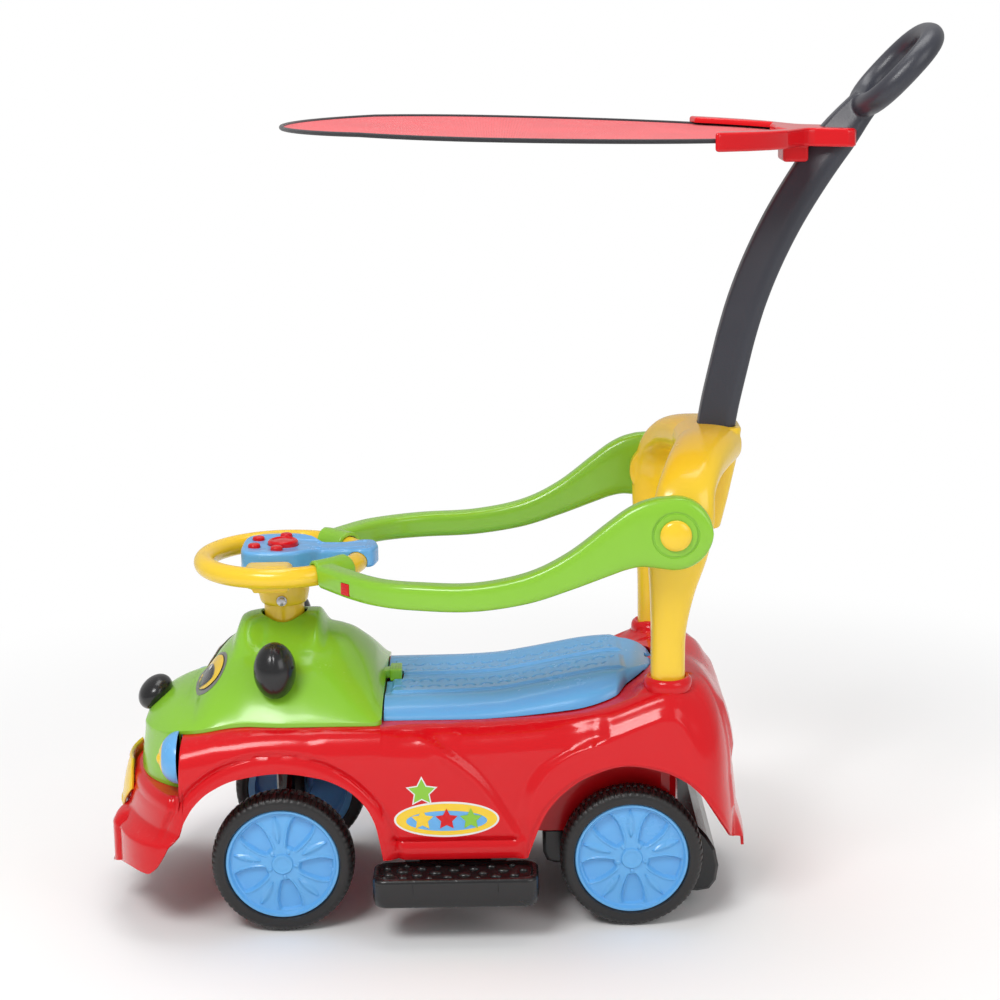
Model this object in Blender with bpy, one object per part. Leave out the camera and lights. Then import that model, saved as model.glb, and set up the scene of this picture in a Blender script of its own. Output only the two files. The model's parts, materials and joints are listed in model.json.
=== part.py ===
"""Kids ride-on car with a push bar, safety guard arms and a sun canopy.

The car drives towards -X and its left side is -Y. Stations, written s, are distances
behind the front axle, so a point's X is FRONT_AXLE_X + s. Everything is in metres, +Z up,
with the origin on the floor under the middle of the length.
"""
import math

import bmesh
import bpy
from mathutils import Matrix, Vector

# Overall layout
FRONT_AXLE_X = -0.2345
WHEELBASE = 0.350
TYRE_RADIUS = 0.072
TYRE_WIDTH = 0.034
WHEEL_OUTER_Y = 0.125
RIM_RADIUS = 0.057
AXLE_RADIUS = 0.004
AXLE_BORE_RADIUS = 0.0043
TOUCH_GAP = 0.0003
RUNNING_GAP = 0.0005

# Body shell
BODY_WALL = 0.003
BODY_HALF_WIDTH = 0.140
DOOR_RECESS = 0.006
SILL_Z = 0.081
BUMPER_BOTTOM_Z = 0.050
BUMPER_TOP_Z = 0.092
BUMPER_REACH_S = -0.184
OVERRIDER_REACH = 0.009
OVERRIDER_INNER_Y = 0.032
OVERRIDER_OUTER_Y = 0.062
FRONT_CORNER_S = -0.095
SNOUT_RIM_Z = 0.148
HOOD_SEAM_Z = 0.2205
SEAT_DECK_Z = 0.2135
REAR_DECK_Z = 0.248
TAIL_CORNER_S = 0.405
TAIL_REACH = 0.055
TAIL_BOTTOM_Z = 0.070
FLAP_HALF_WIDTH = 0.085
ARCH_RADIUS = 0.102
ARCH_FORWARD_OFFSET = 0.003
ARCH_RISE = 0.001
HOOD_OPENING_HALF_WIDTH = BODY_HALF_WIDTH - 0.028
SEAT_OPENING_HALF_WIDTH = BODY_HALF_WIDTH - 0.052
COLLAR_RADIUS = 0.0235
COLLAR_HEIGHT = 0.008

# Hood
HOOD_WALL = 0.0025
HOOD_REAR_S = 0.103
HOOD_NOSE_S = -0.152
HOOD_HALF_WIDTH = BODY_HALF_WIDTH - 0.009
HOOD_NOSE_HALF_WIDTH = BODY_HALF_WIDTH - 0.015
HOOD_CROWN_Z = 0.288
HOOD_REAR_RIM_Z = 0.2165
HOOD_SIDE_WALL = 0.010
FENDER_STEP_S = -0.0990
HEADLIGHT_CENTRE = (-0.0990, BODY_HALF_WIDTH - 0.032, 0.184)
HEADLIGHT_RADII = (0.0265, 0.0290, 0.0280)
PAD_HEIGHT = 0.015
PAD_HALF_LENGTH = 0.047
COLUMN_HOLE_CLEARANCE = 0.0035

# Inner tub
TUB_FLANGE_HALF_WIDTH = SEAT_OPENING_HALF_WIDTH + 0.010
TUB_FLANGE_THICKNESS = 0.004
TUB_SEAT_GAP = 0.0007
BIN_FRONT_S = 0.112
BIN_REAR_S = 0.400
BIN_HALF_WIDTH = SEAT_OPENING_HALF_WIDTH - 0.005
BIN_FLOOR_Z = 0.088
BIN_WALL = 0.003
SLEEVE_RADIUS = 0.0125
SLEEVE_BOTTOM_Z = 0.150
SLEEVE_TOP_Z = 0.216

# Seat
SEAT_FRONT_S = 0.1045
SEAT_REAR_S = 0.3775
SEAT_ROUND_START_S = 0.290
SEAT_HALF_WIDTH = SEAT_OPENING_HALF_WIDTH + 0.012
SEAT_TOP_HALF_WIDTH = SEAT_HALF_WIDTH - 0.036
SEAT_WALL = 0.003
SEAT_OPENING_GAP = 0.0035
HINGE_S = SEAT_REAR_S - 0.001
HINGE_Z = 0.2402
HINGE_PIN_RADIUS = 0.0020
HINGE_PIN_REACH = 0.0150
HINGE_EAR_HALF_WIDTH = 0.0060
KNUCKLE_Y = HINGE_EAR_HALF_WIDTH + 0.0005
KNUCKLE_LENGTH = 0.0080
KNUCKLE_RADIUS = 0.0039
LATCH_LENGTH = 0.0165
LATCH_HALF_WIDTH = 0.0125
LATCH_BOTTOM_Z = 0.2265
LATCH_TOP_Z = 0.2395
LATCH_TRAVEL = 0.004

# Steering
STEER_SHAFT_RADIUS = 0.006
COLUMN_RADIUS = 0.0205
COLUMN_TOP_Z = 0.335
WHEEL_RING_Z = 0.357
WHEEL_RING_RADIUS = 0.080
WHEEL_TUBE_RADIUS = 0.0105
STEER_HUB_RADIUS = 0.0262
STEER_HUB_BOTTOM_Z = 0.312
STEER_PLATE_BOTTOM_Z = 0.3385
STEER_PLATE_TOP_Z = 0.3505
STEER_BOLT_Z = 0.3185
STEER_BOLT_RADIUS = 0.002
YOKE_HALF_WIDTH = 0.080
YOKE_HUB_RADIUS = 0.015
YOKE_BEAM_TOP_Z = 0.098
YOKE_BEAM_BOTTOM_Z = 0.058
MUSIC_BOX_HEIGHT = 0.0230
MUSIC_BOX_TOP_Z = STEER_PLATE_TOP_Z + MUSIC_BOX_HEIGHT
MUSIC_BUTTON_RADIUS = 0.0062
MUSIC_MAIN_BUTTON_RADIUS = 0.0155
MUSIC_BUTTON_CLEARANCE = 0.0004
MUSIC_BUTTON_HEIGHT = 0.0035
MUSIC_BUTTON_STEM = 0.0045
MUSIC_BUTTON_TRAVEL = 0.0015

# Backrest frame and guard arms
POST_S = 0.3875
POST_BASE_Y = 0.100
POST_LENGTH = 0.034
POST_WIDTH = 0.030
GUARD_PIVOT_S = 0.390
GUARD_PIVOT_Z = 0.416
GUARD_BOSS_Y = 0.1450
GUARD_WIDTH = 0.023
GUARD_END_RADIUS = 0.036
PIVOT_PIN_RADIUS = 0.0065
PIVOT_CAP_RADIUS = 0.015
CLASP_OUTER_RADIUS = 0.0150
CLASP_GAP = 0.0010
CLASP_FROM_DEG = 34.0
CLASP_TO_DEG = 62.0
RELEASE_BUTTON_SIZE = 0.012
RELEASE_BUTTON_TRAVEL = 0.0025
RELEASE_BUTTON_Z = 0.3550

# Push bar
SOCKET_S = 0.4435
SOCKET_TOP_Z = 0.490
SOCKET_BOTTOM_Z = 0.392
SOCKET_LEAN = 0.17
BAR_DEPTH = 0.037
BAR_WIDTH = 0.040
GRIP_HALF_WIDTH = 0.058
GRIP_TUBE_RADIUS = 0.0115
GRIP_START = (0.586, 0.806)
GRIP_END = (0.6495, 0.8725)

# Canopy
CANOPY_FRONT_S = 0.015
CANOPY_WIDEST_S = 0.220
CANOPY_REAR_S = 0.528
CANOPY_HALF_WIDTH = 0.184
CANOPY_FRONT_Z = 0.7945
CANOPY_SLOPE = -0.037
CANOPY_THICKNESS = 0.0024
CANOPY_RIM_RADIUS = 0.0022
FORK_TIP_S = 0.428
FORK_BAND = 0.026
FORK_THICKNESS = 0.018
FORK_CENTRE_DROP = 0.001
JAW_HALF_WIDTH = 0.0315
JAW_REAR_S = 0.577

# Footrests and rear carrier
STEP_FRONT_S = 0.092
STEP_REAR_S = 0.254
STEP_INNER_Y = 0.118
STEP_OUTER_Y = 0.170
STEP_TOP_Z = 0.072
STEP_BOTTOM_Z = 0.043
STEP_WALL = 0.003
TONGUE_FRONT_S = 0.136
TONGUE_REAR_S = 0.209
TONGUE_BOTTOM_Z = 0.055
TONGUE_TOP_Z = 0.061
TONGUE_INNER_Y = 0.052
GUIDE_FRONT_S = 0.120
GUIDE_REAR_S = 0.225
GUIDE_HALF_WIDTH = 0.070
CARRIER_HALF_WIDTH = 0.078
CARRIER_FRONT_S = 0.262
CARRIER_BOTTOM_Z = 0.050
STOP_REAR_S = 0.4415
STOP_BOTTOM_Z = 0.0165

WHEEL_SEGMENTS = 26


# Small helpers for numbers and curves

def smooth(low, high, value):
    """Rises from 0 at low to 1 at high with level ends."""
    t = min(1.0, max(0.0, (value - low) / (high - low)))
    return t * t * (3.0 - 2.0 * t)


def mix(a, b, t):
    return a + (b - a) * t


def through(points, x):
    """Smooth curve through (x, value) points, with no overshoot between them."""
    if x <= points[0][0]:
        return points[0][1]
    if x >= points[-1][0]:
        return points[-1][1]
    slopes = []
    for (x0, y0), (x1, y1) in zip(points, points[1:]):
        slopes.append((y1 - y0) / (x1 - x0))
    tangents = [slopes[0]]
    for before, after in zip(slopes, slopes[1:]):
        level = before * after <= 0.0
        tangents.append(0.0 if level else 2.0 * before * after / (before + after))
    tangents.append(slopes[-1])
    for i, ((x0, y0), (x1, y1)) in enumerate(zip(points, points[1:])):
        if x <= x1:
            h = x1 - x0
            t = (x - x0) / h
            a = (1 + 2 * t) * (1 - t) ** 2
            b = t * (1 - t) ** 2
            c = t * t * (3 - 2 * t)
            d = t * t * (t - 1)
            return a * y0 + b * h * tangents[i] + c * y1 + d * h * tangents[i + 1]
    return points[-1][1]


def spline(points, steps):
    """Catmull-Rom points through a list of tuples, with this many steps in each span."""
    ends = [points[0]] + list(points) + [points[-1]]
    result = []
    for i in range(1, len(ends) - 2):
        p0, p1, p2, p3 = (Vector(ends[i + k]) for k in (-1, 0, 1, 2))
        for step in range(steps):
            t = step / steps
            result.append(0.5 * ((2 * p1) + (p2 - p0) * t + (2 * p0 - 5 * p1 + 4 * p2 - p3) * t ** 2
                                 + (3 * p1 - p0 - 3 * p2 + p3) * t ** 3))
    result.append(Vector(points[-1]))
    return result


def oval(a, b, power, count):
    """Outline points of a superellipse with half sizes a and b."""
    points = []
    for i in range(count):
        angle = 2 * math.pi * (i + 0.5) / count
        c, s = math.cos(angle), math.sin(angle)
        points.append((math.copysign(abs(c) ** (2 / power), c) * a,
                       math.copysign(abs(s) ** (2 / power), s) * b))
    return points


def round_box(half_x, half_y, radius, steps=2):
    """Outline of a rectangle with round corners, anticlockwise."""
    points = []
    for sx, sy, start in ((1, 1, 0), (-1, 1, 90), (-1, -1, 180), (1, -1, 270)):
        for step in range(steps + 1):
            angle = math.radians(start + 90 * step / steps)
            points.append((sx * (half_x - radius) + radius * math.cos(angle),
                           sy * (half_y - radius) + radius * math.sin(angle)))
    return points


# Small helpers for meshes and objects

def clear_scene():
    for thing in list(bpy.data.objects):
        bpy.data.objects.remove(thing, do_unlink=True)


def plastic(name, colour, roughness, metallic=0.0):
    existing = bpy.data.materials.get(name)
    if existing:
        return existing
    made = bpy.data.materials.new(name)
    made.use_nodes = True
    shader = made.node_tree.nodes["Principled BSDF"]
    shader.inputs["Base Color"].default_value = (*colour, 1.0)
    shader.inputs["Roughness"].default_value = roughness
    shader.inputs["Metallic"].default_value = metallic
    return made


COLOURS = {
    "red": ((0.72, 0.015, 0.022), 0.22, 0.0),
    "green": ((0.27, 0.60, 0.045), 0.25, 0.0),
    "blue": ((0.14, 0.42, 0.80), 0.28, 0.0),
    "yellow": ((0.90, 0.60, 0.03), 0.28, 0.0),
    "black": ((0.012, 0.012, 0.013), 0.35, 0.0),
    "slate": ((0.040, 0.042, 0.052), 0.38, 0.0),
    "steel": ((0.62, 0.62, 0.64), 0.30, 1.0),
    "mesh": ((0.80, 0.10, 0.14), 0.75, 0.0),
}


def add_object(name, verts, faces, colour):
    mesh = bpy.data.meshes.new(name)
    mesh.from_pydata([tuple(v) for v in verts], [], faces)
    mesh.update()
    thing = bpy.data.objects.new(name, mesh)
    bpy.context.collection.objects.link(thing)
    fill = bmesh.new()
    fill.from_mesh(mesh)
    bmesh.ops.recalc_face_normals(fill, faces=fill.faces)
    fill.to_mesh(mesh)
    fill.free()
    base, roughness, metallic = COLOURS[colour]
    mesh.materials.append(plastic(name + "_plastic", base, roughness, metallic))
    return thing


def finish_shading(thing, angle=35.0):
    thing.data.shade_smooth()
    thing.data.set_sharp_from_angle(angle=math.radians(angle))


def bake(thing):
    """Makes what the modifiers show the object's own mesh."""
    bpy.context.view_layer.update()
    graph = bpy.context.evaluated_depsgraph_get()
    mesh = bpy.data.meshes.new_from_object(thing.evaluated_get(graph))
    thing.modifiers.clear()
    thing.data = mesh
    return thing


def combine(target, tools, operation):
    """Unions, or cuts with, each tool in turn, and removes the tools."""
    for tool in tools:
        step = target.modifiers.new(operation.lower(), "BOOLEAN")
        step.operation = operation
        step.solver = "EXACT"
        step.object = tool
        bake(target)
        bpy.data.objects.remove(tool, do_unlink=True)
    while len(target.data.materials) > 1:
        target.data.materials.pop(index=len(target.data.materials) - 1)
    return target


def cut(target, *tools):
    return combine(target, tools, "DIFFERENCE")


def unite(target, *tools):
    return combine(target, tools, "UNION")


def thicken(thing, wall):
    """Gives an open surface a wall on its inner side."""
    shell = thing.modifiers.new("wall", "SOLIDIFY")
    shell.thickness = wall
    shell.offset = -1.0
    shell.use_even_offset = True
    return bake(thing)


def soften(thing, width, segments=2, angle=40.0):
    """Rounds the sharp edges of a plain solid."""
    rounding = thing.modifiers.new("rounding", "BEVEL")
    rounding.width = width
    rounding.segments = segments
    rounding.limit_method = "ANGLE"
    rounding.angle_limit = math.radians(angle)
    return bake(thing)


def loft(name, rings, colour, closed_path=False):
    """Skins a row of rings with equal point counts, and closes its two ends."""
    count = len(rings[0])
    verts = [p for ring in rings for p in ring]
    faces = []
    spans = len(rings) if closed_path else len(rings) - 1
    for i in range(spans):
        a, b = i * count, ((i + 1) % len(rings)) * count
        for j in range(count):
            k = (j + 1) % count
            faces.append((a + j, a + k, b + k, b + j))
    if not closed_path:
        faces.append(tuple(reversed(range(count))))
        faces.append(tuple(range((len(rings) - 1) * count, len(rings) * count)))
    return add_object(name, verts, faces, colour)


def walled(name, outer, inner, colour, loop):
    """A thin wall between two matching grids of points, closed round all its edges."""
    count = len(outer[0])
    verts = [p for column in outer for p in column] + [p for column in inner for p in column]
    back = len(outer) * count
    faces = []
    spans = len(outer) if loop else len(outer) - 1
    for i in range(spans):
        a, b = i * count, ((i + 1) % len(outer)) * count
        for j in range(count - 1):
            faces.append((a + j, b + j, b + j + 1, a + j + 1))
            faces.append((back + a + j, back + a + j + 1, back + b + j + 1, back + b + j))
        top, low = a + count - 1, b + count - 1
        faces.append((a, back + a, back + b, b))
        faces.append((top, low, back + low, back + top))
    if not loop:
        last = (len(outer) - 1) * count
        for j in range(count - 1):
            faces.append((j, j + 1, back + j + 1, back + j))
            faces.append((last + j, back + last + j, back + last + j + 1, last + j + 1))
    return add_object(name, verts, faces, colour)


def prism(name, outline, axis, low, high, colour):
    """Extrudes an outline given in the two other axes, in X, Y, Z order."""
    rings = []
    for level in (low, high):
        ring = []
        for a, b in outline:
            ring.append({"X": (level, a, b), "Y": (a, level, b), "Z": (a, b, level)}[axis])
        rings.append(ring)
    return loft(name, rings, colour)


def block(name, low, high, colour):
    outline = [(low[0], low[1]), (high[0], low[1]), (high[0], high[1]), (low[0], high[1])]
    return prism(name, outline, "Z", low[2], high[2], colour)


def rod(name, start, end, radius, segments, colour, end_radius=None):
    """A round bar between two points."""
    start, end = Vector(start), Vector(end)
    direction = (end - start).normalized()
    side = direction.orthogonal().normalized()
    up = direction.cross(side)
    rings = []
    for centre, r in ((start, radius), (end, radius if end_radius is None else end_radius)):
        ring = []
        for i in range(segments):
            angle = 2 * math.pi * (i + 0.5) / segments
            ring.append(centre + (side * math.cos(angle) + up * math.sin(angle)) * r)
        rings.append(ring)
    return loft(name, rings, colour)


def ellipsoid(name, centre, radii, colour, tilt=0.0, segments=12, rings=8):
    """An egg with half sizes along X, Y and Z, tilted about Y."""
    shape = bmesh.new()
    bmesh.ops.create_uvsphere(shape, u_segments=segments, v_segments=rings, radius=1.0)
    place = Matrix.Translation(Vector(centre)) @ Matrix.Rotation(tilt, 4, "Y")
    place = place @ Matrix.Diagonal((*radii, 1.0))
    bmesh.ops.transform(shape, matrix=place, verts=shape.verts)
    verts = [v.co.copy() for v in shape.verts]
    faces = [[v.index for v in f.verts] for f in shape.faces]
    shape.free()
    return add_object(name, verts, faces, colour)


def turned(name, profile, origin, direction, segments, colour):
    """Turns a closed profile of (radius, along) points about an axis."""
    origin, direction = Vector(origin), Vector(direction).normalized()
    side = Vector((1.0, 0.0, 0.0)) if abs(direction.x) < 0.9 else Vector((0.0, 0.0, 1.0))
    side = (side - direction * side.dot(direction)).normalized()
    up = direction.cross(side)
    verts, index = [], []
    for radius, along in profile:
        row = []
        if radius < 1e-6:
            verts.append(origin + direction * along)
            row = [len(verts) - 1] * segments
        else:
            for i in range(segments):
                angle = 2 * math.pi * (i + 0.5) / segments
                verts.append(origin + direction * along
                             + (side * math.cos(angle) + up * math.sin(angle)) * radius)
                row.append(len(verts) - 1)
        index.append(row)
    faces = []
    for a in range(len(profile)):
        b = (a + 1) % len(profile)
        if profile[a][0] < 1e-6 and profile[b][0] < 1e-6:
            continue
        for i in range(segments):
            k = (i + 1) % segments
            face = []
            for v in (index[a][i], index[a][k], index[b][k], index[b][i]):
                if v not in face:
                    face.append(v)
            faces.append(face)
    return add_object(name, verts, faces, colour)


def around(radius, segments):
    """Corner radius of a hole whose flats keep the given radius."""
    return radius / math.cos(math.pi / segments)


def station(s, y, z):
    return Vector((FRONT_AXLE_X + s, y, z))


def pivot(name, s, y, z):
    """An empty on a joint's axis, which carries the pieces that move about it."""
    anchor = bpy.data.objects.new(name, None)
    anchor.location = station(s, y, z)
    bpy.context.collection.objects.link(anchor)
    bpy.context.view_layer.update()
    return anchor


def carry(anchor, *pieces):
    for piece in pieces:
        piece.parent = anchor
        piece.matrix_parent_inverse = anchor.matrix_world.inverted()


SIDES = (("left", -1), ("right", 1))
AXLE_Z = TYRE_RADIUS
REAR_AXLE_S = WHEELBASE


# Body shell: one wall that runs round the car, over a shoulder and in to the opening

def front_reach(z):
    """How far the nose reaches at the centre line, by height."""
    return through([(0.045, BUMPER_REACH_S), (0.080, BUMPER_REACH_S),
                    (BUMPER_TOP_Z, BUMPER_REACH_S + 0.004), (BUMPER_TOP_Z + 0.008, -0.172),
                    (0.125, -0.167), (0.140, -0.159)], z)


def tail_reach(z):
    return TAIL_CORNER_S + through([(0.060, TAIL_REACH + 0.004), (0.090, TAIL_REACH),
                                    (0.112, TAIL_REACH), (0.150, TAIL_REACH - 0.004)], z)


def fender_edge(z):
    """Station where the front fender's sweep ends and the door recess starts."""
    return through([(0.095, 0.240), (0.120, 0.234), (0.150, 0.216), (0.172, 0.192),
                    (0.190, 0.152), (0.204, 0.104)], z)


def rear_fender_edge(z):
    return WHEELBASE - through([(0.095, 0.107), (0.120, 0.107), (0.145, 0.102), (0.170, 0.088),
                                (0.190, 0.060), (0.203, 0.025)], z)


def side_half_width(s, z):
    """Half width of the body's side wall, with its fenders, door recess and arch lips."""
    first = fender_edge(z)
    second = rear_fender_edge(z)
    recess = smooth(first - 0.003, first + 0.010, s) * (1 - smooth(second - 0.010, second + 0.004, s))
    recess *= smooth(SILL_Z + 0.008, SILL_Z + 0.020, z)
    width = BODY_HALF_WIDTH - DOOR_RECESS * recess
    for axle in (-ARCH_FORWARD_OFFSET, REAR_AXLE_S - ARCH_FORWARD_OFFSET):
        reach = math.hypot(s - axle, z - AXLE_Z - ARCH_RISE)
        width -= 0.005 * (1 - smooth(ARCH_RADIUS, ARCH_RADIUS + 0.026, reach))
    return width


def nose_curve(y, z, power=2.2):
    reach = FRONT_CORNER_S - front_reach(z)
    inside = max(0.0, 1 - abs(y / BODY_HALF_WIDTH) ** power)
    return FRONT_CORNER_S - reach * inside ** (1 / power)


def tail_curve(y, z, power=4.0):
    inside = max(0.0, 1 - abs(y / BODY_HALF_WIDTH) ** power)
    return TAIL_CORNER_S + (tail_reach(z) - TAIL_CORNER_S) * inside ** (1 / power)


FRONT_COLUMN_Y = (0.0, 0.029, 0.034, 0.047, 0.060, 0.065, 0.085, 0.105)
CORNER_COLUMN_S = (-0.129, -0.115, FENDER_STEP_S)
SIDE_COLUMN_S = (-0.0955, -0.065, -0.022, 0.022, 0.065, HOOD_REAR_S - 0.0055, HOOD_REAR_S + 0.0005, 0.140,
                 0.170, 0.198, 0.218, 0.237, 0.256, 0.280, 0.310, 0.340, 0.365, 0.390, 0.405)
TAIL_COLUMN_S = (0.420, 0.433)
TAIL_COLUMN_Y = (BODY_HALF_WIDTH - 0.015, BODY_HALF_WIDTH - 0.032, 0.088, 0.060, 0.030, 0.0)


def wall_point(kind, value, z):
    """Plan position of the outer wall for one column at one height."""
    if kind == "front":
        s = nose_curve(value, z)
        band = smooth(OVERRIDER_INNER_Y - 0.003, OVERRIDER_INNER_Y + 0.002, value)
        band *= 1 - smooth(OVERRIDER_OUTER_Y - 0.002, OVERRIDER_OUTER_Y + 0.003, value)
        band *= 1 - smooth(BUMPER_TOP_Z - 0.004, BUMPER_TOP_Z + 0.012, z)
        return s - OVERRIDER_REACH * band, value
    if kind == "corner":
        reach = FRONT_CORNER_S - front_reach(z)
        inside = max(0.0, 1 - ((FRONT_CORNER_S - value) / reach) ** 2.2)
        return value, side_half_width(value, z) * inside ** (1 / 2.2)
    if kind == "side":
        return value, side_half_width(value, z)
    if kind == "tail_s":
        reach = tail_reach(z) - TAIL_CORNER_S
        inside = max(0.0, 1 - ((value - TAIL_CORNER_S) / reach) ** 4.0)
        return value, BODY_HALF_WIDTH * inside ** 0.25
    return tail_curve(value, z), value


def deck_height(s):
    """Height of the body's top edge along the side."""
    if s < HOOD_REAR_S:
        return HOOD_SEAM_Z
    rise = [(0.200, SEAT_DECK_Z), (0.245, 0.216), (0.294, 0.221), (0.330, 0.229),
            (0.355, 0.239), (0.378, REAR_DECK_Z)]
    return through(rise, s)


def opening_point(kind, value):
    """Plan position of the deck opening's edge for one column."""
    nose = -0.122
    if kind == "front":
        t = value / 0.115
        return nose + 0.012 * t ** 3, HOOD_OPENING_HALF_WIDTH * 0.80 * t
    if kind == "corner":
        t = (value - CORNER_COLUMN_S[0]) / (CORNER_COLUMN_S[-1] - CORNER_COLUMN_S[0])
        return mix(-0.108, -0.093, t), mix(HOOD_OPENING_HALF_WIDTH - 0.018, HOOD_OPENING_HALF_WIDTH, smooth(0, 1, t))
    if kind == "side" and value < SEAT_ROUND_START_S + 0.001:
        width = HOOD_OPENING_HALF_WIDTH if value < HOOD_REAR_S else SEAT_OPENING_HALF_WIDTH
        return value, width
    if kind == "side":
        share = (value - SEAT_ROUND_START_S) / (TAIL_CORNER_S - SEAT_ROUND_START_S)
        angle = math.radians(62) * share
    elif kind == "tail_s":
        share = (value - TAIL_CORNER_S) / (TAIL_COLUMN_S[-1] - TAIL_CORNER_S)
        angle = math.radians(mix(62, 68, share))
    else:
        angle = math.radians(mix(90, 69, value / TAIL_COLUMN_Y[0]))
    length = SEAT_REAR_S + SEAT_OPENING_GAP - SEAT_ROUND_START_S
    return (SEAT_ROUND_START_S + length * math.sin(angle),
            SEAT_OPENING_HALF_WIDTH * math.cos(angle))


def body_column(kind, value):
    """Points from the wall's bottom edge up, over the shoulder and in to the opening."""
    s_ref = wall_point(kind, value, 0.11)[0]
    front = 1 - smooth(FRONT_CORNER_S - 0.030, FRONT_CORNER_S, s_ref)
    if kind == "front":
        front = 1.0
    tail = smooth(TAIL_CORNER_S - 0.015, TAIL_CORNER_S + 0.030, s_ref)
    low_front = (BUMPER_BOTTOM_Z, 0.080, BUMPER_TOP_Z, BUMPER_TOP_Z + 0.008, 0.134)
    under_hood = s_ref < HOOD_REAR_S
    top = deck_height(s_ref)
    shoulder_drop = 0.018 if under_hood else mix(0.026, 0.098, tail)
    bottom = mix(SILL_Z, TAIL_BOTTOM_Z, smooth(TAIL_CORNER_S + 0.01, TAIL_CORNER_S + 0.05, s_ref))
    if kind in ("front", "corner"):
        top = SNOUT_RIM_Z
        shoulder_drop = 0.014
        bottom = BUMPER_BOTTOM_Z
    side_rows = [mix(bottom, top - shoulder_drop, share) for share in (0.0, 0.11, 0.37, 0.68, 1.0)]
    rows = [mix(a, b, front) for a, b in zip(side_rows, low_front)]
    points = [(*wall_point(kind, value, z), z) for z in rows]
    s0, y0 = wall_point(kind, value, rows[-1])
    s1, y1 = opening_point(kind, value)
    run = math.hypot(s1 - s0, y1 - y0)
    inset = 0.009 if under_hood else mix(0.030, 0.050, tail)
    share = min(0.85, inset / run)
    rim_s, rim_y = mix(s0, s1, share), mix(y0, y1, share)
    flat = kind in ("front", "corner") or under_hood
    rim_z = top if flat else deck_height(rim_s)
    for angle in (35, 90):
        turn = math.radians(angle)
        along = 1 - math.cos(turn)
        rise = math.sin(turn)
        points.append((mix(s0, rim_s, along), mix(y0, rim_y, along), mix(rows[-1], rim_z, rise)))
    points.append((s1, y1, top if flat else deck_height(s1)))
    return points


def body_columns():
    half = [("front", y) for y in FRONT_COLUMN_Y]
    half += [("corner", s) for s in CORNER_COLUMN_S]
    half += [("side", s) for s in SIDE_COLUMN_S]
    half += [("tail_s", s) for s in TAIL_COLUMN_S]
    half += [("tail", y) for y in TAIL_COLUMN_Y]
    return half


def make_body_shell():
    half = [body_column(kind, value) for kind, value in body_columns()]
    columns = [[station(s, -y, z) for s, y, z in column] for column in half]
    columns += [[station(s, y, z) for s, y, z in column] for column in reversed(half[1:-1])]
    count = len(columns[0])
    verts = [p for column in columns for p in column]
    faces = []
    for i in range(len(columns)):
        a, b = i * count, ((i + 1) % len(columns)) * count
        for j in range(count - 1):
            faces.append((a + j, b + j, b + j + 1, a + j + 1))
    shell = add_object("body_shell", verts, faces, "red")
    thicken(shell, BODY_WALL)
    arches = []
    for axle in (0.0, REAR_AXLE_S):
        s = axle - ARCH_FORWARD_OFFSET
        z = AXLE_Z + ARCH_RISE
        arches.append(rod("arch", station(s, -0.2, z), station(s, 0.2, z), ARCH_RADIUS, 30, "red"))
    cut(shell, *arches)
    low, out = TAIL_BOTTOM_Z - 0.002, TAIL_CORNER_S + TAIL_REACH
    flap = [(out - 0.0065, low + 0.040), (out, low + 0.042), (out + 0.0055, low + 0.022), (out + 0.0085, low),
            (out + 0.0050, low - 0.001), (out - 0.0005, low + 0.018), (out - 0.0065, low + 0.026)]
    unite(shell, prism("flap", [(FRONT_AXLE_X + s, z) for s, z in flap], "Y", -FLAP_HALF_WIDTH, FLAP_HALF_WIDTH,
                       "red"))
    for name, side in SIDES:
        y = side * POST_BASE_Y
        collar = rod("collar", station(POST_S, y, REAR_DECK_Z - 0.0055),
                     station(POST_S, y, REAR_DECK_Z + COLLAR_HEIGHT), COLLAR_RADIUS + 0.002, 14, "red",
                     end_radius=COLLAR_RADIUS)
        unite(shell, collar)
        hole = post_section(TOUCH_GAP + 0.0002)
        outline = [(FRONT_AXLE_X + POST_S + a, y + b) for a, b in hole]
        cut(shell, prism("hole", outline, "Z", 0.20, 0.30, "red"))
    finish_shading(shell)
    return shell


# Hood: a dome that runs out from the steering column's hole to its rim

HOOD_CROWN = [(-0.152, 0.205), (-0.146, 0.217), (-0.129, 0.236), (-0.111, 0.2405), (-0.088, 0.2455),
              (-0.074, 0.258), (-0.055, 0.277), (-0.046, 0.284), (-0.020, HOOD_CROWN_Z),
              (0.046, HOOD_CROWN_Z), (0.065, 0.284), (0.081, 0.275), (0.092, 0.264), (0.099, 0.253),
              (HOOD_REAR_S, 0.242)]


def hood_half_width(s):
    if s < -0.080:
        inside = max(0.0, 1 - ((-0.080 - s) / (-0.080 - HOOD_NOSE_S)) ** 2.1)
        return max(0.004, HOOD_NOSE_HALF_WIDTH * inside ** (1 / 2.1))
    return mix(HOOD_NOSE_HALF_WIDTH, HOOD_HALF_WIDTH, smooth(-0.080, -0.030, s))


def hood_height(s, y):
    """Height of the hood's outer skin."""
    crown = through(HOOD_CROWN, s)
    edge = through([(HOOD_NOSE_S, 0.205), (-0.120, 0.216), (-0.088, HOOD_SEAM_Z + HOOD_SIDE_WALL)], s)
    across = min(1.0, abs(y) / hood_half_width(s))
    z = edge + (crown - edge) * max(0.0, 1 - across ** 2.5) ** 0.75
    pad = 1 - smooth(PAD_HALF_LENGTH - 0.010, PAD_HALF_LENGTH + 0.004, abs(s + 0.003))
    pad *= 1 - smooth(0.050, 0.062, abs(y))
    scoop = smooth(0.018, 0.045, abs(y)) * (1 - smooth(0.020, 0.040, abs(s)))
    return z + PAD_HEIGHT * pad * (1 - 0.75 * scoop)


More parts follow.
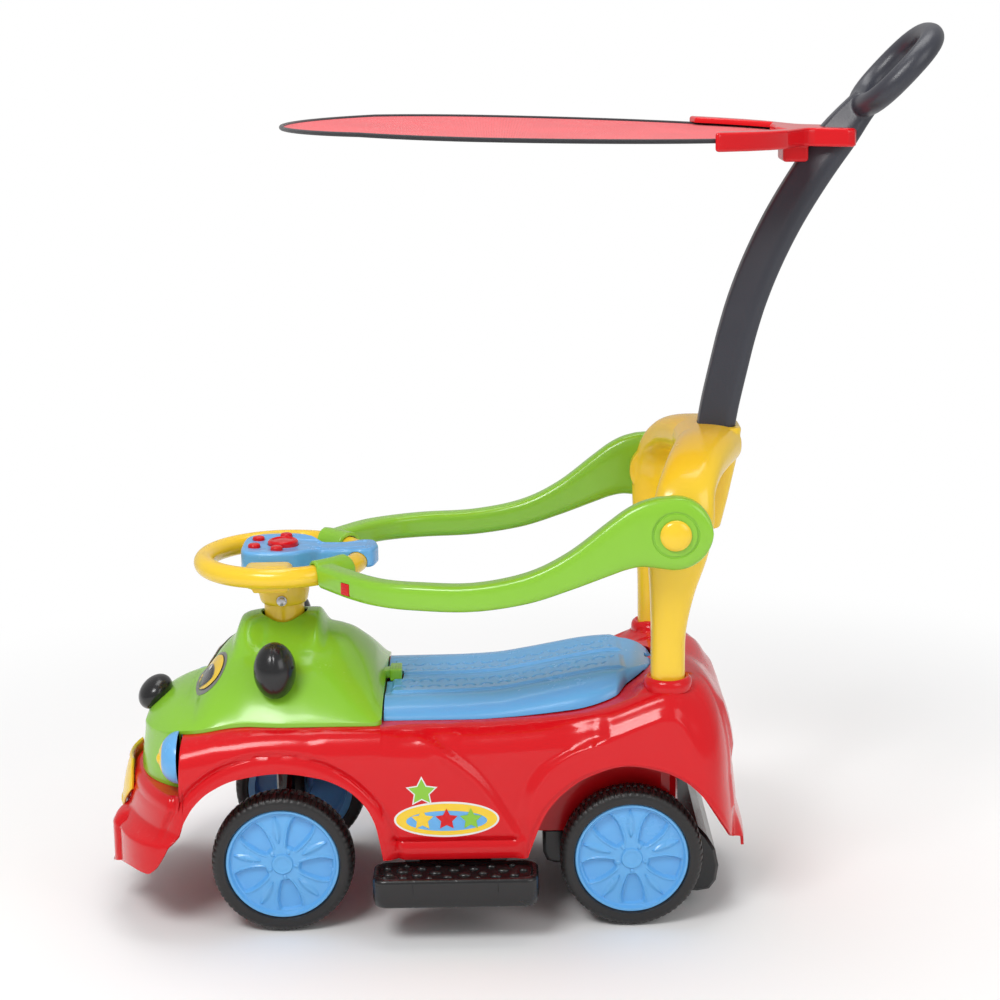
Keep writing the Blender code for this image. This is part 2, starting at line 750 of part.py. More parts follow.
HOOD_FRONT_Y = (0.0, 0.030, 0.060, 0.083)
HOOD_SIDE_S = (-0.126, -0.112, -0.1005, -0.0975, -0.066, -0.022, 0.022, 0.066)
HOOD_CORNER = ((0.093, HOOD_HALF_WIDTH - 0.0005), (0.1005, HOOD_HALF_WIDTH - 0.007),
               (HOOD_REAR_S, HOOD_HALF_WIDTH - 0.019))
HOOD_REAR_Y = (0.085, 0.050, 0.020, 0.0)


def hood_outline():
    """Half of the rim in plan, from the nose to the rear, as (s, y, rim height)."""
    points = []
    for y in HOOD_FRONT_Y:
        inside = 1 - (y / HOOD_NOSE_HALF_WIDTH) ** 2.1
        s = -0.080 + (HOOD_NOSE_S + 0.080) * inside ** (1 / 2.1)
        points.append((s, y, SNOUT_RIM_Z + TOUCH_GAP))
    for s in HOOD_SIDE_S:
        rim = SNOUT_RIM_Z + TOUCH_GAP if s < FENDER_STEP_S else HOOD_SEAM_Z + TOUCH_GAP
        points.append((s, hood_half_width(s), rim))
    for s, y in HOOD_CORNER:
        points.append((s, y, HOOD_SEAM_Z + TOUCH_GAP))
    for y in HOOD_REAR_Y:
        points.append((HOOD_REAR_S, y, HOOD_REAR_RIM_Z))
    return points


HOOD_ROWS = (0.0, 0.19, 0.36, 0.53, 0.69, 0.83, 0.92, 0.975, 1.0)


def hood_columns(grow=0.0, closed=False):
    half = hood_outline()
    whole = [(s, -y, z) for s, y, z in half] + [(s, y, z) for s, y, z in reversed(half[1:-1])]
    columns = []
    for s, y, rim in whole:
        reach = math.hypot(s, y)
        column = []
        for share in HOOD_ROWS:
            distance = mix(COLUMN_RADIUS + COLUMN_HOLE_CLEARANCE, reach, share)
            px, py = s / reach * distance, y / reach * distance
            column.append(Vector((px, py, hood_height(px, py))))
        column.append(Vector((s, y, rim)))
        column = [p + Vector((p.x / reach, p.y / reach, 1.0)) * grow for p in column]
        if closed:
            column.append(Vector((column[-1].x, column[-1].y, SNOUT_RIM_Z - 0.030)))
        columns.append(column)
    return columns


def make_hood():
    """The hood as a thin wall: its outer skin, and the same skin set in by the wall."""
    outer = hood_columns()
    inner = []
    for column in outer:
        radial = Vector((column[-1].x, column[-1].y, 0)).normalized()
        inner_column = []
        for i, p in enumerate(column):
            sideways = smooth(0.55, 1.0, i / (len(HOOD_ROWS) - 1))
            inward = radial * (HOOD_WALL * sideways)
            down = Vector((0, 0, HOOD_WALL if i < len(HOOD_ROWS) else 0.0))
            inner_column.append(p - inward - down)
        inner.append(inner_column)
    place = station(0, 0, 0)
    outer = [[p + place for p in column] for column in outer]
    inner = [[p + place for p in column] for column in inner]
    shell = walled("hood", outer, inner, "green", loop=True)
    slot = block("slot", station(0.085, -0.0085, LATCH_BOTTOM_Z + 0.0020),
                 station(0.110, 0.0085, LATCH_TOP_Z - 0.0020), "green")
    cut(shell, slot)
    for side in (-1, 1):
        cut(shell, headlight_pod("pod", side, TOUCH_GAP))
    finish_shading(shell, 40)
    return shell


def hood_volume(grow):
    """The hood as a closed solid, grown a little, to trim what sits on its skin."""
    columns = hood_columns(grow, closed=True)
    count = len(columns[0])
    verts = [p + station(0, 0, 0) for column in columns for p in column]
    faces = []
    for i in range(len(columns)):
        a, b = i * count, ((i + 1) % len(columns)) * count
        for j in range(count - 1):
            faces.append((a + j, b + j, b + j + 1, a + j + 1))
    faces.append(tuple(i * count for i in range(len(columns))))
    faces.append(tuple(i * count + count - 1 for i in range(len(columns))))
    return add_object("hood_volume", verts, faces, "green")


def make_face():
    """Nose, ears and headlights, each trimmed to the hood's skin."""
    nose = ellipsoid("nose", station(-0.1375, 0, 0.2165), (0.020, 0.024, 0.015), "black",
                     tilt=math.radians(-45))
    cut(nose, hood_volume(TOUCH_GAP))
    finish_shading(nose)
    for name, side in SIDES:
        ear = ellipsoid("ear_" + name, station(-0.002, side * 0.100, 0.268), (0.021, 0.024, 0.0285), "black")
        cut(ear, hood_volume(TOUCH_GAP))
        finish_shading(ear)
        make_headlight(name, side)


def headlight_pod(name, side, grow=0.0):
    """The rounded housing that fills the corner between hood, bumper and fender."""
    s, y, z = HEADLIGHT_CENTRE
    return ellipsoid(name, station(s, side * y, z), tuple(r + grow for r in HEADLIGHT_RADII), "blue",
                     segments=14, rings=8)


def make_headlight(name, side):
    s, y, z = HEADLIGHT_CENTRE
    lamp = headlight_pod("headlight_" + name, side)
    trim = ellipsoid("headlight_trim_" + name, station(s - 0.0030, side * y, z),
                     tuple(r * 1.01 for r in HEADLIGHT_RADII), "yellow", segments=14, rings=8)
    lens = ellipsoid("headlight_lens_" + name, station(s - 0.0115, side * (y + 0.0245), z - 0.001),
                     (0.0060, 0.0050, 0.0070), "yellow", segments=8, rings=6)
    cut(trim, headlight_pod("inner", side, TOUCH_GAP), headlight_lower_half(side))
    cut(lens, headlight_pod("inner", side, TOUCH_GAP))
    for piece in (lamp, trim, lens):
        cut(piece, front_wall_block(side), rear_half(side))
    lens_space = ellipsoid("lens_space", station(s - 0.0115, side * (y + 0.0245), z - 0.001),
                           (0.0064, 0.0054, 0.0074), "yellow", segments=8, rings=6)
    cut(trim, hood_volume(TOUCH_GAP), lens_space)
    for piece in (lamp, trim, lens):
        finish_shading(piece)


def headlight_lower_half(side):
    """Space inboard of the crescent, which only follows the lamp's front edge."""
    s, y, z = HEADLIGHT_CENTRE
    return block("inboard", station(s - 0.05, side * (y - 0.030) - 0.022, z - 0.05),
                 station(s + 0.05, side * (y - 0.030) + 0.022, z + 0.05), "red")


def rear_half(side):
    """Space behind the flat rear edge of a headlight."""
    return block("behind", station(FENDER_STEP_S - TOUCH_GAP - 0.0002, side * 0.150 - 0.09, 0.14),
                 station(-0.05, side * 0.150 + 0.09, 0.23),
                 "red")


def front_wall_block(side):
    """Space under the headlight, which the bumper fills."""
    return block("under", station(-0.17, side * 0.11 - 0.06, 0.10),
                 station(-0.08, side * 0.11 + 0.06, SNOUT_RIM_Z + 0.0005), "red")


def make_number_plate():
    """A blank elongated hexagon that follows the curve of the nose."""
    half_width, half_flat = 0.044, 0.026
    middle, half_height = 0.1285, 0.0275
    columns = 9
    outer, inner = [], []
    for level in (-1.0, -0.33, 0.33, 1.0):
        z = middle + level * half_height
        reach = mix(half_width, half_flat, abs(level))
        front_row, back_row = [], []
        for i in range(columns):
            y = mix(-reach, reach, i / (columns - 1))
            base = nose_curve(y, min(z, 0.132))
            lean = 0.20 * max(0.0, z - 0.132)
            back_row.append(station(base - TOUCH_GAP - 0.0008 + lean * 0, y, z))
            bow = 0.0075 * (1 - (y / 0.050) ** 2)
            front_row.append(station(base - 0.0035 - bow + lean, y, z))
        outer.append(front_row)
        inner.append(back_row)
    verts = [p for row in outer for p in row] + [p for row in inner for p in row]
    layer = columns * 4
    faces = []
    for r in range(3):
        for c in range(columns - 1):
            a = r * columns + c
            faces.append((a, a + 1, a + columns + 1, a + columns))
            faces.append((layer + a, layer + a + columns, layer + a + columns + 1, layer + a + 1))
    for c in range(columns - 1):
        top = 3 * columns + c
        faces.append((c, layer + c, layer + c + 1, c + 1))
        faces.append((top, top + 1, layer + top + 1, layer + top))
    for r in range(3):
        left, right = r * columns, r * columns + columns - 1
        faces.append((left, left + columns, layer + left + columns, layer + left))
        faces.append((right, layer + right, layer + right + columns, right + columns))
    plate = add_object("number_plate", verts, faces, "yellow")
    finish_shading(plate)
    return plate


# Inner tub: deck under the hood, storage bin under the seat, steering sleeve

def make_inner_tub():
    flange_top = SEAT_DECK_Z - BODY_WALL - TUB_SEAT_GAP
    flange_bottom = flange_top - TUB_FLANGE_THICKNESS
    outline = [(FRONT_AXLE_X + 0.165 + a, b) for a, b in round_box(0.252, TUB_FLANGE_HALF_WIDTH, 0.030, 2)]
    tub = prism("inner_tub", outline, "Z", flange_bottom, flange_top, "red")
    bin_outer = [(FRONT_AXLE_X + (BIN_FRONT_S + BIN_REAR_S) / 2 + a, b) for a, b in
                 round_box((BIN_REAR_S - BIN_FRONT_S) / 2, BIN_HALF_WIDTH, 0.018, 3)]
    bin_inner = [(FRONT_AXLE_X + (BIN_FRONT_S + BIN_REAR_S) / 2 + a, b) for a, b in
                 round_box((BIN_REAR_S - BIN_FRONT_S) / 2 - BIN_WALL, BIN_HALF_WIDTH - BIN_WALL, 0.015, 3)]
    unite(tub, prism("bin", bin_outer, "Z", BIN_FLOOR_Z, flange_bottom + 0.001, "red"))
    unite(tub, rod("sleeve", station(0, 0, SLEEVE_BOTTOM_Z), station(0, 0, SLEEVE_TOP_Z),
                   SLEEVE_RADIUS, 14, "red"))
    for half in (-1, 1):
        unite(tub, block("rib", station(-0.075 if half < 0 else 0.010, -0.0015, 0.170),
                         station(-0.010 if half < 0 else BIN_FRONT_S + 0.001, 0.0015, flange_bottom + 0.001), "red"))
    cut(tub, prism("hollow", bin_inner, "Z", BIN_FLOOR_Z + BIN_WALL, 0.30, "red"))
    cut(tub, rod("bore", station(0, 0, 0.12), station(0, 0, 0.25), STEER_SHAFT_RADIUS + RUNNING_GAP, 14, "red"))
    top, rear, wall = HINGE_Z + KNUCKLE_RADIUS, BIN_REAR_S, BIN_REAR_S - BIN_WALL - 0.001
    arm = [(HINGE_S, top), (rear, top), (rear, 0.200), (wall, 0.194), (wall, HINGE_Z - 0.010),
           (HINGE_S + 0.006, HINGE_Z - KNUCKLE_RADIUS)]
    arm += [(HINGE_S - KNUCKLE_RADIUS * math.sin(math.radians(turn)),
             HINGE_Z - KNUCKLE_RADIUS * math.cos(math.radians(turn))) for turn in (0, 30, 60, 90, 120, 150)]
    unite(tub, prism("hinge_arm", [(FRONT_AXLE_X + s, z) for s, z in arm], "Y", -HINGE_EAR_HALF_WIDTH,
                     HINGE_EAR_HALF_WIDTH, "red"))
    cut(tub, rod("pin_bore", station(HINGE_S, -0.008, HINGE_Z), station(HINGE_S, 0.008, HINGE_Z),
                 HINGE_PIN_RADIUS + TOUCH_GAP, 16, "red"))
    finish_shading(tub)
    return tub


# Seat lid, its hinge pin and its latch

SEAT_CROWN = ((SEAT_FRONT_S, 0.2285), (0.170, 0.229), (0.215, 0.231), (0.250, 0.2365), (0.282, 0.2425),
              (0.310, 0.2475), (0.334, 0.2502), (0.352, 0.2485), (0.364, 0.2455), (0.373, 0.2425),
              (SEAT_REAR_S, 0.2390))
SEAT_STATIONS = (SEAT_FRONT_S, 0.140, 0.170, 0.198, 0.218, 0.237, 0.256, 0.280, 0.310, 0.340, 0.354, 0.367,
                 SEAT_REAR_S)


def rounded_end(s, length, half_width, power=2.0):
    """Half width at a station of a plan that ends in a half oval."""
    share = max(0.0, (s - SEAT_ROUND_START_S) / length)
    return half_width * max(0.0, 1 - share ** power) ** (1 / power)


def seat_section(s):
    """Half section of the lid from the skirt's bottom edge in to the middle, as (y, z)."""
    opening = rounded_end(s, SEAT_REAR_S + SEAT_OPENING_GAP - SEAT_ROUND_START_S, SEAT_OPENING_HALF_WIDTH)
    lid = rounded_end(s, SEAT_REAR_S + 0.001 - SEAT_ROUND_START_S, SEAT_HALF_WIDTH, 2.3)
    inside = smooth(0.337, 0.350, s)
    width = mix(lid, min(lid, opening - 0.0022), inside)
    width = max(width, 0.006)
    crown = through(SEAT_CROWN, s)
    bottom = deck_height(s) + TOUCH_GAP + 0.0009 * smooth(0.200, 0.290, s)
    bottom = min(bottom, crown - 0.004)
    top_width = width * SEAT_TOP_HALF_WIDTH / SEAT_HALF_WIDTH
    dish = 0.0025 * (1 - smooth(SEAT_ROUND_START_S, SEAT_REAR_S, s))
    return [(width, bottom), (mix(width, top_width, 0.20), mix(bottom, crown, 0.55)),
            (mix(width, top_width, 0.60), mix(bottom, crown, 0.88)),
            (top_width, crown), (top_width * 0.6, crown - dish), (0.0, crown - dish * 0.2)]


def make_seat():
    outer, inner = [], []
    stops = [(SEAT_FRONT_S, SEAT_FRONT_S, "front")]
    stops += [(s, s, "") for s in SEAT_STATIONS]
    stops += [(SEAT_REAR_S, SEAT_REAR_S + 0.0008, "rear")]
    for source, s, end in stops:
        section = seat_section(source)
        low = section[0][1] - (0.004 if end == "rear" else 0.0)
        skin, lining = [], []
        for i, (y, z) in enumerate(section):
            shrink = max(0.0, 1 - SEAT_WALL / section[0][0])
            drop = SEAT_WALL * smooth(0, 3, i)
            setback = SEAT_WALL if s <= SEAT_FRONT_S else (-SEAT_WALL if s >= SEAT_REAR_S else 0.0)
            skin.append((s, y, low if end else z))
            lining.append((s + setback, y * shrink, low if end else z - drop))
        outer.append([station(s, -y, z) for s, y, z in skin] + [station(s, y, z) for s, y, z in reversed(skin[:-1])])
        inner.append([station(s, -y, z) for s, y, z in lining]
                     + [station(s, y, z) for s, y, z in reversed(lining[:-1])])
    lid = walled("seat_lid", outer, inner, "blue", loop=False)
    for name, side in SIDES:
        near, far = side * KNUCKLE_Y, side * (KNUCKLE_Y + KNUCKLE_LENGTH)
        unite(lid, rod("knuckle", station(HINGE_S, near, HINGE_Z), station(HINGE_S, far, HINGE_Z),
                       KNUCKLE_RADIUS, 12, "blue"))
    cut(lid, rod("pin_bore", station(HINGE_S, -0.018, HINGE_Z), station(HINGE_S, 0.018, HINGE_Z),
                 around(HINGE_PIN_RADIUS + TOUCH_GAP, 12), 12, "blue"))
    cut(lid, block("arm_notch", station(HINGE_S - 0.0062, -KNUCKLE_Y, 0.220), station(0.400, KNUCKLE_Y, 0.260),
                   "blue"))
    notch = block("notch", station(0.09, -LATCH_HALF_WIDTH - 0.001, 0.20),
                  station(HOOD_REAR_S + LATCH_LENGTH + 0.001, LATCH_HALF_WIDTH + 0.001, 0.26), "blue")
    cut(lid, notch)
    finish_shading(lid)
    pin = rod("seat_hinge_pin", station(HINGE_S, -HINGE_PIN_REACH, HINGE_Z),
              station(HINGE_S, HINGE_PIN_REACH, HINGE_Z), HINGE_PIN_RADIUS, 16, "steel")
    finish_shading(pin)
    carry(pivot("seat_hinge", HINGE_S, 0, HINGE_Z), lid)

    start = HOOD_REAR_S + TOUCH_GAP + LATCH_TRAVEL
    latch = block("seat_latch", station(start, -LATCH_HALF_WIDTH, LATCH_BOTTOM_Z),
                  station(HOOD_REAR_S + LATCH_LENGTH, LATCH_HALF_WIDTH, LATCH_TOP_Z), "green")
    soften(latch, 0.0015)
    stem = block("stem", station(0.078, -0.0080, LATCH_BOTTOM_Z + 0.0024),
                 station(start + 0.002, 0.0080, LATCH_TOP_Z - 0.0024), "green")
    unite(latch, stem)
    finish_shading(latch)
    carry(pivot("seat_latch_slide", HOOD_REAR_S, 0, (LATCH_BOTTOM_Z + LATCH_TOP_Z) / 2), latch)


# Steering: yoke and axle below, column, wheel, music box and its buttons

def ring_tube(name, radius, tube, z, colour, segments=40, sides=8, start=0.0, end=360.0):
    """A bent round tube about the column's axis, from start to end degrees."""
    rings = []
    whole = end - start >= 360.0
    steps = segments if whole else segments + 1
    for i in range(steps):
        angle = math.radians(mix(start, end, i / segments))
        outward = Vector((math.cos(angle), math.sin(angle), 0))
        ring = []
        for j in range(sides):
            turn = 2 * math.pi * (j + 0.5) / sides
            ring.append(station(0, 0, z) + outward * (radius + tube * math.cos(turn))
                        + Vector((0, 0, tube * math.sin(turn))))
        rings.append(ring)
    return loft(name, rings, colour, closed_path=whole)


def make_steering():
    anchor = pivot("steering_axis", 0, 0, WHEEL_RING_Z)
    yoke = block("front_yoke", station(-0.011, -YOKE_HALF_WIDTH, YOKE_BEAM_BOTTOM_Z),
                 station(0.011, YOKE_HALF_WIDTH, YOKE_BEAM_TOP_Z), "black")
    soften(yoke, 0.003, 1)
    hub_top = SLEEVE_BOTTOM_Z - TOUCH_GAP
    unite(yoke, rod("hub", station(0, 0, YOKE_BEAM_TOP_Z - 0.005), station(0, 0, hub_top), YOKE_HUB_RADIUS, 14,
                    "black"))
    for side in (-1, 1):
        outline = [(-0.0655 * side, YOKE_BEAM_TOP_Z - 0.002), (0.0, YOKE_BEAM_TOP_Z - 0.002),
                   (0.0, hub_top - 0.012)]
        web = prism("web", outline, "X", FRONT_AXLE_X - 0.0025, FRONT_AXLE_X + 0.0025, "black")
        unite(yoke, web)
    cut(yoke, rod("axle_bore", station(0, -0.1, AXLE_Z), station(0, 0.1, AXLE_Z), AXLE_BORE_RADIUS, 12, "black"))
    cut(yoke, rod("shaft_bore", station(0, 0, 0.0845), station(0, 0, 0.2), STEER_SHAFT_RADIUS + TOUCH_GAP, 14,
                  "black"))
    finish_shading(yoke)
    shaft = rod("steering_shaft", station(0, 0, 0.085), station(0, 0, 0.300), STEER_SHAFT_RADIUS, 14, "steel")
    finish_shading(shaft)
    axle = make_axle("front_axle", 0.0)

    bore = STEER_SHAFT_RADIUS + TOUCH_GAP
    base = SLEEVE_TOP_Z + TOUCH_GAP
    column = turned("steering_column", [(bore, base), (COLUMN_RADIUS, base), (COLUMN_RADIUS, COLUMN_TOP_Z),
                                        (0.0, COLUMN_TOP_Z), (0.0, 0.3005), (bore, 0.3005)],
                    station(0, 0, 0), (0, 0, 1), 16, "yellow")
    wheel = make_steering_wheel()
    for piece in (column, wheel):
        cut(piece, rod("bolt_bore", station(0, -0.05, STEER_BOLT_Z), station(0, 0.05, STEER_BOLT_Z),
                       STEER_BOLT_RADIUS + TOUCH_GAP, 12, "yellow"))
        finish_shading(piece)
    bolt = make_steering_bolt()
    box = make_music_box()
    buttons = make_music_buttons()
    carry(anchor, yoke, shaft, axle, column, wheel, bolt, box)
    for button, s, y in buttons:
        place = pivot(button.name + "_slide", s, y, MUSIC_BOX_TOP_Z)
        carry(place, button)
        place.parent = anchor
        place.matrix_parent_inverse = anchor.matrix_world.inverted()
    return anchor


def make_steering_wheel():
    wheel = ring_tube("steering_wheel", WHEEL_RING_RADIUS, WHEEL_TUBE_RADIUS, WHEEL_RING_Z, "yellow", 30, 8)
    bore = around(COLUMN_RADIUS + TOUCH_GAP, 16)
    hub = turned("hub", [(bore, STEER_HUB_BOTTOM_Z), (0.0235, STEER_HUB_BOTTOM_Z),
                         (STEER_HUB_RADIUS, STEER_HUB_BOTTOM_Z + 0.009), (STEER_HUB_RADIUS, STEER_PLATE_BOTTOM_Z),
                         (0.031, STEER_PLATE_BOTTOM_Z + 0.003), (0.031, STEER_PLATE_TOP_Z),
                         (0.0, STEER_PLATE_TOP_Z), (0.0, COLUMN_TOP_Z + TOUCH_GAP),
                         (bore, COLUMN_TOP_Z + TOUCH_GAP)],
                 station(0, 0, 0), (0, 0, 1), 14, "yellow")
    unite(wheel, hub)
    spoke_end = WHEEL_RING_RADIUS - 0.004
    for side in (-1, 1):
        near, far = side * 0.020, side * spoke_end
        unite(wheel, block("spoke", station(-0.024, min(near, far), STEER_PLATE_BOTTOM_Z + 0.002),
                           station(0.012, max(near, far), STEER_PLATE_TOP_Z), "yellow"))
        near = side * 0.0445
        mound = block("mound", station(-0.0315, min(near, far), 0.344),
                      station(0.0150, max(near, far), 0.3655), "yellow")
        soften(mound, 0.006, 1)
        unite(wheel, mound)
    unite(wheel, block("rear_spoke", station(0.020, -0.012, STEER_PLATE_BOTTOM_Z + 0.002),
                       station(spoke_end, 0.012, STEER_PLATE_TOP_Z - 0.0002), "yellow"))
    return wheel


def make_steering_bolt():
    head_y = -(STEER_HUB_RADIUS + TOUCH_GAP)
    bolt = rod("steering_bolt", station(0, head_y - 0.003, STEER_BOLT_Z), station(0, 0.031, STEER_BOLT_Z),
               STEER_BOLT_RADIUS, 12, "steel")
    for start, length in ((head_y - 0.0035, 0.0035), (-head_y, 0.0035)):
        unite(bolt, rod("hex", station(0, start, STEER_BOLT_Z), station(0, start + length, STEER_BOLT_Z),
                        0.0042, 6, "steel"))
    finish_shading(bolt)
    return bolt


MUSIC_OUTLINE = ((-0.0405, 0.0), (-0.0395, 0.024), (-0.0320, 0.0370), (-0.0120, 0.0425), (0.0140, 0.0415),
                 (0.0290, 0.0310), (0.0420, 0.0200), (0.0650, 0.0180), (0.0820, 0.0220), (0.0940, 0.0180),
                 (0.0985, 0.0))


def make_music_box():
    half = list(MUSIC_OUTLINE)
    outline = [(s, -y) for s, y in half] + [(s, y) for s, y in reversed(half[1:-1])]
    bottom = STEER_PLATE_TOP_Z + TOUCH_GAP
    middle = (0.012, 0.0)
    rings = []
    for level, shrink in ((0.0, 0.99), (0.80, 1.0), (1.0, 0.92)):
        ring = []
        for s, y in outline:
            top = MUSIC_BOX_TOP_Z - 0.0040 * smooth(0.028, 0.045, s) + 0.0015 * smooth(0.060, 0.085, s)
            z = mix(bottom, top, level)
            ring.append(station(mix(middle[0], s, shrink), mix(middle[1], y, shrink), z))
        rings.append(ring)
    box = loft("music_box", rings, "blue")
    cut(box, ring_tube("ring_space", WHEEL_RING_RADIUS, WHEEL_TUBE_RADIUS + RUNNING_GAP, WHEEL_RING_Z, "blue", 30, 8))
    floor = MUSIC_BOX_TOP_Z - MUSIC_BUTTON_STEM - MUSIC_BUTTON_TRAVEL - 0.0010
    for name, s, y, radius in MUSIC_BUTTONS:
        cut(box, rod("well", station(s, y, floor), station(s, y, 0.40),
                     around(radius + MUSIC_BUTTON_CLEARANCE, 12), 12, "blue"))
    finish_shading(box)
    return box


MUSIC_BUTTONS = (
    ("music_button_front_left", -0.0270, -0.0140, MUSIC_BUTTON_RADIUS),
    ("music_button_front_right", -0.0255, 0.0165, MUSIC_BUTTON_RADIUS),
    ("music_button_rear_left", -0.0030, -0.0260, MUSIC_BUTTON_RADIUS),
    ("music_button_rear_right", 0.0020, 0.0285, MUSIC_BUTTON_RADIUS),
    ("music_button_middle", 0.0010, 0.0010, MUSIC_MAIN_BUTTON_RADIUS),
)


def make_music_buttons():
    made = []
    for name, s, y, radius in MUSIC_BUTTONS:
        profile = [(0.0, -MUSIC_BUTTON_STEM), (radius, -MUSIC_BUTTON_STEM), (radius, MUSIC_BUTTON_HEIGHT * 0.6),
                   (radius * 0.72, MUSIC_BUTTON_HEIGHT), (0.0, MUSIC_BUTTON_HEIGHT)]
        button = turned(name, profile, station(s, y, MUSIC_BOX_TOP_Z), (0, 0, 1), 12, "red")
        finish_shading(button)
        made.append((button, s, y))
    return made


# Wheels

def spoke_window(index):
    """Outline of one fan-shaped window in a wheel disc, as (across, up) points."""
    middle = math.radians(90 + 36 + 72 * index)
    points = []
    for radius, half in ((0.0500, 21), (0.0512, 0), (0.0500, -21), (0.0330, -18), (0.0190, -15),
                         (0.0190, 15), (0.0330, 18)):
        angle = middle + math.radians(half)
        points.append((radius * math.cos(angle), radius * math.sin(angle)))
    return points


def make_wheel(axle_name, name, side, s, steering):
    label = axle_name + "_" + name
    axis = (0, side, 0)
    origin = station(s, 0, AXLE_Z)
    face = WHEEL_OUTER_Y
    inner = face - TYRE_WIDTH
    true = 1 / math.cos(math.pi / WHEEL_SEGMENTS)
    fit = RIM_RADIUS + TOUCH_GAP
    tread = TYRE_RADIUS
    profile = [(fit * true, inner + 0.002), (tread - 0.0045, inner), (tread, inner + 0.0070),
               (tread, face - 0.0070), (tread - 0.0040, face - 0.0012), (0.0630, face),
               (fit * true, face - 0.0025)]
    tyre = turned("tyre_" + label, profile, origin, axis, WHEEL_SEGMENTS, "black")
    finish_shading(tyre, 30)
    plate = face - 0.0045
    disc = turned("wheel_disc_" + label,
                  [(AXLE_BORE_RADIUS, inner - 0.006), (0.0105, inner - 0.006), (0.0120, plate - 0.008),
                   (RIM_RADIUS, plate - 0.008), (RIM_RADIUS, face - 0.0025), (0.0540, face - 0.0005),
                   (0.0300, plate + 0.0020), (0.0, plate + 0.0040), (0.0, plate - 0.006),
                   (AXLE_BORE_RADIUS, plate - 0.006)],
                  origin, axis, 24, "blue")
    windows = []
    for index in range(5):
        outline = [(FRONT_AXLE_X + s + a, AXLE_Z + b) for a, b in spoke_window(index)]
        low, high = sorted((side * (plate - 0.0022), side * (face + 0.01)))
        windows.append(prism("window", outline, "Y", low, high, "blue"))
    cut(disc, *windows)
    finish_shading(disc)
    spin = pivot(label + "_spin", s, side * (face - TYRE_WIDTH / 2), AXLE_Z)
    carry(spin, tyre, disc)
    if steering:
        spin.parent = steering
        spin.matrix_parent_inverse = steering.matrix_world.inverted()


def make_axle(name, s):
    """A steel axle with a collar inside each wheel, which keeps the wheel off its carrier."""
    hub_face = WHEEL_OUTER_Y - TYRE_WIDTH - 0.006
    near, far = hub_face - 0.0033, hub_face - TOUCH_GAP
    profile = []
    for along in (-0.1135, 0.1135):
        side = math.copysign(1.0, along)
        steps = [(0.0, along), (AXLE_RADIUS, along), (AXLE_RADIUS, side * far), (0.0075, side * far),
                 (0.0075, side * near), (AXLE_RADIUS, side * near)]
        profile += steps if side < 0 else list(reversed(steps))
    axle = turned(name, profile, station(s, 0, AXLE_Z), (0, 1, 0), 10, "steel")
    finish_shading(axle)
    return axle


# Rear carrier with the anti-tip stop, rear axle and footrests

def make_rear_carrier():
    top = BIN_FLOOR_Z - TOUCH_GAP
    outline = [(CARRIER_FRONT_S, top), (CARRIER_FRONT_S, CARRIER_BOTTOM_Z + 0.012),
               (CARRIER_FRONT_S + 0.004, CARRIER_BOTTOM_Z + 0.003), (CARRIER_FRONT_S + 0.013, CARRIER_BOTTOM_Z),
               (0.392, CARRIER_BOTTOM_Z), (0.398, 0.040), (0.402, 0.024), (0.408, STOP_BOTTOM_Z + 0.001),
               (0.420, STOP_BOTTOM_Z), (0.432, STOP_BOTTOM_Z + 0.002), (0.439, 0.028), (STOP_REAR_S, 0.044),
               (0.438, 0.062), (0.430, 0.076), (0.420, top)]
    outline = [(FRONT_AXLE_X + s, z) for s, z in outline]
    carrier = prism("rear_carrier", outline, "Y", -CARRIER_HALF_WIDTH, CARRIER_HALF_WIDTH, "black")
    soften(carrier, 0.003, 1, 50)
    cut(carrier, block("hollow", station(0.275, -0.070, 0.02), station(0.338, 0.070, 0.0840), "black"))
    cut(carrier, block("hollow", station(0.362, -0.070, 0.02), station(0.388, 0.070, 0.0840), "black"))
    cut(carrier, rod("bore", station(REAR_AXLE_S, -0.1, AXLE_Z), station(REAR_AXLE_S, 0.1, AXLE_Z),
                     AXLE_BORE_RADIUS, 12, "black"))
    finish_shading(carrier)
    make_axle("rear_axle", REAR_AXLE_S)


STEP_STUDS = ((0.118, 0.135, 0.0080), (0.141, 0.149, 0.0090), (0.163, 0.134, 0.0085), (0.187, 0.148, 0.0095),
              (0.210, 0.134, 0.0085), (0.232, 0.149, 0.0080))


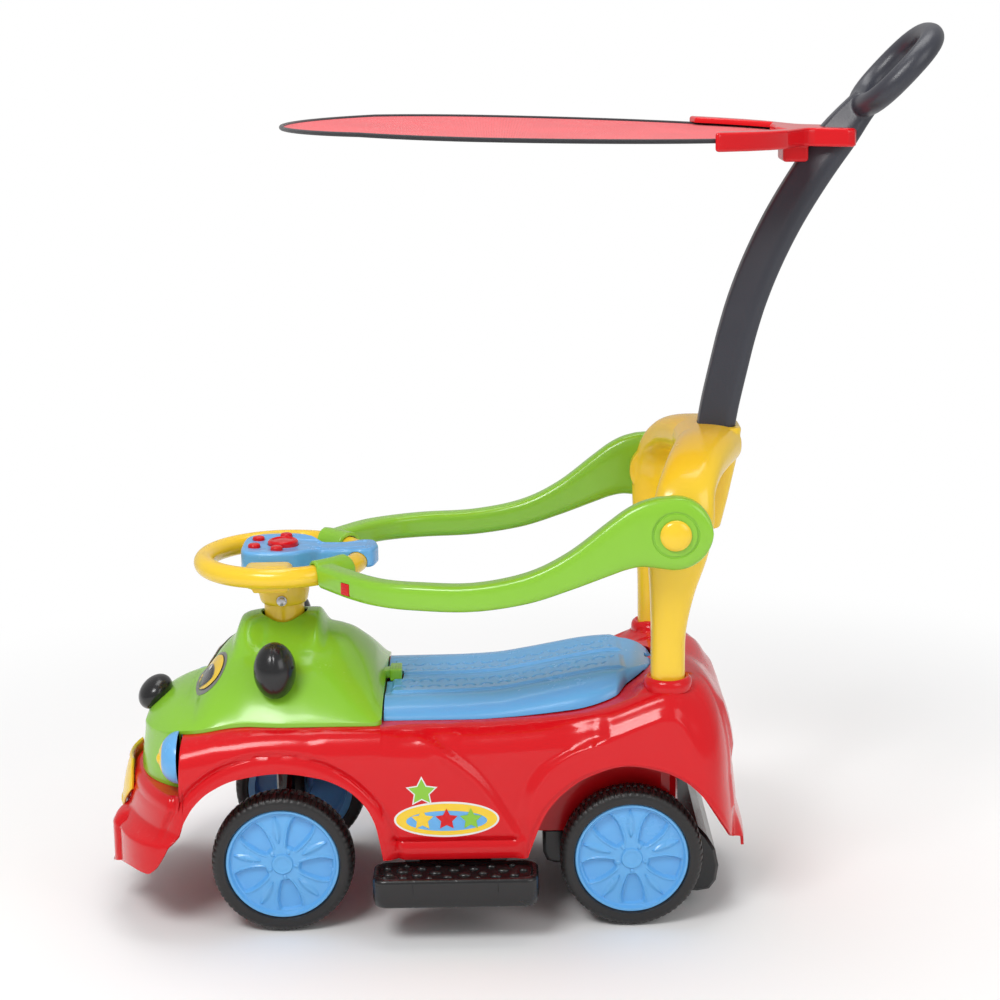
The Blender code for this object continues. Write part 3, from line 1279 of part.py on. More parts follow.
def make_footrest(name, side):
    middle_s = (STEP_FRONT_S + STEP_REAR_S) / 2
    middle_y = side * (STEP_INNER_Y + STEP_OUTER_Y) / 2
    half_s = (STEP_REAR_S - STEP_FRONT_S) / 2
    half_y = (STEP_OUTER_Y - STEP_INNER_Y) / 2

    def outline(inset, radius):
        return [(FRONT_AXLE_X + middle_s + a, middle_y + b)
                for a, b in round_box(half_s - inset, half_y - inset, radius, 3)]

    step = loft("footrest_" + name,
                [[(x, y, STEP_BOTTOM_Z) for x, y in outline(0.0015, 0.012)],
                 [(x, y, STEP_TOP_Z - 0.004) for x, y in outline(0.0, 0.013)],
                 [(x, y, STEP_TOP_Z) for x, y in outline(0.0025, 0.012)]], "black")
    near, far = side * TONGUE_INNER_Y, side * (STEP_INNER_Y + 0.006)
    unite(step, block("tongue", station(TONGUE_FRONT_S, min(near, far), TONGUE_BOTTOM_Z),
                      station(TONGUE_REAR_S, max(near, far), TONGUE_TOP_Z), "black"))
    cut(step, prism("tray", outline(0.0065, 0.008), "Z", STEP_TOP_Z - 0.0025, 0.09, "black"))
    cut(step, prism("hollow", outline(STEP_WALL + 0.0015, 0.009), "Z", 0.03, STEP_TOP_Z - 0.0085, "black"))
    studs = []
    for s, y, radius in STEP_STUDS:
        studs.append(ellipsoid("stud", station(s, side * y, STEP_TOP_Z - 0.0030), (radius, radius * 0.75, 0.0026),
                               "black", segments=6, rings=4))
    unite(step, *studs)
    finish_shading(step)
    carry(pivot("footrest_slide_" + name, middle_s, middle_y, (TONGUE_BOTTOM_Z + TONGUE_TOP_Z) / 2), step)


def make_footrest_guide():
    """The block under the bin that both footrests slide into."""
    guide = block("footrest_guide", station(GUIDE_FRONT_S, -GUIDE_HALF_WIDTH, CARRIER_BOTTOM_Z),
                  station(GUIDE_REAR_S, GUIDE_HALF_WIDTH, BIN_FLOOR_Z - TOUCH_GAP), "black")
    soften(guide, 0.002)
    cut(guide, block("slot", station(TONGUE_FRONT_S - TOUCH_GAP, -0.1, TONGUE_BOTTOM_Z - TOUCH_GAP),
                     station(TONGUE_REAR_S + TOUCH_GAP, 0.1, TONGUE_TOP_Z + TOUCH_GAP), "black"))
    cut(guide, block("hollow", station(GUIDE_FRONT_S + 0.006, -GUIDE_HALF_WIDTH + 0.006, TONGUE_TOP_Z + 0.004),
                     station(GUIDE_REAR_S - 0.006, GUIDE_HALF_WIDTH - 0.006, 0.1), "black"))
    finish_shading(guide)
    return guide


# Backrest frame

def post_section(grow=0.0):
    return oval(POST_LENGTH / 2 + grow, POST_WIDTH / 2 + grow, 2.6, 12)


FRAME_PATH = (
    # s, y, z, half length fore and aft, half thickness across
    (0.3875, 0.1000, 0.2106, 0.0170, 0.0150),
    (0.3875, 0.1000, 0.2700, 0.0170, 0.0150),
    (0.3880, 0.1030, 0.3050, 0.0175, 0.0150),
    (0.3910, 0.1110, 0.3450, 0.0220, 0.0150),
    (0.3955, 0.1230, 0.3850, 0.0290, 0.0150),
    (0.3990, 0.1270, 0.4160, 0.0310, 0.0150),
    (0.4030, 0.1180, 0.4440, 0.0290, 0.0160),
    (0.4130, 0.0920, 0.4620, 0.0290, 0.0180),
    (0.4250, 0.0560, 0.4700, 0.0310, 0.0200),
    (0.4350, 0.0220, 0.4720, 0.0330, 0.0205),
)


def make_backrest_frame():
    half = spline(FRAME_PATH, 1)
    whole = [(*row,) for row in half]
    mirrored = [(s, -y, z, a, b) for s, y, z, a, b in whole]
    rows = mirrored + list(reversed(whole))
    rings = []
    for i, (s, y, z, a, b) in enumerate(rows):
        before, after = rows[max(0, i - 1)], rows[min(len(rows) - 1, i + 1)]
        tangent = Vector((0.0, after[1] - before[1], after[2] - before[2])).normalized()
        across = Vector((1.0, 0.0, 0.0)).cross(tangent)
        ring = []
        for c, d in oval(a, b, 2.6, 12):
            ring.append(station(s, y, z) + Vector((c, 0, 0)) + across * d)
        rings.append(ring)
    frame = loft("backrest_frame", rings, "yellow")
    lean = Vector((SOCKET_LEAN, 0, 1)).normalized()
    mouth = station(SOCKET_S, 0, SOCKET_TOP_Z)
    socket_rings = []
    for drop, half_s, half_y in ((0.0, 0.0245, 0.0265), (0.030, 0.0255, 0.0275), (0.075, 0.0235, 0.0260),
                                 (0.106, 0.0215, 0.0240)):
        centre = mouth - lean * drop
        socket_rings.append([centre + Vector((c, d, 0)) for c, d in round_box(half_s, half_y, 0.010, 2)])
    unite(frame, loft("socket", list(reversed(socket_rings)), "yellow"))
    for name, side in SIDES:
        near, far = side * 0.118, side * (GUARD_BOSS_Y)
        unite(frame, rod("boss", station(GUARD_PIVOT_S, near, GUARD_PIVOT_Z),
                         station(GUARD_PIVOT_S, far, GUARD_PIVOT_Z), 0.026, 16, "yellow", end_radius=0.024))
        cut(frame, rod("pin_bore", station(GUARD_PIVOT_S, side * 0.120, GUARD_PIVOT_Z),
                       station(GUARD_PIVOT_S, side * 0.16, GUARD_PIVOT_Z), PIVOT_PIN_RADIUS + TOUCH_GAP, 20,
                       "yellow"))
    bottom = station(SOCKET_S, 0, SOCKET_TOP_Z) - lean * (SOCKET_TOP_Z - SOCKET_BOTTOM_Z)
    top = mouth + lean * 0.030
    rings = []
    for centre in (bottom, top):
        rings.append([centre + Vector((c, 0, 0)) * 1.0 + Vector((0, d, 0)) for c, d in bar_section(TOUCH_GAP + 0.0002)])
    cut(frame, loft("bar_space", rings, "yellow"))
    finish_shading(frame)
    for name, side in SIDES:
        make_pivot_pin(name, side)


def make_pivot_pin(name, side):
    """The yellow cap and pin that hold a guard arm on the frame."""
    face = GUARD_BOSS_Y + RUNNING_GAP + GUARD_WIDTH + TOUCH_GAP
    pin = turned("guard_pivot_" + name,
                 [(0.0, 0.1215), (PIVOT_PIN_RADIUS, 0.1215), (PIVOT_PIN_RADIUS, face),
                  (PIVOT_CAP_RADIUS, face), (PIVOT_CAP_RADIUS, face + 0.0020), (0.0110, face + 0.0048),
                  (0.0050, face + 0.0060), (0.0, face + 0.0062)],
                 station(GUARD_PIVOT_S, 0, GUARD_PIVOT_Z), (0, side, 0), 16, "yellow")
    finish_shading(pin)


# Guard arms with their clasps and release buttons

GUARD_CONTROL = (
    # s, y of the middle, top, bottom
    (0.0490, 0.0710, 0.3690, 0.3455),
    (0.0800, 0.1110, 0.3690, 0.3445),
    (0.1080, 0.1340, 0.3680, 0.3430),
    (0.1430, 0.1475, 0.3680, 0.3420),
    (0.1960, 0.1555, 0.3685, 0.3420),
    (0.2470, 0.1570, 0.3780, 0.3490),
    (0.2870, 0.1570, 0.3970, 0.3610),
    (0.3260, 0.1570, 0.4280, 0.3750),
    (0.3560, 0.1570, 0.4480, 0.3850),
)


def guard_stations():
    """Stations from the clasp to the round end about the pivot."""
    rows = [tuple(row) for row in spline(GUARD_CONTROL, 1)]
    middle_y = GUARD_BOSS_Y + RUNNING_GAP + GUARD_WIDTH / 2
    rows = [(s, y + (middle_y - 0.1570), top, bottom) for s, y, top, bottom in rows]
    for angle in (-30, 8, 40, 64, 80):
        turn = math.radians(angle)
        rise = GUARD_END_RADIUS * math.cos(turn)
        rows.append((GUARD_PIVOT_S + GUARD_END_RADIUS * math.sin(turn), middle_y,
                     GUARD_PIVOT_Z + rise, GUARD_PIVOT_Z - rise))
    return rows


def make_guard_arm(name, side):
    rows = guard_stations()
    rings = []
    for i, (s, y, top, bottom) in enumerate(rows):
        before, after = rows[max(0, i - 1)], rows[min(len(rows) - 1, i + 1)]
        run = Vector((after[0] - before[0], after[1] - before[1], 0)).normalized()
        across = Vector((-run.y, run.x, 0))
        middle, half = (top + bottom) / 2, (top - bottom) / 2
        ring = []
        for c, d in oval(GUARD_WIDTH / 2, 1.0, 3.4, 10):
            spot = Vector((s, y, 0)) + across * c
            ring.append(station(spot.x, side * spot.y, middle + d * half))
        rings.append(ring)
    arm = loft("guard_arm_" + name, rings, "green")
    start, end = (CLASP_FROM_DEG, CLASP_TO_DEG)
    if side < 0:
        start, end = -end, -start
    unite(arm, ring_tube("sleeve", WHEEL_RING_RADIUS, CLASP_OUTER_RADIUS, WHEEL_RING_Z, "green", 4, 10, start, end))
    cut(arm, clasp_space(start - 14, end + 14))
    cut(arm, rod("pin_bore", station(GUARD_PIVOT_S, side * 0.13, GUARD_PIVOT_Z),
                 station(GUARD_PIVOT_S, side * 0.18, GUARD_PIVOT_Z), PIVOT_PIN_RADIUS + TOUCH_GAP, 20, "green"))
    centre, inward = release_button_place(side)
    back = centre + inward * 0.0085
    cut(arm, oriented_block("well", centre - inward * 0.01, back, inward, RELEASE_BUTTON_SIZE / 2 + 0.0004, "green"))
    finish_shading(arm)
    button = oriented_block("release_button_" + name, centre - inward * 0.0010,
                            back - inward * (RELEASE_BUTTON_TRAVEL + 0.0008), inward, RELEASE_BUTTON_SIZE / 2, "red")
    soften(button, 0.0008)
    finish_shading(button)
    hinge = pivot("guard_hinge_" + name, GUARD_PIVOT_S, side * 0.157, GUARD_PIVOT_Z)
    carry(hinge, arm)
    press = bpy.data.objects.new("release_slide_" + name, None)
    press.location = centre
    bpy.context.collection.objects.link(press)
    bpy.context.view_layer.update()
    carry(press, button)
    press.parent = hinge
    press.matrix_parent_inverse = hinge.matrix_world.inverted()


def release_button_place(side):
    """Centre of the button's face on the arm's outer side, and the way it is pressed."""
    rows = guard_stations()
    s0, y0 = rows[1][0], rows[1][1]
    run = Vector((rows[2][0] - rows[0][0], rows[2][1] - rows[0][1], 0)).normalized()
    inward = Vector((run.y, -run.x, 0))
    spot = Vector((s0, y0, 0)) - inward * (GUARD_WIDTH / 2)
    return station(spot.x, side * spot.y, RELEASE_BUTTON_Z), Vector((inward.x, side * inward.y, 0))


def oriented_block(name, start, end, direction, half, colour):
    across = Vector((-direction.y, direction.x, 0)).normalized()
    up = Vector((0, 0, 1))
    rings = []
    for centre in (start, end):
        rings.append([centre + across * a * half + up * b * half
                      for a, b in ((-1, -1), (1, -1), (1, 1), (-1, 1))])
    return loft(name, rings, colour)


def clasp_space(start, end):
    """The steering ring with the way by which it leaves a clasp as its arm swings up."""
    steps, sides = 6, 6
    tube = WHEEL_TUBE_RADIUS + CLASP_GAP
    drop = 0.030
    lever_s = GUARD_PIVOT_S - 0.055
    lever_z = GUARD_PIVOT_Z - WHEEL_RING_Z
    drift = drop * lever_z / lever_s
    rings = []
    for i in range(steps + 1):
        angle = math.radians(mix(start, end, i / steps))
        outward = Vector((math.cos(angle), math.sin(angle), 0))
        ring = []
        for j in range(sides + 1):
            turn = math.pi * j / sides
            ring.append(station(0, 0, WHEEL_RING_Z) + outward * (WHEEL_RING_RADIUS + tube * math.cos(turn))
                        + Vector((0, 0, tube * math.sin(turn))))
        for edge in (-1, 1):
            ring.append(station(drift, 0, WHEEL_RING_Z - drop)
                        + outward * (WHEEL_RING_RADIUS + (tube + 0.0008) * edge))
        rings.append(ring)
    return loft("clasp_space", rings, "green")


# Push bar with its grip loop

BAR_CENTRE = ((0.4435, 0.490), (0.4480, 0.515), (0.4560, 0.550), (0.4640, 0.583), (0.4745, 0.618),
              (0.4890, 0.655), (0.5080, 0.694), (0.5300, 0.731), (0.5530, 0.765), (0.5730, 0.791),
              (0.5900, 0.811))


def bar_section(grow=0.0):
    """Outline across the bar, narrower in front than behind, as (fore and aft, across)."""
    front, rear = -BAR_DEPTH / 2 - grow, BAR_DEPTH / 2 + grow
    narrow, wide = 0.0105 + grow, BAR_WIDTH / 2 + grow
    half = ((front, narrow - 0.003), (front + 0.0025, narrow), (0.002, wide - 0.0015),
            (0.008, wide), (rear - 0.005, wide - 0.0015), (rear, wide - 0.0070))
    return [(a, -b) for a, b in half] + [(a, b) for a, b in reversed(half)]


def bar_frames():
    """Centre, forward direction and relative size along the bar, from its foot up."""
    lean = Vector((SOCKET_LEAN, 0, 1)).normalized()
    mouth = Vector((SOCKET_S, 0, SOCKET_TOP_Z))
    depth = SOCKET_TOP_Z - SOCKET_BOTTOM_Z - TOUCH_GAP
    path = [mouth - lean * depth] + [Vector((s, 0, z)) for s, z in BAR_CENTRE]
    frames = []
    for i, p in enumerate(path):
        before, after = path[max(0, i - 1)], path[min(len(path) - 1, i + 1)]
        tangent = (after - before).normalized()
        forward = Vector((1, 0, 0)) if i < 2 else Vector((tangent.z, 0, -tangent.x))
        frames.append((p, forward, 1.0 - 0.28 * smooth(0.77, 0.82, p.z)))
    return frames


def make_push_bar():
    rings = []
    for p, forward, size in bar_frames():
        rings.append([station(p.x, 0, p.z) + forward * a * size + Vector((0, b * size, 0))
                      for a, b in bar_section()])
    bar = loft("push_bar", rings, "slate")
    start, end = Vector((GRIP_START[0], 0, GRIP_START[1])), Vector((GRIP_END[0], 0, GRIP_END[1]))
    along = (end - start).normalized()
    normal = Vector((-along.z, 0, along.x))
    length = (end - start).length
    loop_rings = []
    steps, sides = 26, 8
    for i in range(steps):
        angle = 2 * math.pi * i / steps
        c, s = math.cos(angle), math.sin(angle)
        spot = lambda t: (start + end) / 2 + along * (length / 2 * math.copysign(abs(math.cos(t)) ** 0.80, math.cos(t))) \
            + Vector((0, GRIP_HALF_WIDTH * math.copysign(abs(math.sin(t)) ** 0.80, math.sin(t)), 0))
        centre = spot(angle)
        tangent = (spot(angle + 0.02) - spot(angle - 0.02)).normalized()
        outward = tangent.cross(normal)
        ring = []
        for j in range(sides):
            turn = 2 * math.pi * (j + 0.5) / sides
            ring.append(station(0, 0, 0) + centre + outward * (GRIP_TUBE_RADIUS * math.cos(turn))
                        + normal * (GRIP_TUBE_RADIUS * math.sin(turn)))
        loop_rings.append(ring)
    unite(bar, loft("grip", loop_rings, "slate", closed_path=True))
    finish_shading(bar)
    return bar


# Canopy: a fabric oval on a wire rim, held in a fork on the bar

def canopy_z(s):
    return CANOPY_FRONT_Z + CANOPY_SLOPE * max(0.0, s - 0.100)


def canopy_outline(inset=0.0, count=40):
    points = []
    for i in range(count):
        angle = 2 * math.pi * (i + 0.5) / count
        c, d = math.cos(angle), math.sin(angle)
        reach = CANOPY_REAR_S - CANOPY_WIDEST_S if c > 0 else CANOPY_WIDEST_S - CANOPY_FRONT_S
        points.append((CANOPY_WIDEST_S + (reach - inset) * c, (CANOPY_HALF_WIDTH - inset) * d))
    return points


def make_canopy():
    clear = CANOPY_RIM_RADIUS + TOUCH_GAP
    rings = []
    for lift in (-CANOPY_THICKNESS / 2, CANOPY_THICKNESS / 2):
        rings.append([station(s, y, canopy_z(s) + lift) for s, y in canopy_outline(clear)])
    fabric = loft("canopy_fabric", rings, "mesh")
    finish_shading(fabric)
    rings = []
    points = canopy_outline()
    for i, (s, y) in enumerate(points):
        before, after = points[i - 1], points[(i + 1) % len(points)]
        run = Vector((after[0] - before[0], after[1] - before[1], 0)).normalized()
        outward = Vector((run.y, -run.x, 0))
        ring = []
        for j in range(4):
            turn = 2 * math.pi * (j + 0.5) / 4
            ring.append(station(s, y, canopy_z(s)) + outward * (CANOPY_RIM_RADIUS * math.cos(turn))
                        + Vector((0, 0, CANOPY_RIM_RADIUS * math.sin(turn))))
        rings.append(ring)
    rim = loft("canopy_rim", rings, "black", closed_path=True)
    finish_shading(rim)


def canopy_half_width(s):
    reach = CANOPY_REAR_S - CANOPY_WIDEST_S
    return CANOPY_HALF_WIDTH * math.sqrt(max(0.0, 1 - ((s - CANOPY_WIDEST_S) / reach) ** 2))


def make_canopy_fork():
    """The red fork that grips the canopy's rear edge and the push bar."""
    stations = (FORK_TIP_S, FORK_TIP_S + 0.008, 0.452, 0.472, 0.490, 0.503)
    outer = [(s, canopy_half_width(s) + 0.006) for s in stations]
    inner = [(s + 0.004, max(0.0, canopy_half_width(s) - FORK_BAND + 0.004)) for s in stations]
    outer[0] = (FORK_TIP_S, canopy_half_width(FORK_TIP_S) + 0.004)
    half = [(JAW_REAR_S, JAW_HALF_WIDTH), (0.535, JAW_HALF_WIDTH), (0.520, 0.046)]
    half += list(reversed(outer)) + inner[:-1] + [(0.498, 0.022), (0.500, 0.0)]
    outline = [(FRONT_AXLE_X + s, -y) for s, y in half] + [(FRONT_AXLE_X + s, y) for s, y in reversed(half[:-1])]
    slope = lambda x: canopy_z(x - FRONT_AXLE_X) - FORK_CENTRE_DROP
    rings = []
    for lift in (-FORK_THICKNESS / 2, FORK_THICKNESS / 2):
        rings.append([(x, y, slope(x) + lift) for x, y in outline])
    fork = loft("canopy_fork", rings, "red")
    soften(fork, 0.003, 1, 30)
    lower = block("lower", station(0.506, -0.022, 0.753), station(0.531, 0.022, 0.770), "red")
    soften(lower, 0.002, 1)
    unite(fork, lower)
    cut(fork, bar_passage())
    grow = CANOPY_RIM_RADIUS + TOUCH_GAP
    rings = []
    for lift in (-grow, grow):
        rings.append([station(s, y, canopy_z(s) + lift) for s, y in canopy_outline(-grow, 40)])
    cut(fork, loft("canopy_space", rings, "red"))
    finish_shading(fork)
    return fork


def bar_passage():
    """The bar's own shape where it passes the jaw, grown by a gap and open to the rear."""
    rings = []
    for p, forward, size in bar_frames():
        if not 0.68 < p.z < 0.82:
            continue
        ring = []
        for a, b in bar_section(RUNNING_GAP):
            if a > 0.001:
                b = math.copysign(BAR_WIDTH / 2 + RUNNING_GAP, b)
            if a > 0.005:
                a += 0.030
            ring.append(station(p.x, 0, p.z) + forward * a * size + Vector((0, b * size, 0)))
        rings.append(ring)
    return loft("passage", rings, "red")


def build():
    clear_scene()
    make_body_shell()
    make_hood()
    make_face()
    make_number_plate()
    make_inner_tub()
    make_seat()
    steering = make_steering()
    for name, side in SIDES:
        make_wheel("front", name, side, 0.0, steering)
        make_wheel("rear", name, side, REAR_AXLE_S, None)
        make_guard_arm(name, side)
        make_footrest(name, side)
    make_rear_carrier()
    make_footrest_guide()
    make_backrest_frame()
    bar = make_push_bar()
    make_canopy()
    fork = make_canopy_fork()
    slide = pivot("push_bar_slide", SOCKET_S, 0, SOCKET_TOP_Z)
    carry(slide, bar, fork, bpy.data.objects["canopy_fabric"], bpy.data.objects["canopy_rim"])


build()
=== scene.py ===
"""Looks of a child's ride-on push car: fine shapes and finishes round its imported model."""

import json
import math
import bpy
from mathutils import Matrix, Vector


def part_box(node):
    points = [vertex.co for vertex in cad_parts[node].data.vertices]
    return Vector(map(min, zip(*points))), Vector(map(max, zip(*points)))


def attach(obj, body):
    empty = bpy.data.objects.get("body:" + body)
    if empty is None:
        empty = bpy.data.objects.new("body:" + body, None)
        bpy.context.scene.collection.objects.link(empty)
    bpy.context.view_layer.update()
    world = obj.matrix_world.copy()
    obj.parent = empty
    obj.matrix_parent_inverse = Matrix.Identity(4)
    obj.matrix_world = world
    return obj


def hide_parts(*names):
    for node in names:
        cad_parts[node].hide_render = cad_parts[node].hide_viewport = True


bl_info = {
    "name": "Ride-on Push Car",
    "version": (1, 0, 0),
    "blender": (4, 5, 0),
    "location": "3D View > Sidebar > Push Car",
    "description": "Builds the shells, wheels, canopy and finishes of a ride-on push car",
    "category": "Object",
}

import bmesh
import bpy
from bpy.props import FloatProperty, FloatVectorProperty, IntProperty, PointerProperty
from mathutils import Matrix, Vector

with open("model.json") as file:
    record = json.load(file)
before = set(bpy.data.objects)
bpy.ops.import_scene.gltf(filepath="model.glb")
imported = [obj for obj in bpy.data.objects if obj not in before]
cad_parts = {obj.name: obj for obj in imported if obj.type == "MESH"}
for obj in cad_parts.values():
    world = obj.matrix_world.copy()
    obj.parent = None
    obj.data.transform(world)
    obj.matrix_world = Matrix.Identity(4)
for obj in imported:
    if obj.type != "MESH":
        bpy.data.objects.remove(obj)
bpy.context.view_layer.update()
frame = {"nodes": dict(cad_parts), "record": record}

SIDES = (("left", -1), ("right", 1))


def node_centre(node):
    low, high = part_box(node)
    return (low + high) / 2


AXLE_X = node_centre("front_axle").x
AXLE_Z = node_centre("front_axle").z
WHEELBASE = node_centre("rear_axle").x - AXLE_X
TYRE_RADIUS = (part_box("tyre_front_left")[1].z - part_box("tyre_front_left")[0].z) / 2
WHEEL_OUTER_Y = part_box("tyre_front_right")[1].y
WHEEL_INNER_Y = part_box("tyre_front_right")[0].y


# Sizes and colours that a user may change

def length(label, text, default):
    return FloatProperty(name=label, description=text, default=default, unit="LENGTH")


def count(label, text, default):
    return IntProperty(name=label, description=text, default=default, min=3)


def colour(label, text, default):
    return FloatVectorProperty(name=label, description=text, default=default, subtype="COLOR",
                               size=3, min=0.0, max=1.0)


class CarColours(bpy.types.PropertyGroup):
    red: colour("Red", "Body shell, fork and buttons", (0.66, 0.006, 0.011))
    green: colour("Green", "Hood, guard arms and latch", (0.25, 0.56, 0.03))
    blue: colour("Blue", "Seat, wheel discs and music box", (0.13, 0.42, 0.80))
    yellow: colour("Yellow", "Steering wheel and backrest frame", (0.90, 0.60, 0.025))
    black: colour("Black", "Ears, nose, footrests and carriers", (0.010, 0.010, 0.011))
    slate: colour("Slate", "Push bar", (0.036, 0.038, 0.050))
    tyre: colour("Tyre", "Tyres", (0.014, 0.013, 0.013))
    steel: colour("Steel", "Axles, pins and bolt", (0.60, 0.60, 0.62))
    canopy: colour("Canopy", "Canopy cloth", (0.78, 0.045, 0.060))
    binding: colour("Binding", "Binding round the canopy", (0.022, 0.022, 0.026))


class WheelSizes(bpy.types.PropertyGroup):
    blocks: count("Tread blocks", "Blocks round one row of the tread", 64)
    groove: length("Tread groove", "Depth of the grooves between the blocks", 0.0016)
    rim_radius: length("Rim radius", "Radius of the disc inside the tyre", 0.0570)
    window_depth: length("Window depth", "Depth of the recesses between the spokes", 0.0042)


class BodySizes(bpy.types.PropertyGroup):
    wall: length("Wall", "Thickness of the body shell", 0.003)
    half_width: length("Half width", "Half width over the fenders", 0.140)
    door_recess: length("Door recess", "How far the doors stand in from the fenders", 0.006)
    arch_radius: length("Arch radius", "Radius of the wheel arches", 0.102)


class CanopySizes(bpy.types.PropertyGroup):
    sag: length("Sag", "How far the cloth hangs below its rim in the middle", 0.003)
    rim_radius: length("Rim radius", "Radius of the bound wire round the cloth", 0.0022)


class StageSizes(bpy.types.PropertyGroup):
    distance: length("Camera distance", "From the car's middle plane to the camera", 2.2)
    height: length("Camera height", "Height of the camera above the floor", 0.92362)


# Curves and outlines

def smooth(low, high, value):
    """Rises from 0 at low to 1 at high with level ends."""
    t = min(1.0, max(0.0, (value - low) / (high - low)))
    return t * t * (3.0 - 2.0 * t)


def mix(a, b, t):
    return a + (b - a) * t


def bump(low, high, edge, value):
    """1 between low and high, falling to 0 over the given edge on both sides."""
    return smooth(low - edge, low, value) * (1 - smooth(high, high + edge, value))


def through(points, x):
    """Smooth curve through (x, value) points, with no overshoot between them."""
    if x <= points[0][0]:
        return points[0][1]
    if x >= points[-1][0]:
        return points[-1][1]
    slopes = [(y1 - y0) / (x1 - x0) for (x0, y0), (x1, y1) in zip(points, points[1:])]
    tangents = [slopes[0]]
    for before, after in zip(slopes, slopes[1:]):
        level = before * after <= 0.0
        tangents.append(0.0 if level else 2.0 * before * after / (before + after))
    tangents.append(slopes[-1])
    for i, ((x0, y0), (x1, y1)) in enumerate(zip(points, points[1:])):
        if x <= x1:
            h = x1 - x0
            t = (x - x0) / h
            near = (1 + 2 * t) * (1 - t) ** 2 * y0 + t * (1 - t) ** 2 * h * tangents[i]
            far = t * t * (3 - 2 * t) * y1 + t * t * (t - 1) * h * tangents[i + 1]
            return near + far
    return points[-1][1]


def spline(points, steps):
    """Catmull-Rom points through a list of tuples, with this many steps in each span."""
    ends = [points[0]] + list(points) + [points[-1]]
    result = []
    for i in range(1, len(ends) - 2):
        p0, p1, p2, p3 = (Vector(ends[i + k]) for k in (-1, 0, 1, 2))
        for step in range(steps):
            t = step / steps
            result.append(0.5 * ((2 * p1) + (p2 - p0) * t + (2 * p0 - 5 * p1 + 4 * p2 - p3) * t ** 2
                                 + (3 * p1 - p0 - 3 * p2 + p3) * t ** 3))
    result.append(Vector(points[-1]))
    return result


def spread(low, high, number):
    """Evenly spaced values from low to high, both included."""
    return [mix(low, high, i / (number - 1)) for i in range(number)]


def oval(a, b, power, number):
    """Outline points of a superellipse with half sizes a and b."""
    points = []
    for i in range(number):
        angle = 2 * math.pi * (i + 0.5) / number
        c, s = math.cos(angle), math.sin(angle)
        points.append((math.copysign(abs(c) ** (2 / power), c) * a,
                       math.copysign(abs(s) ** (2 / power), s) * b))
    return points


def round_box(half_x, half_y, radius, steps=4):
    """Outline of a rectangle with round corners, anticlockwise."""
    points = []
    for sx, sy, start in ((1, 1, 0), (-1, 1, 90), (-1, -1, 180), (1, -1, 270)):
        for step in range(steps + 1):
            angle = math.radians(start + 90 * step / steps)
            points.append((sx * (half_x - radius) + radius * math.cos(angle),
                           sy * (half_y - radius) + radius * math.sin(angle)))
    return points


def spot(s, y, z):
    """A point in the car's frame, with s counted backwards from the front axle."""
    return Vector((AXLE_X + s, y, z))


# Meshes and pieces

def shape(name, verts, faces):
    """A mesh object with its faces turned outwards."""
    mesh = bpy.data.meshes.new(name)
    mesh.from_pydata([tuple(v) for v in verts], [], faces)
    mesh.update()
    work = bmesh.new()
    work.from_mesh(mesh)
    bmesh.ops.recalc_face_normals(work, faces=work.faces)
    work.to_mesh(mesh)
    work.free()
    made = bpy.data.objects.new(name, mesh)
    bpy.context.scene.collection.objects.link(made)
    return made


def loft(name, rings, loop=False):
    """Skins rings of equal point counts, and closes the two ends."""
    size = len(rings[0])
    faces = []
    for i in range(len(rings) if loop else len(rings) - 1):
        a, b = i * size, ((i + 1) % len(rings)) * size
        faces += [(a + j, a + (j + 1) % size, b + (j + 1) % size, b + j) for j in range(size)]
    if not loop:
        faces.append(tuple(reversed(range(size))))
        faces.append(tuple(range((len(rings) - 1) * size, len(rings) * size)))
    return shape(name, [p for ring in rings for p in ring], faces)


def skin(name, columns, loop=False, keep=None):
    """An open surface through columns of equal point counts."""
    size = len(columns[0])
    faces = []
    for i in range(len(columns) if loop else len(columns) - 1):
        a, b = i * size, ((i + 1) % len(columns)) * size
        for j in range(size - 1):
            face = (a + j, b + j, b + j + 1, a + j + 1)
            if keep is None or keep(i, j):
                faces.append(face)
    return shape(name, [p for column in columns for p in column], faces)


def turned(name, profile, centre, direction, segments):
    """Turns a closed profile of (radius, along) points about an axis."""
    direction = Vector(direction).normalized()
    side = direction.orthogonal().normalized()
    up = direction.cross(side)
    rings = []
    for i in range(segments):
        angle = 2 * math.pi * i / segments
        out = side * math.cos(angle) + up * math.sin(angle)
        rings.append([Vector(centre) + direction * along + out * radius for radius, along in profile])
    return loft(name, rings, loop=True)


def tube(name, path, radius, sides=16, loop=False):
    """A round bar along a path of points."""
    rings = []
    for i, point in enumerate(path):
        before = path[i - 1] if loop or i else point
        after = path[(i + 1) % len(path)] if loop or i + 1 < len(path) else point
        along = (after - before).normalized()
        across = along.cross(Vector((0, 0, 1)))
        across = across.normalized() if across.length > 1e-4 else Vector((1, 0, 0))
        up = across.cross(along)
        rings.append([point + (across * math.cos(2 * math.pi * j / sides)
                               + up * math.sin(2 * math.pi * j / sides)) * radius for j in range(sides)])
    return loft(name, rings, loop)


def prism(name, outline, axis, low, high):
    """Extrudes an outline given in the two other axes, in X, Y, Z order."""
    rings = []
    for level in (low, high):
        rings.append([{"X": (level, a, b), "Y": (a, level, b), "Z": (a, b, level)}[axis] for a, b in outline])
    return loft(name, rings)


def rod(name, start, end, radius, sides=32):
    """A round bar between two points."""
    along = end - start
    profile = [(0.0, 0.0), (radius, 0.0), (radius, along.length), (0.0, along.length)]
    return turned(name, profile, start, along, sides)


def box_block(name, low, high):
    """A block between two corners."""
    outline = [(low.x, low.y), (high.x, low.y), (high.x, high.y), (low.x, high.y)]
    return prism(name, outline, "Z", low.z, high.z)


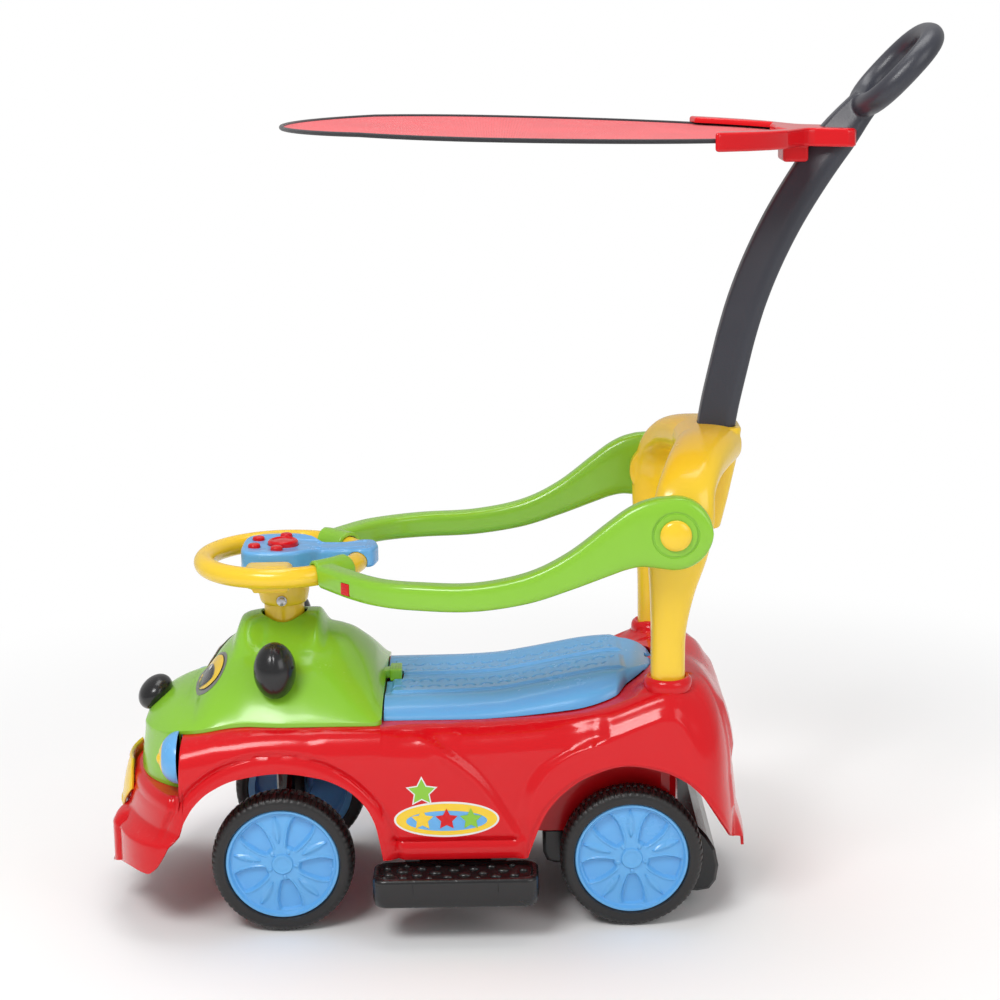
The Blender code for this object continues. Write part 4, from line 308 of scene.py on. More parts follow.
def refined(name, width):
    """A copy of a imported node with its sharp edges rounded."""
    source = frame["nodes"][name]
    mesh = source.data.copy()
    mesh.transform(source.matrix_world)
    made = bpy.data.objects.new(name + "_fine", mesh)
    bpy.context.scene.collection.objects.link(made)
    return soften(made, width, 2, 30)


def ellipsoid(name, centre, radii, tilt=0.0, segments=48, rings=32):
    """An egg with half sizes along X, Y and Z, tilted about Y."""
    work = bmesh.new()
    bmesh.ops.create_uvsphere(work, u_segments=segments, v_segments=rings, radius=1.0)
    place = Matrix.Translation(Vector(centre)) @ Matrix.Rotation(tilt, 4, "Y")
    bmesh.ops.transform(work, matrix=place @ Matrix.Diagonal((*radii, 1.0)), verts=work.verts)
    verts = [v.co.copy() for v in work.verts]
    faces = [[v.index for v in f.verts] for f in work.faces]
    work.free()
    return shape(name, verts, faces)


def bake(thing):
    """Makes what the modifiers show the object's own mesh."""
    bpy.context.view_layer.update()
    graph = bpy.context.evaluated_depsgraph_get()
    mesh = bpy.data.meshes.new_from_object(thing.evaluated_get(graph))
    thing.modifiers.clear()
    thing.data = mesh
    return thing


def merge(target, *others):
    """Puts several meshes into one object without cutting them."""
    work = bmesh.new()
    for thing in (target, *others):
        bake(thing)
        work.from_mesh(thing.data)
    work.to_mesh(target.data)
    work.free()
    for thing in others:
        bpy.data.objects.remove(thing, do_unlink=True)
    return target


def cut(target, *tools):
    """Takes the tools' space out of a piece and deletes the tools."""
    for tool in tools:
        step = target.modifiers.new("difference", "BOOLEAN")
        step.operation = "DIFFERENCE"
        step.solver = "EXACT"
        step.object = tool
        bake(target)
        bpy.data.objects.remove(tool, do_unlink=True)
    return target


def soften(thing, width, segments=3, angle=35.0):
    """Rounds the sharp edges."""
    rounding = thing.modifiers.new("rounding", "BEVEL")
    rounding.width = width
    rounding.segments = segments
    rounding.limit_method = "ANGLE"
    rounding.angle_limit = math.radians(angle)
    rounding.harden_normals = False
    return thing


def thicken(thing, wall, even=True):
    """Gives an open surface a wall on its inner side."""
    shell = thing.modifiers.new("wall", "SOLIDIFY")
    shell.thickness = wall
    shell.offset = -1.0
    shell.use_even_offset = even
    return thing


WELD_DISTANCE = 0.00002


def weld(thing):
    """Joins points that fall together and turns the faces outwards."""
    work = bmesh.new()
    work.from_mesh(thing.data)
    bmesh.ops.remove_doubles(work, verts=work.verts, dist=WELD_DISTANCE)
    bmesh.ops.recalc_face_normals(work, faces=work.faces)
    work.to_mesh(thing.data)
    work.free()
    return thing


def trim(thing, point, outward):
    """Cuts away what lies beyond a plane and closes the cut."""
    work = bmesh.new()
    work.from_mesh(thing.data)
    found = bmesh.ops.bisect_plane(work, geom=work.verts[:] + work.edges[:] + work.faces[:], plane_co=point,
                                   plane_no=outward, clear_outer=True)
    edges = [item for item in found["geom_cut"] if isinstance(item, bmesh.types.BMEdge)]
    if edges:
        bmesh.ops.holes_fill(work, edges=edges)
    bmesh.ops.recalc_face_normals(work, faces=work.faces)
    work.to_mesh(thing.data)
    work.free()
    return thing


def fuse(thing, voxel, rounds=3):
    """Melts a piece's unions together, as moulded plastic has them, with small round inner corners."""
    remesh = thing.modifiers.new("fuse", "REMESH")
    remesh.mode = "VOXEL"
    remesh.voxel_size = voxel
    relax = thing.modifiers.new("relax", "SMOOTH")
    relax.factor = 0.5
    relax.iterations = rounds
    return bake(thing)


def place(thing, material, body, slot, *nodes, sharp=35.0):
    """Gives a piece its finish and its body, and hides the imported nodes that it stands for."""
    bake(thing)
    thing.data.materials.clear()
    thing.data.materials.append(bpy.data.materials[material])
    thing.data.shade_smooth()
    thing.data.set_sharp_from_angle(angle=math.radians(sharp))
    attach(thing, body)
    if nodes:
        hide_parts(*nodes)
    return thing


# Finishes

def new_group(name, inputs, outputs):
    """A shader node group with named number sockets."""
    group = bpy.data.node_groups.new(name, "ShaderNodeTree")
    for label, default in inputs:
        socket = group.interface.new_socket(label, in_out="INPUT", socket_type="NodeSocketFloat")
        socket.default_value = default
    for label in outputs:
        group.interface.new_socket(label, in_out="OUTPUT", socket_type="NodeSocketFloat")
    return group, group.nodes.new("NodeGroupInput"), group.nodes.new("NodeGroupOutput")


def map_range(tree, source, low, high, to_low, to_high):
    """Maps a value from one range to another with soft ends."""
    node = tree.nodes.new("ShaderNodeMapRange")
    node.interpolation_type = "SMOOTHSTEP"
    node.inputs["From Min"].default_value = low
    node.inputs["From Max"].default_value = high
    node.inputs["To Min"].default_value = to_low
    node.inputs["To Max"].default_value = to_high
    tree.links.new(source, node.inputs["Value"])
    return node.outputs["Result"]


def maths(tree, operation, a, b):
    """One sum of two values, each a socket or a number."""
    node = tree.nodes.new("ShaderNodeMath")
    node.operation = operation
    for socket, value in zip(node.inputs, (a, b)):
        if isinstance(value, bpy.types.NodeSocket):
            tree.links.new(value, socket)
        else:
            socket.default_value = value
    return node.outputs["Value"]


def noise(tree, vector, scale, detail=2.0, roughness=0.5):
    node = tree.nodes.new("ShaderNodeTexNoise")
    node.inputs["Detail"].default_value = detail
    node.inputs["Roughness"].default_value = roughness
    if isinstance(scale, bpy.types.NodeSocket):
        tree.links.new(scale, node.inputs["Scale"])
    else:
        node.inputs["Scale"].default_value = scale
    tree.links.new(vector, node.inputs["Vector"])
    return node.outputs["Fac"]


def make_moulded_skin():
    """The faint waves, grain and colour drift of moulded plastic."""
    group, entry, leave = new_group("Moulded Skin",
                                    (("Wave Scale", 60.0), ("Waves", 0.6), ("Grain Scale", 900.0),
                                     ("Grain", 0.2), ("Drift", 0.04)),
                                    ("Tint", "Height", "Gloss Loss"))
    place_at = group.nodes.new("ShaderNodeTexCoord").outputs["Object"]
    drift = noise(group, place_at, 7.0, 3.0)
    swing = maths(group, "MULTIPLY", maths(group, "SUBTRACT", drift, 0.5), entry.outputs["Drift"])
    group.links.new(maths(group, "ADD", swing, 1.0), leave.inputs["Tint"])
    waves = maths(group, "MULTIPLY", noise(group, place_at, entry.outputs["Wave Scale"], 1.0),
                  entry.outputs["Waves"])
    grain = maths(group, "MULTIPLY", noise(group, place_at, entry.outputs["Grain Scale"], 2.0),
                  entry.outputs["Grain"])
    group.links.new(maths(group, "ADD", waves, grain), leave.inputs["Height"])
    patches = map_range(group, noise(group, place_at, 22.0, 4.0, 0.6), 0.45, 0.75, 0.0, 1.0)
    group.links.new(patches, leave.inputs["Gloss Loss"])
    return group


SCUFF_STREAKS = (
    # turn in radians, noise scale along each axis
    (0.6, (30.0, 700.0, 700.0)),
    (2.1, (700.0, 40.0, 600.0)),
)


def make_handling_marks():
    """Hairline scuffs and a little settled dust."""
    group, entry, leave = new_group("Handling Marks", (("Scuffs", 0.5), ("Dust", 0.2)), ("Scuff", "Dust"))
    coordinate = group.nodes.new("ShaderNodeTexCoord").outputs["Object"]
    lines = []
    for turn, stretch in SCUFF_STREAKS:
        mapping = group.nodes.new("ShaderNodeMapping")
        mapping.inputs["Rotation"].default_value = (turn, turn * 0.5, turn)
        mapping.inputs["Scale"].default_value = stretch
        group.links.new(coordinate, mapping.inputs["Vector"])
        streaks = noise(group, mapping.outputs["Vector"], 1.0, 1.0)
        lines.append(map_range(group, streaks, 0.70, 0.76, 0.0, 1.0))
    where = map_range(group, noise(group, coordinate, 9.0, 2.0), 0.50, 0.62, 0.0, 1.0)
    scuff = maths(group, "MULTIPLY", maths(group, "MAXIMUM", lines[0], lines[1]), where)
    group.links.new(maths(group, "MULTIPLY", scuff, entry.outputs["Scuffs"]), leave.inputs["Scuff"])
    normal = group.nodes.new("ShaderNodeSeparateXYZ")
    group.links.new(group.nodes.new("ShaderNodeNewGeometry").outputs["Normal"], normal.inputs["Vector"])
    upward = map_range(group, normal.outputs["Z"], 0.5, 1.0, 0.0, 1.0)
    specks = map_range(group, noise(group, coordinate, 160.0, 5.0, 0.7), 0.50, 0.72, 0.0, 1.0)
    settled = maths(group, "MULTIPLY", maths(group, "MULTIPLY", upward, specks), entry.outputs["Dust"])
    group.links.new(settled, leave.inputs["Dust"])
    return group


def use_group(tree, name, **values):
    node = tree.nodes.new("ShaderNodeGroup")
    node.node_tree = bpy.data.node_groups[name]
    for label, value in values.items():
        node.inputs[label.replace("_", " ")].default_value = value
    return node


def start_material(name):
    made = bpy.data.materials.new(name)
    made.use_nodes = True
    tree = made.node_tree
    return made, tree, tree.nodes["Principled BSDF"]


def tinted(tree, base, factor):
    """The base colour made lighter or darker by a number."""
    node = tree.nodes.new("ShaderNodeVectorMath")
    node.operation = "SCALE"
    if isinstance(base, bpy.types.NodeSocket):
        tree.links.new(base, node.inputs[0])
    else:
        node.inputs[0].default_value = base
    tree.links.new(factor, node.inputs["Scale"])
    return node.outputs["Vector"]


def blend_colour(tree, factor, first, second):
    node = tree.nodes.new("ShaderNodeMix")
    node.data_type = "RGBA"
    tree.links.new(factor, node.inputs["Factor"])
    for socket, value in ((node.inputs[6], first), (node.inputs[7], second)):
        if isinstance(value, bpy.types.NodeSocket):
            tree.links.new(value, socket)
        else:
            socket.default_value = (*value, 1.0)
    return node.outputs[2]


def raise_surface(tree, shader, height, distance, strength=1.0):
    node = tree.nodes.new("ShaderNodeBump")
    node.inputs["Strength"].default_value = strength
    node.inputs["Distance"].default_value = distance
    tree.links.new(height, node.inputs["Height"])
    tree.links.new(node.outputs["Normal"], shader.inputs["Normal"])


DUST_COLOUR = (0.55, 0.52, 0.47)
TYRE_DUST_COLOUR = (0.16, 0.14, 0.12)
PLASTIC_SCUFFS = 0.15
PLASTIC_DUST = 0.04


def make_plastic(name, base, roughness, waves=0.6, grain=0.15, relief=0.00012, coat=0.0, specular=0.5):
    """Moulded plastic: glossy, with faint waves, few scuffs and a little dust on top."""
    made, tree, shader = start_material(name)
    moulded = use_group(tree, "Moulded Skin", Waves=waves, Grain=grain)
    marks = use_group(tree, "Handling Marks", Scuffs=PLASTIC_SCUFFS, Dust=PLASTIC_DUST)
    coloured = tinted(tree, base, moulded.outputs["Tint"])
    dusty = blend_colour(tree, marks.outputs["Dust"], coloured, DUST_COLOUR)
    tree.links.new(dusty, shader.inputs["Base Color"])
    dull = maths(tree, "MULTIPLY", moulded.outputs["Gloss Loss"], 0.05)
    dull = maths(tree, "ADD", dull, maths(tree, "MULTIPLY", marks.outputs["Scuff"], 0.16))
    dull = maths(tree, "ADD", dull, maths(tree, "MULTIPLY", marks.outputs["Dust"], 0.5))
    tree.links.new(maths(tree, "ADD", dull, roughness), shader.inputs["Roughness"])
    raise_surface(tree, shader, moulded.outputs["Height"], relief)
    shader.inputs["Specular IOR Level"].default_value = specular
    shader.inputs["Coat Weight"].default_value = coat
    shader.inputs["Coat Roughness"].default_value = 0.06
    shader.inputs["IOR"].default_value = 1.5
    return made


def make_tyre_rubber(name, base):
    made, tree, shader = start_material(name)
    moulded = use_group(tree, "Moulded Skin", Waves=0.3, Grain=0.7, Grain_Scale=1500.0, Drift=0.25)
    marks = use_group(tree, "Handling Marks", Scuffs=0.8, Dust=0.25)
    coloured = tinted(tree, base, moulded.outputs["Tint"])
    dusty = blend_colour(tree, marks.outputs["Dust"], coloured, TYRE_DUST_COLOUR)
    tree.links.new(dusty, shader.inputs["Base Color"])
    tree.links.new(maths(tree, "ADD", maths(tree, "MULTIPLY", moulded.outputs["Gloss Loss"], 0.12), 0.36),
                   shader.inputs["Roughness"])
    raise_surface(tree, shader, moulded.outputs["Height"], 0.00025)
    return made


def make_steel(name, base):
    made, tree, shader = start_material(name)
    moulded = use_group(tree, "Moulded Skin", Waves=0.1, Grain=0.6, Grain_Scale=2600.0, Drift=0.10)
    tree.links.new(tinted(tree, base, moulded.outputs["Tint"]), shader.inputs["Base Color"])
    tree.links.new(maths(tree, "ADD", maths(tree, "MULTIPLY", moulded.outputs["Gloss Loss"], 0.2), 0.24),
                   shader.inputs["Roughness"])
    raise_surface(tree, shader, moulded.outputs["Height"], 0.00008)
    shader.inputs["Metallic"].default_value = 1.0
    return made


MESH_PITCH = 0.0016


def make_mesh_cloth(name, base):
    """A knitted mesh cloth: raised yarns, with painted shade darkening the small holes between them."""
    made, tree, shader = start_material(name)
    coordinate = tree.nodes.new("ShaderNodeTexCoord").outputs["Object"]
    waves = []
    for direction in ("X", "Y"):
        node = tree.nodes.new("ShaderNodeTexWave")
        node.bands_direction = direction
        node.inputs["Scale"].default_value = 1.0 / (MESH_PITCH * 2 * math.pi) * 2
        tree.links.new(coordinate, node.inputs["Vector"])
        waves.append(node.outputs["Fac"])
    yarn = maths(tree, "MAXIMUM", waves[0], waves[1])
    drift = map_range(tree, noise(tree, coordinate, 14.0, 4.0), 0.3, 0.7, 0.93, 1.06)
    # Base colour falls to 0.62 between the yarns, as painted shade in the knit's holes, times a random tone
    # drift.
    painted_hole_shade_and_drift = maths(tree, "MULTIPLY", map_range(tree, yarn, 0.2, 0.9, 0.62, 1.0), drift)
    tree.links.new(tinted(tree, base, painted_hole_shade_and_drift), shader.inputs["Base Color"])
    shader.inputs["Roughness"].default_value = 0.82
    shader.inputs["Sheen Weight"].default_value = 0.35
    shader.inputs["Sheen Roughness"].default_value = 0.4
    raise_surface(tree, shader, yarn, 0.0003, 0.6)
    return made


def make_binding(name, base):
    """A ribbed tape."""
    made, tree, shader = start_material(name)
    coordinate = tree.nodes.new("ShaderNodeTexCoord").outputs["Object"]
    ribs = noise(tree, coordinate, 1100.0, 1.0)
    tone = map_range(tree, ribs, 0.3, 0.7, 0.75, 1.25)
    tree.links.new(tinted(tree, base, tone), shader.inputs["Base Color"])
    shader.inputs["Roughness"].default_value = 0.85
    shader.inputs["Sheen Weight"].default_value = 0.25
    raise_surface(tree, shader, ribs, 0.0003, 0.7)
    return made


class CAR_OT_finishes(bpy.types.Operator):
    """Makes the shared node groups and every finish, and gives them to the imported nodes"""
    bl_idname = "car.finishes"
    bl_label = "Finishes"

    def execute(self, context):
        colours = context.scene.car_colours
        make_moulded_skin()
        make_handling_marks()
        make_plastic("Red Plastic", colours.red, 0.16, coat=0.15, specular=0.28)
        make_plastic("Green Plastic", colours.green, 0.22, coat=0.2)
        make_plastic("Blue Plastic", colours.blue, 0.24, coat=0.15)
        make_plastic("Yellow Plastic", colours.yellow, 0.22, coat=0.2)
        make_plastic("Black Plastic", colours.black, 0.24, grain=0.3, coat=0.1)
        make_plastic("Eye Grey", (0.18, 0.18, 0.17), 0.30, coat=0.2)
        make_plastic("Eye White", (0.80, 0.80, 0.78), 0.25, coat=0.2)
        make_plastic("Slate Plastic", colours.slate, 0.34, waves=0.3, grain=0.5, relief=0.0002)
        make_tyre_rubber("Tyre Rubber", colours.tyre)
        make_steel("Turned Steel", colours.steel)
        make_mesh_cloth("Mesh Cloth", colours.canopy)
        make_binding("Binding Tape", colours.binding)
        names = {
            "red_plastic": "Red Plastic", "green_plastic": "Green Plastic", "blue_plastic": "Blue Plastic",
            "yellow_plastic": "Yellow Plastic", "black_plastic": "Black Plastic",
            "slate_plastic": "Slate Plastic", "tyre": "Tyre Rubber", "steel": "Turned Steel",
            "mesh_fabric": "Mesh Cloth", "binding": "Binding Tape",
        }
        for part in frame["record"]["subparts"]:
            node = frame["nodes"][part["node"]]
            node.data.materials.clear()
            node.data.materials.append(bpy.data.materials[names[part["material_slot"]]])
        return {"FINISHED"}


# Wheels

SPOKE_TURN = math.radians(72)
SPOKE_HALF_WIDTH = ((0.014, 0.0062), (0.020, 0.0068), (0.030, 0.0092), (0.042, 0.0142), (0.052, 0.0215))
ALMOND_START = 0.022
ALMOND_END = 0.050
ALMOND_HALF_WIDTH = 0.0056
ALMOND_HEIGHT = 0.0024
STUD_RING = 0.0138
HUB_RADIUS = 0.0044


def disc_height(radius, angle, sizes):
    """Relief of a wheel disc's face: lip, five spokes with almond bulges, windows, boss and studs."""
    lip = 0.0046 * smooth(sizes.rim_radius - 0.0050, sizes.rim_radius - 0.0028, radius)
    crown = 0.0034 * (1 - smooth(0.012, 0.052, radius))
    half_turn = SPOKE_TURN / 2
    turn = (angle - math.radians(90)) % SPOKE_TURN
    across = (half_turn - abs(turn - half_turn)) * radius
    middle_gap = half_turn * radius
    half_spoke = through(SPOKE_HALF_WIDTH, radius)
    into_window = smooth(half_spoke, half_spoke + 0.0022, across) if middle_gap > half_spoke else 0.0
    ring = smooth(0.0165, 0.0195, radius) * (1 - smooth(0.0490, 0.0512, radius))
    window = sizes.window_depth * into_window * ring
    almond = 0.0
    if ALMOND_START < radius < ALMOND_END:
        share = (radius - ALMOND_START) / (ALMOND_END - ALMOND_START)
        almond_half = ALMOND_HALF_WIDTH * math.sin(math.pi * share) ** 0.8
        almond = ALMOND_HEIGHT * smooth(0.0, 1.0, 1 - min(1.0, across / almond_half))
    edge_roll = 0.0010 * bump(half_spoke - 0.0016, half_spoke - 0.0006, 0.0010, across) * ring
    boss = 0.0022 * (1 - smooth(0.0095, 0.0115, radius)) - 0.0010 * (1 - smooth(0.0065, 0.0078, radius))
    stud_angle = (angle - math.radians(90) - half_turn) % SPOKE_TURN
    stud_off = (abs(stud_angle - half_turn) - half_turn) * 0.0135
    stud = 0.0014 * (1 - smooth(0.0014, 0.0021, math.hypot(radius - STUD_RING, stud_off)))
    return lip + crown - window + almond + edge_roll + boss + stud


def make_disc(name, centre, side, sizes, spin):
    """A wheel disc with its sculpted face, rim and a tube for the axle."""
    radii = [0.0] + spread(0.0015, 0.0195, 14) + spread(0.0205, 0.0480, 26)
    radii += spread(0.0488, sizes.rim_radius - 0.0003, 16)
    angles = 240
    face = WHEEL_OUTER_Y - 0.0075
    verts, faces = [], []
    for radius in radii:
        for i in range(angles):
            angle = 2 * math.pi * i / angles
            along = face + disc_height(radius, angle - spin, sizes)
            if radius > sizes.rim_radius - 0.0005:
                along -= 0.0008
            verts.append(centre + Vector((radius * math.cos(angle), side * along, radius * math.sin(angle))))
    back = ((sizes.rim_radius, face + 0.0034), (sizes.rim_radius, WHEEL_INNER_Y + 0.002),
            (0.050, WHEEL_INNER_Y + 0.002), (0.048, face - 0.006), (0.013, face - 0.006),
            (0.011, WHEEL_INNER_Y - 0.0055), (HUB_RADIUS, WHEEL_INNER_Y - 0.0055), (HUB_RADIUS, face - 0.008))
    for radius, along in back:
        for i in range(angles):
            angle = 2 * math.pi * i / angles
            verts.append(centre + Vector((radius * math.cos(angle), side * along, radius * math.sin(angle))))
    rows = len(radii) + len(back)
    for r in range(rows - 1):
        for i in range(angles):
            k = (i + 1) % angles
            faces.append((r * angles + i, r * angles + k, (r + 1) * angles + k, (r + 1) * angles + i))
    return weld(shape(name, verts, faces))


def tread_depth(angle, along, sizes, half):
    """How deep the tread is cut at one angle, for a place across the tyre."""
    row = 0 if along < 0 else 1
    share = (angle / (2 * math.pi) * sizes.blocks + 0.5 * row) % 1.0
    slot = 1 - bump(0.10, 0.62, 0.07, share)
    ring = 1 - smooth(0.0008, 0.0014, abs(along))
    tread = 1 - smooth(half - 0.0012, half + 0.001, abs(along))
    return sizes.groove * max(slot * tread, ring)


def make_tyre(name, centre, side, sizes):
    """A tyre with two rows of tread blocks that wrap over the shoulders."""
    middle = (WHEEL_OUTER_Y + WHEEL_INNER_Y) / 2
    half = (WHEEL_OUTER_Y - WHEEL_INNER_Y) / 2
    tread_half = half - 0.0035
    fit = sizes.rim_radius + 0.0003
    crown = [(TYRE_RADIUS - 0.0016 * (a / tread_half) ** 2, a) for a in spread(-tread_half, tread_half, 15)]
    crown += [(TYRE_RADIUS, a) for a in (-0.0016, -0.0008, 0.0008, 0.0016)]
    crown.sort(key=lambda point: point[1])
    outside = [(TYRE_RADIUS - 0.0036, half - 0.0014), (TYRE_RADIUS - 0.0062, half - 0.0004),
               (TYRE_RADIUS - 0.0085, half), (TYRE_RADIUS - 0.0095, half - 0.0004),
               (fit + 0.0012, half - 0.0006), (fit, half - 0.0022)]
    inside = [(radius, -along) for radius, along in reversed(outside)]
    profile = inside + crown + outside
    segments = sizes.blocks * 8
    rings = []
    for i in range(segments):
        angle = 2 * math.pi * i / segments
        ring = []
        for radius, along in profile:
            worked = radius
            if radius > TYRE_RADIUS - 0.0030:
                worked -= tread_depth(angle, along, sizes, tread_half)
            elif radius > TYRE_RADIUS - 0.0050:
                share = (angle / (2 * math.pi) * sizes.blocks + (0.5 if along > 0 else 0.0)) % 1.0
                worked -= 0.5 * sizes.groove * (1 - bump(0.10, 0.62, 0.07, share))
            ring.append(centre + Vector((worked * math.cos(angle), side * (middle + along),
                                         worked * math.sin(angle))))
        rings.append(ring)
    return loft(name, rings, loop=True)


DISC_TURNS = {"front_left": 8.0, "front_right": 31.0, "rear_left": 1.5, "rear_right": 52.0}


class CAR_OT_wheels(bpy.types.Operator):
    """Builds the four tyres and their discs"""
    bl_idname = "car.wheels"
    bl_label = "Wheels"

    def execute(self, context):
        sizes = context.scene.car_wheels
        for axle in ("front", "rear"):
            for name, side in SIDES:
                label = axle + "_" + name
                centre = node_centre("tyre_" + label)
                centre.y = 0.0
                body = label + "_wheel"
                disc = make_disc("disc_" + label, centre, side, sizes, math.radians(DISC_TURNS[label]))
                place(disc, "Blue Plastic", body, "blue_plastic", "wheel_disc_" + label)
                place(make_tyre("rubber_" + label, centre, side, sizes), "Tyre Rubber", body, "tyre",
                      "tyre_" + label, sharp=50.0)
        return {"FINISHED"}


# Body shell

NOSE_CORNER = -0.095
NOSE_DEPTH = ((0.040, 0.0775), (0.100, 0.0770), (0.125, 0.0725), (0.140, 0.0655), (0.150, 0.0620))
LEDGE_HEIGHT = ((0, 0.0905), (14, 0.0930), (28, 0.0985), (55, 0.1020), (90, 0.1050))
LEDGE_DEPTH = ((0, 0.0060), (40, 0.0055), (90, 0.0045))
NOSE_BOTTOM = ((0, 0.0500), (15, 0.0500), (20, 0.0530), (30, 0.0600), (40, 0.0655), (50, 0.0680),
               (62, 0.0680), (75, 0.0680), (90, 0.0700))
TAIL_CORNER = 0.405
TAIL_DEPTH = ((0.060, 0.0570), (0.112, 0.0545), (0.150, 0.0505))
SNOUT_RIM_Z = 0.1478
HOOD_REAR = 0.103
SILL_Z = 0.081
FRONT_ARCH = ((-0.1290, 0.0670), (-0.1225, 0.0680), (-0.1165, 0.0730), (-0.1065, 0.0910), (-0.1005, 0.1090),
              (-0.0935, 0.1250), (-0.0835, 0.1410), (-0.0670, 0.1560), (-0.0400, 0.1680), (0.0030, 0.1735),
              (0.0410, 0.1680), (0.0660, 0.1570), (0.0850, 0.1390), (0.0950, 0.1190), (0.0990, 0.1000),
              (0.1020, 0.0810))
REAR_ARCH = ((0.2460, 0.0810), (0.2520, 0.0980), (0.2585, 0.1150), (0.2670, 0.1310), (0.2820, 0.1480),
             (0.3050, 0.1640), (0.3450, 0.1755), (0.3790, 0.1690), (0.4010, 0.1585), (0.4200, 0.1420),
             (0.4340, 0.1210), (0.4450, 0.1000), (0.4520, 0.0860), (0.4570, 0.0780))
DECK_RISE = ((0.200, 0.2135), (0.245, 0.216), (0.294, 0.221), (0.330, 0.229), (0.355, 0.239), (0.378, 0.248))
SEAT_TURN = 0.290
SEAT_TAIL = 0.381
POST_SPOT = (0.3875, 0.100)


def arch_height(s):
    """Height of a wheel arch's edge at one station, or zero beside the arches."""
    for arch in (FRONT_ARCH, REAR_ARCH):
        if arch[0][0] < s < arch[-1][0]:
            return through(arch, s)
    return 0.0


FRONT_SWEEP = ((0.095, 0.240), (0.120, 0.226), (0.150, 0.208), (0.175, 0.188), (0.196, 0.161),
               (0.213, 0.135), (0.222, 0.112))
REAR_SWEEP = ((0.095, 0.243), (0.120, 0.243), (0.145, 0.248), (0.170, 0.262), (0.190, 0.290),
              (0.203, 0.325))


def side_width(s, z, sizes):
    """Half width of the side wall, with its fenders, door recess, sill and arch bands."""
    first, second = through(FRONT_SWEEP, z), through(REAR_SWEEP, z)
    above = smooth(SILL_Z + 0.017, SILL_Z + 0.024, z)
    recess = smooth(first - 0.001, first + 0.007, s) * (1 - smooth(second - 0.010, second + 0.006, s))
    depth = sizes.door_recess * mix(1.0, 0.4, smooth(0.150, 0.100, z) if z > 0.150 else 0.0)
    width = sizes.half_width - depth * recess * above
    bead = bump(first - 0.0105, first - 0.0045, 0.0035, s) * smooth(0.150, 0.180, z) * smooth(0.070, 0.100, s)
    width += 0.0010 * bead
    between = smooth(0.106, 0.116, s) * (1 - smooth(0.232, 0.242, s))
    round_sill = 0.0045 * math.sqrt(max(0.0, 1 - min(1.0, abs(z - 0.0895) / 0.0105) ** 2))
    width -= (0.0052 - round_sill) * between * (1 - above)
    from_edge = math.hypot(s + 0.002, z - 0.072) - sizes.arch_radius
    band = 1.0 if s > -0.060 else smooth(0.094, 0.122, z)
    width -= 0.0046 * band * (1 - smooth(0.0170, 0.0235, from_edge))
    width += 0.0036 * band * math.sqrt(max(0.0, 1 - ((from_edge - 0.0060) / 0.0105) ** 2))
    from_edge = math.hypot(s - WHEELBASE + 0.003, z - 0.072) - sizes.arch_radius
    return width - 0.0022 * (1 - smooth(-0.0010, 0.0040, from_edge))


def nose_power(z):
    """Power of the nose's oval in plan: full at the bumper, rounder above its ledge."""
    return mix(2.2, 1.6, smooth(0.096, 0.114, z))


def plan_point(kind, value, z, sizes):
    """Place of the wall in plan for one column, by station at the side or by degrees round an end."""
    if kind == "side":
        return value, side_width(value, z, sizes)
    turn = math.radians(min(90.0, max(0.0, value)))
    if kind == "nose":
        power = 2 / nose_power(z)
        s = NOSE_CORNER - through(NOSE_DEPTH, z) * math.cos(turn) ** power
        return s, side_width(s, z, sizes) * math.sin(turn) ** power
    s = TAIL_CORNER + through(TAIL_DEPTH, z) * math.sin(turn) ** 0.65
    return s, side_width(s, z, sizes) * math.cos(turn) ** 0.65


def nose_relief(turn, y, z):
    """The bumper's ledge and its two upright half-round bars."""
    level = through(LEDGE_HEIGHT, turn)
    proud = through(LEDGE_DEPTH, turn) * (1 - smooth(level - 0.0035, level + 0.0045, z))
    across = min(1.0, abs(abs(y) - 0.0470) / 0.0150)
    round_bar = math.sqrt(max(0.0, 1 - across ** 2.4))
    crown = math.sqrt(max(0.0, 1 - min(1.0, max(0.0, z - 0.0900) / 0.0185) ** 2))
    bar = 0.0060 * round_bar * crown + 0.0050 * round_bar * crown * smooth(level - 0.004, level + 0.004, z)
    flare = 0.0016 * (1 - smooth(0.0505, 0.0535, z)) * round_bar
    return proud + bar + flare


def tail_relief(s, y, z):
    """The raised panel, the lower swage and the flap at the back."""
    panel = 0.0028 * bump(0.176, 0.222, 0.006, z) * (1 - smooth(0.080, 0.087, abs(y)))
    swage = 0.0022 * bump(0.118, 0.148, 0.006, z) * (1 - smooth(0.096, 0.104, abs(y)))
    flap = 0.0085 * (1 - smooth(0.074, 0.118, z)) * (1 - smooth(0.082, 0.090, abs(y)))
    return (panel + swage) * smooth(0.415, 0.440, s) + flap * smooth(0.440, 0.450, s)


def wall_point(kind, value, z, sizes):
    """Place of the wall in plan with the relief of the nose or the tail."""
    s, y = plan_point(kind, value, z, sizes)
    if kind == "side":
        return s, y
    before, after = (plan_point(kind, value + step, z, sizes) for step in (-0.4, 0.4))
    outward = Vector((before[1] - after[1], after[0] - before[0])).normalized()
    relief = nose_relief(value, y, z) if kind == "nose" else tail_relief(s, y, z)
    return s + outward.x * relief, max(0.0, y + outward.y * relief)


def deck_height(s):
    return hood_seam(s) if s < HOOD_REAR else through(DECK_RISE, s)


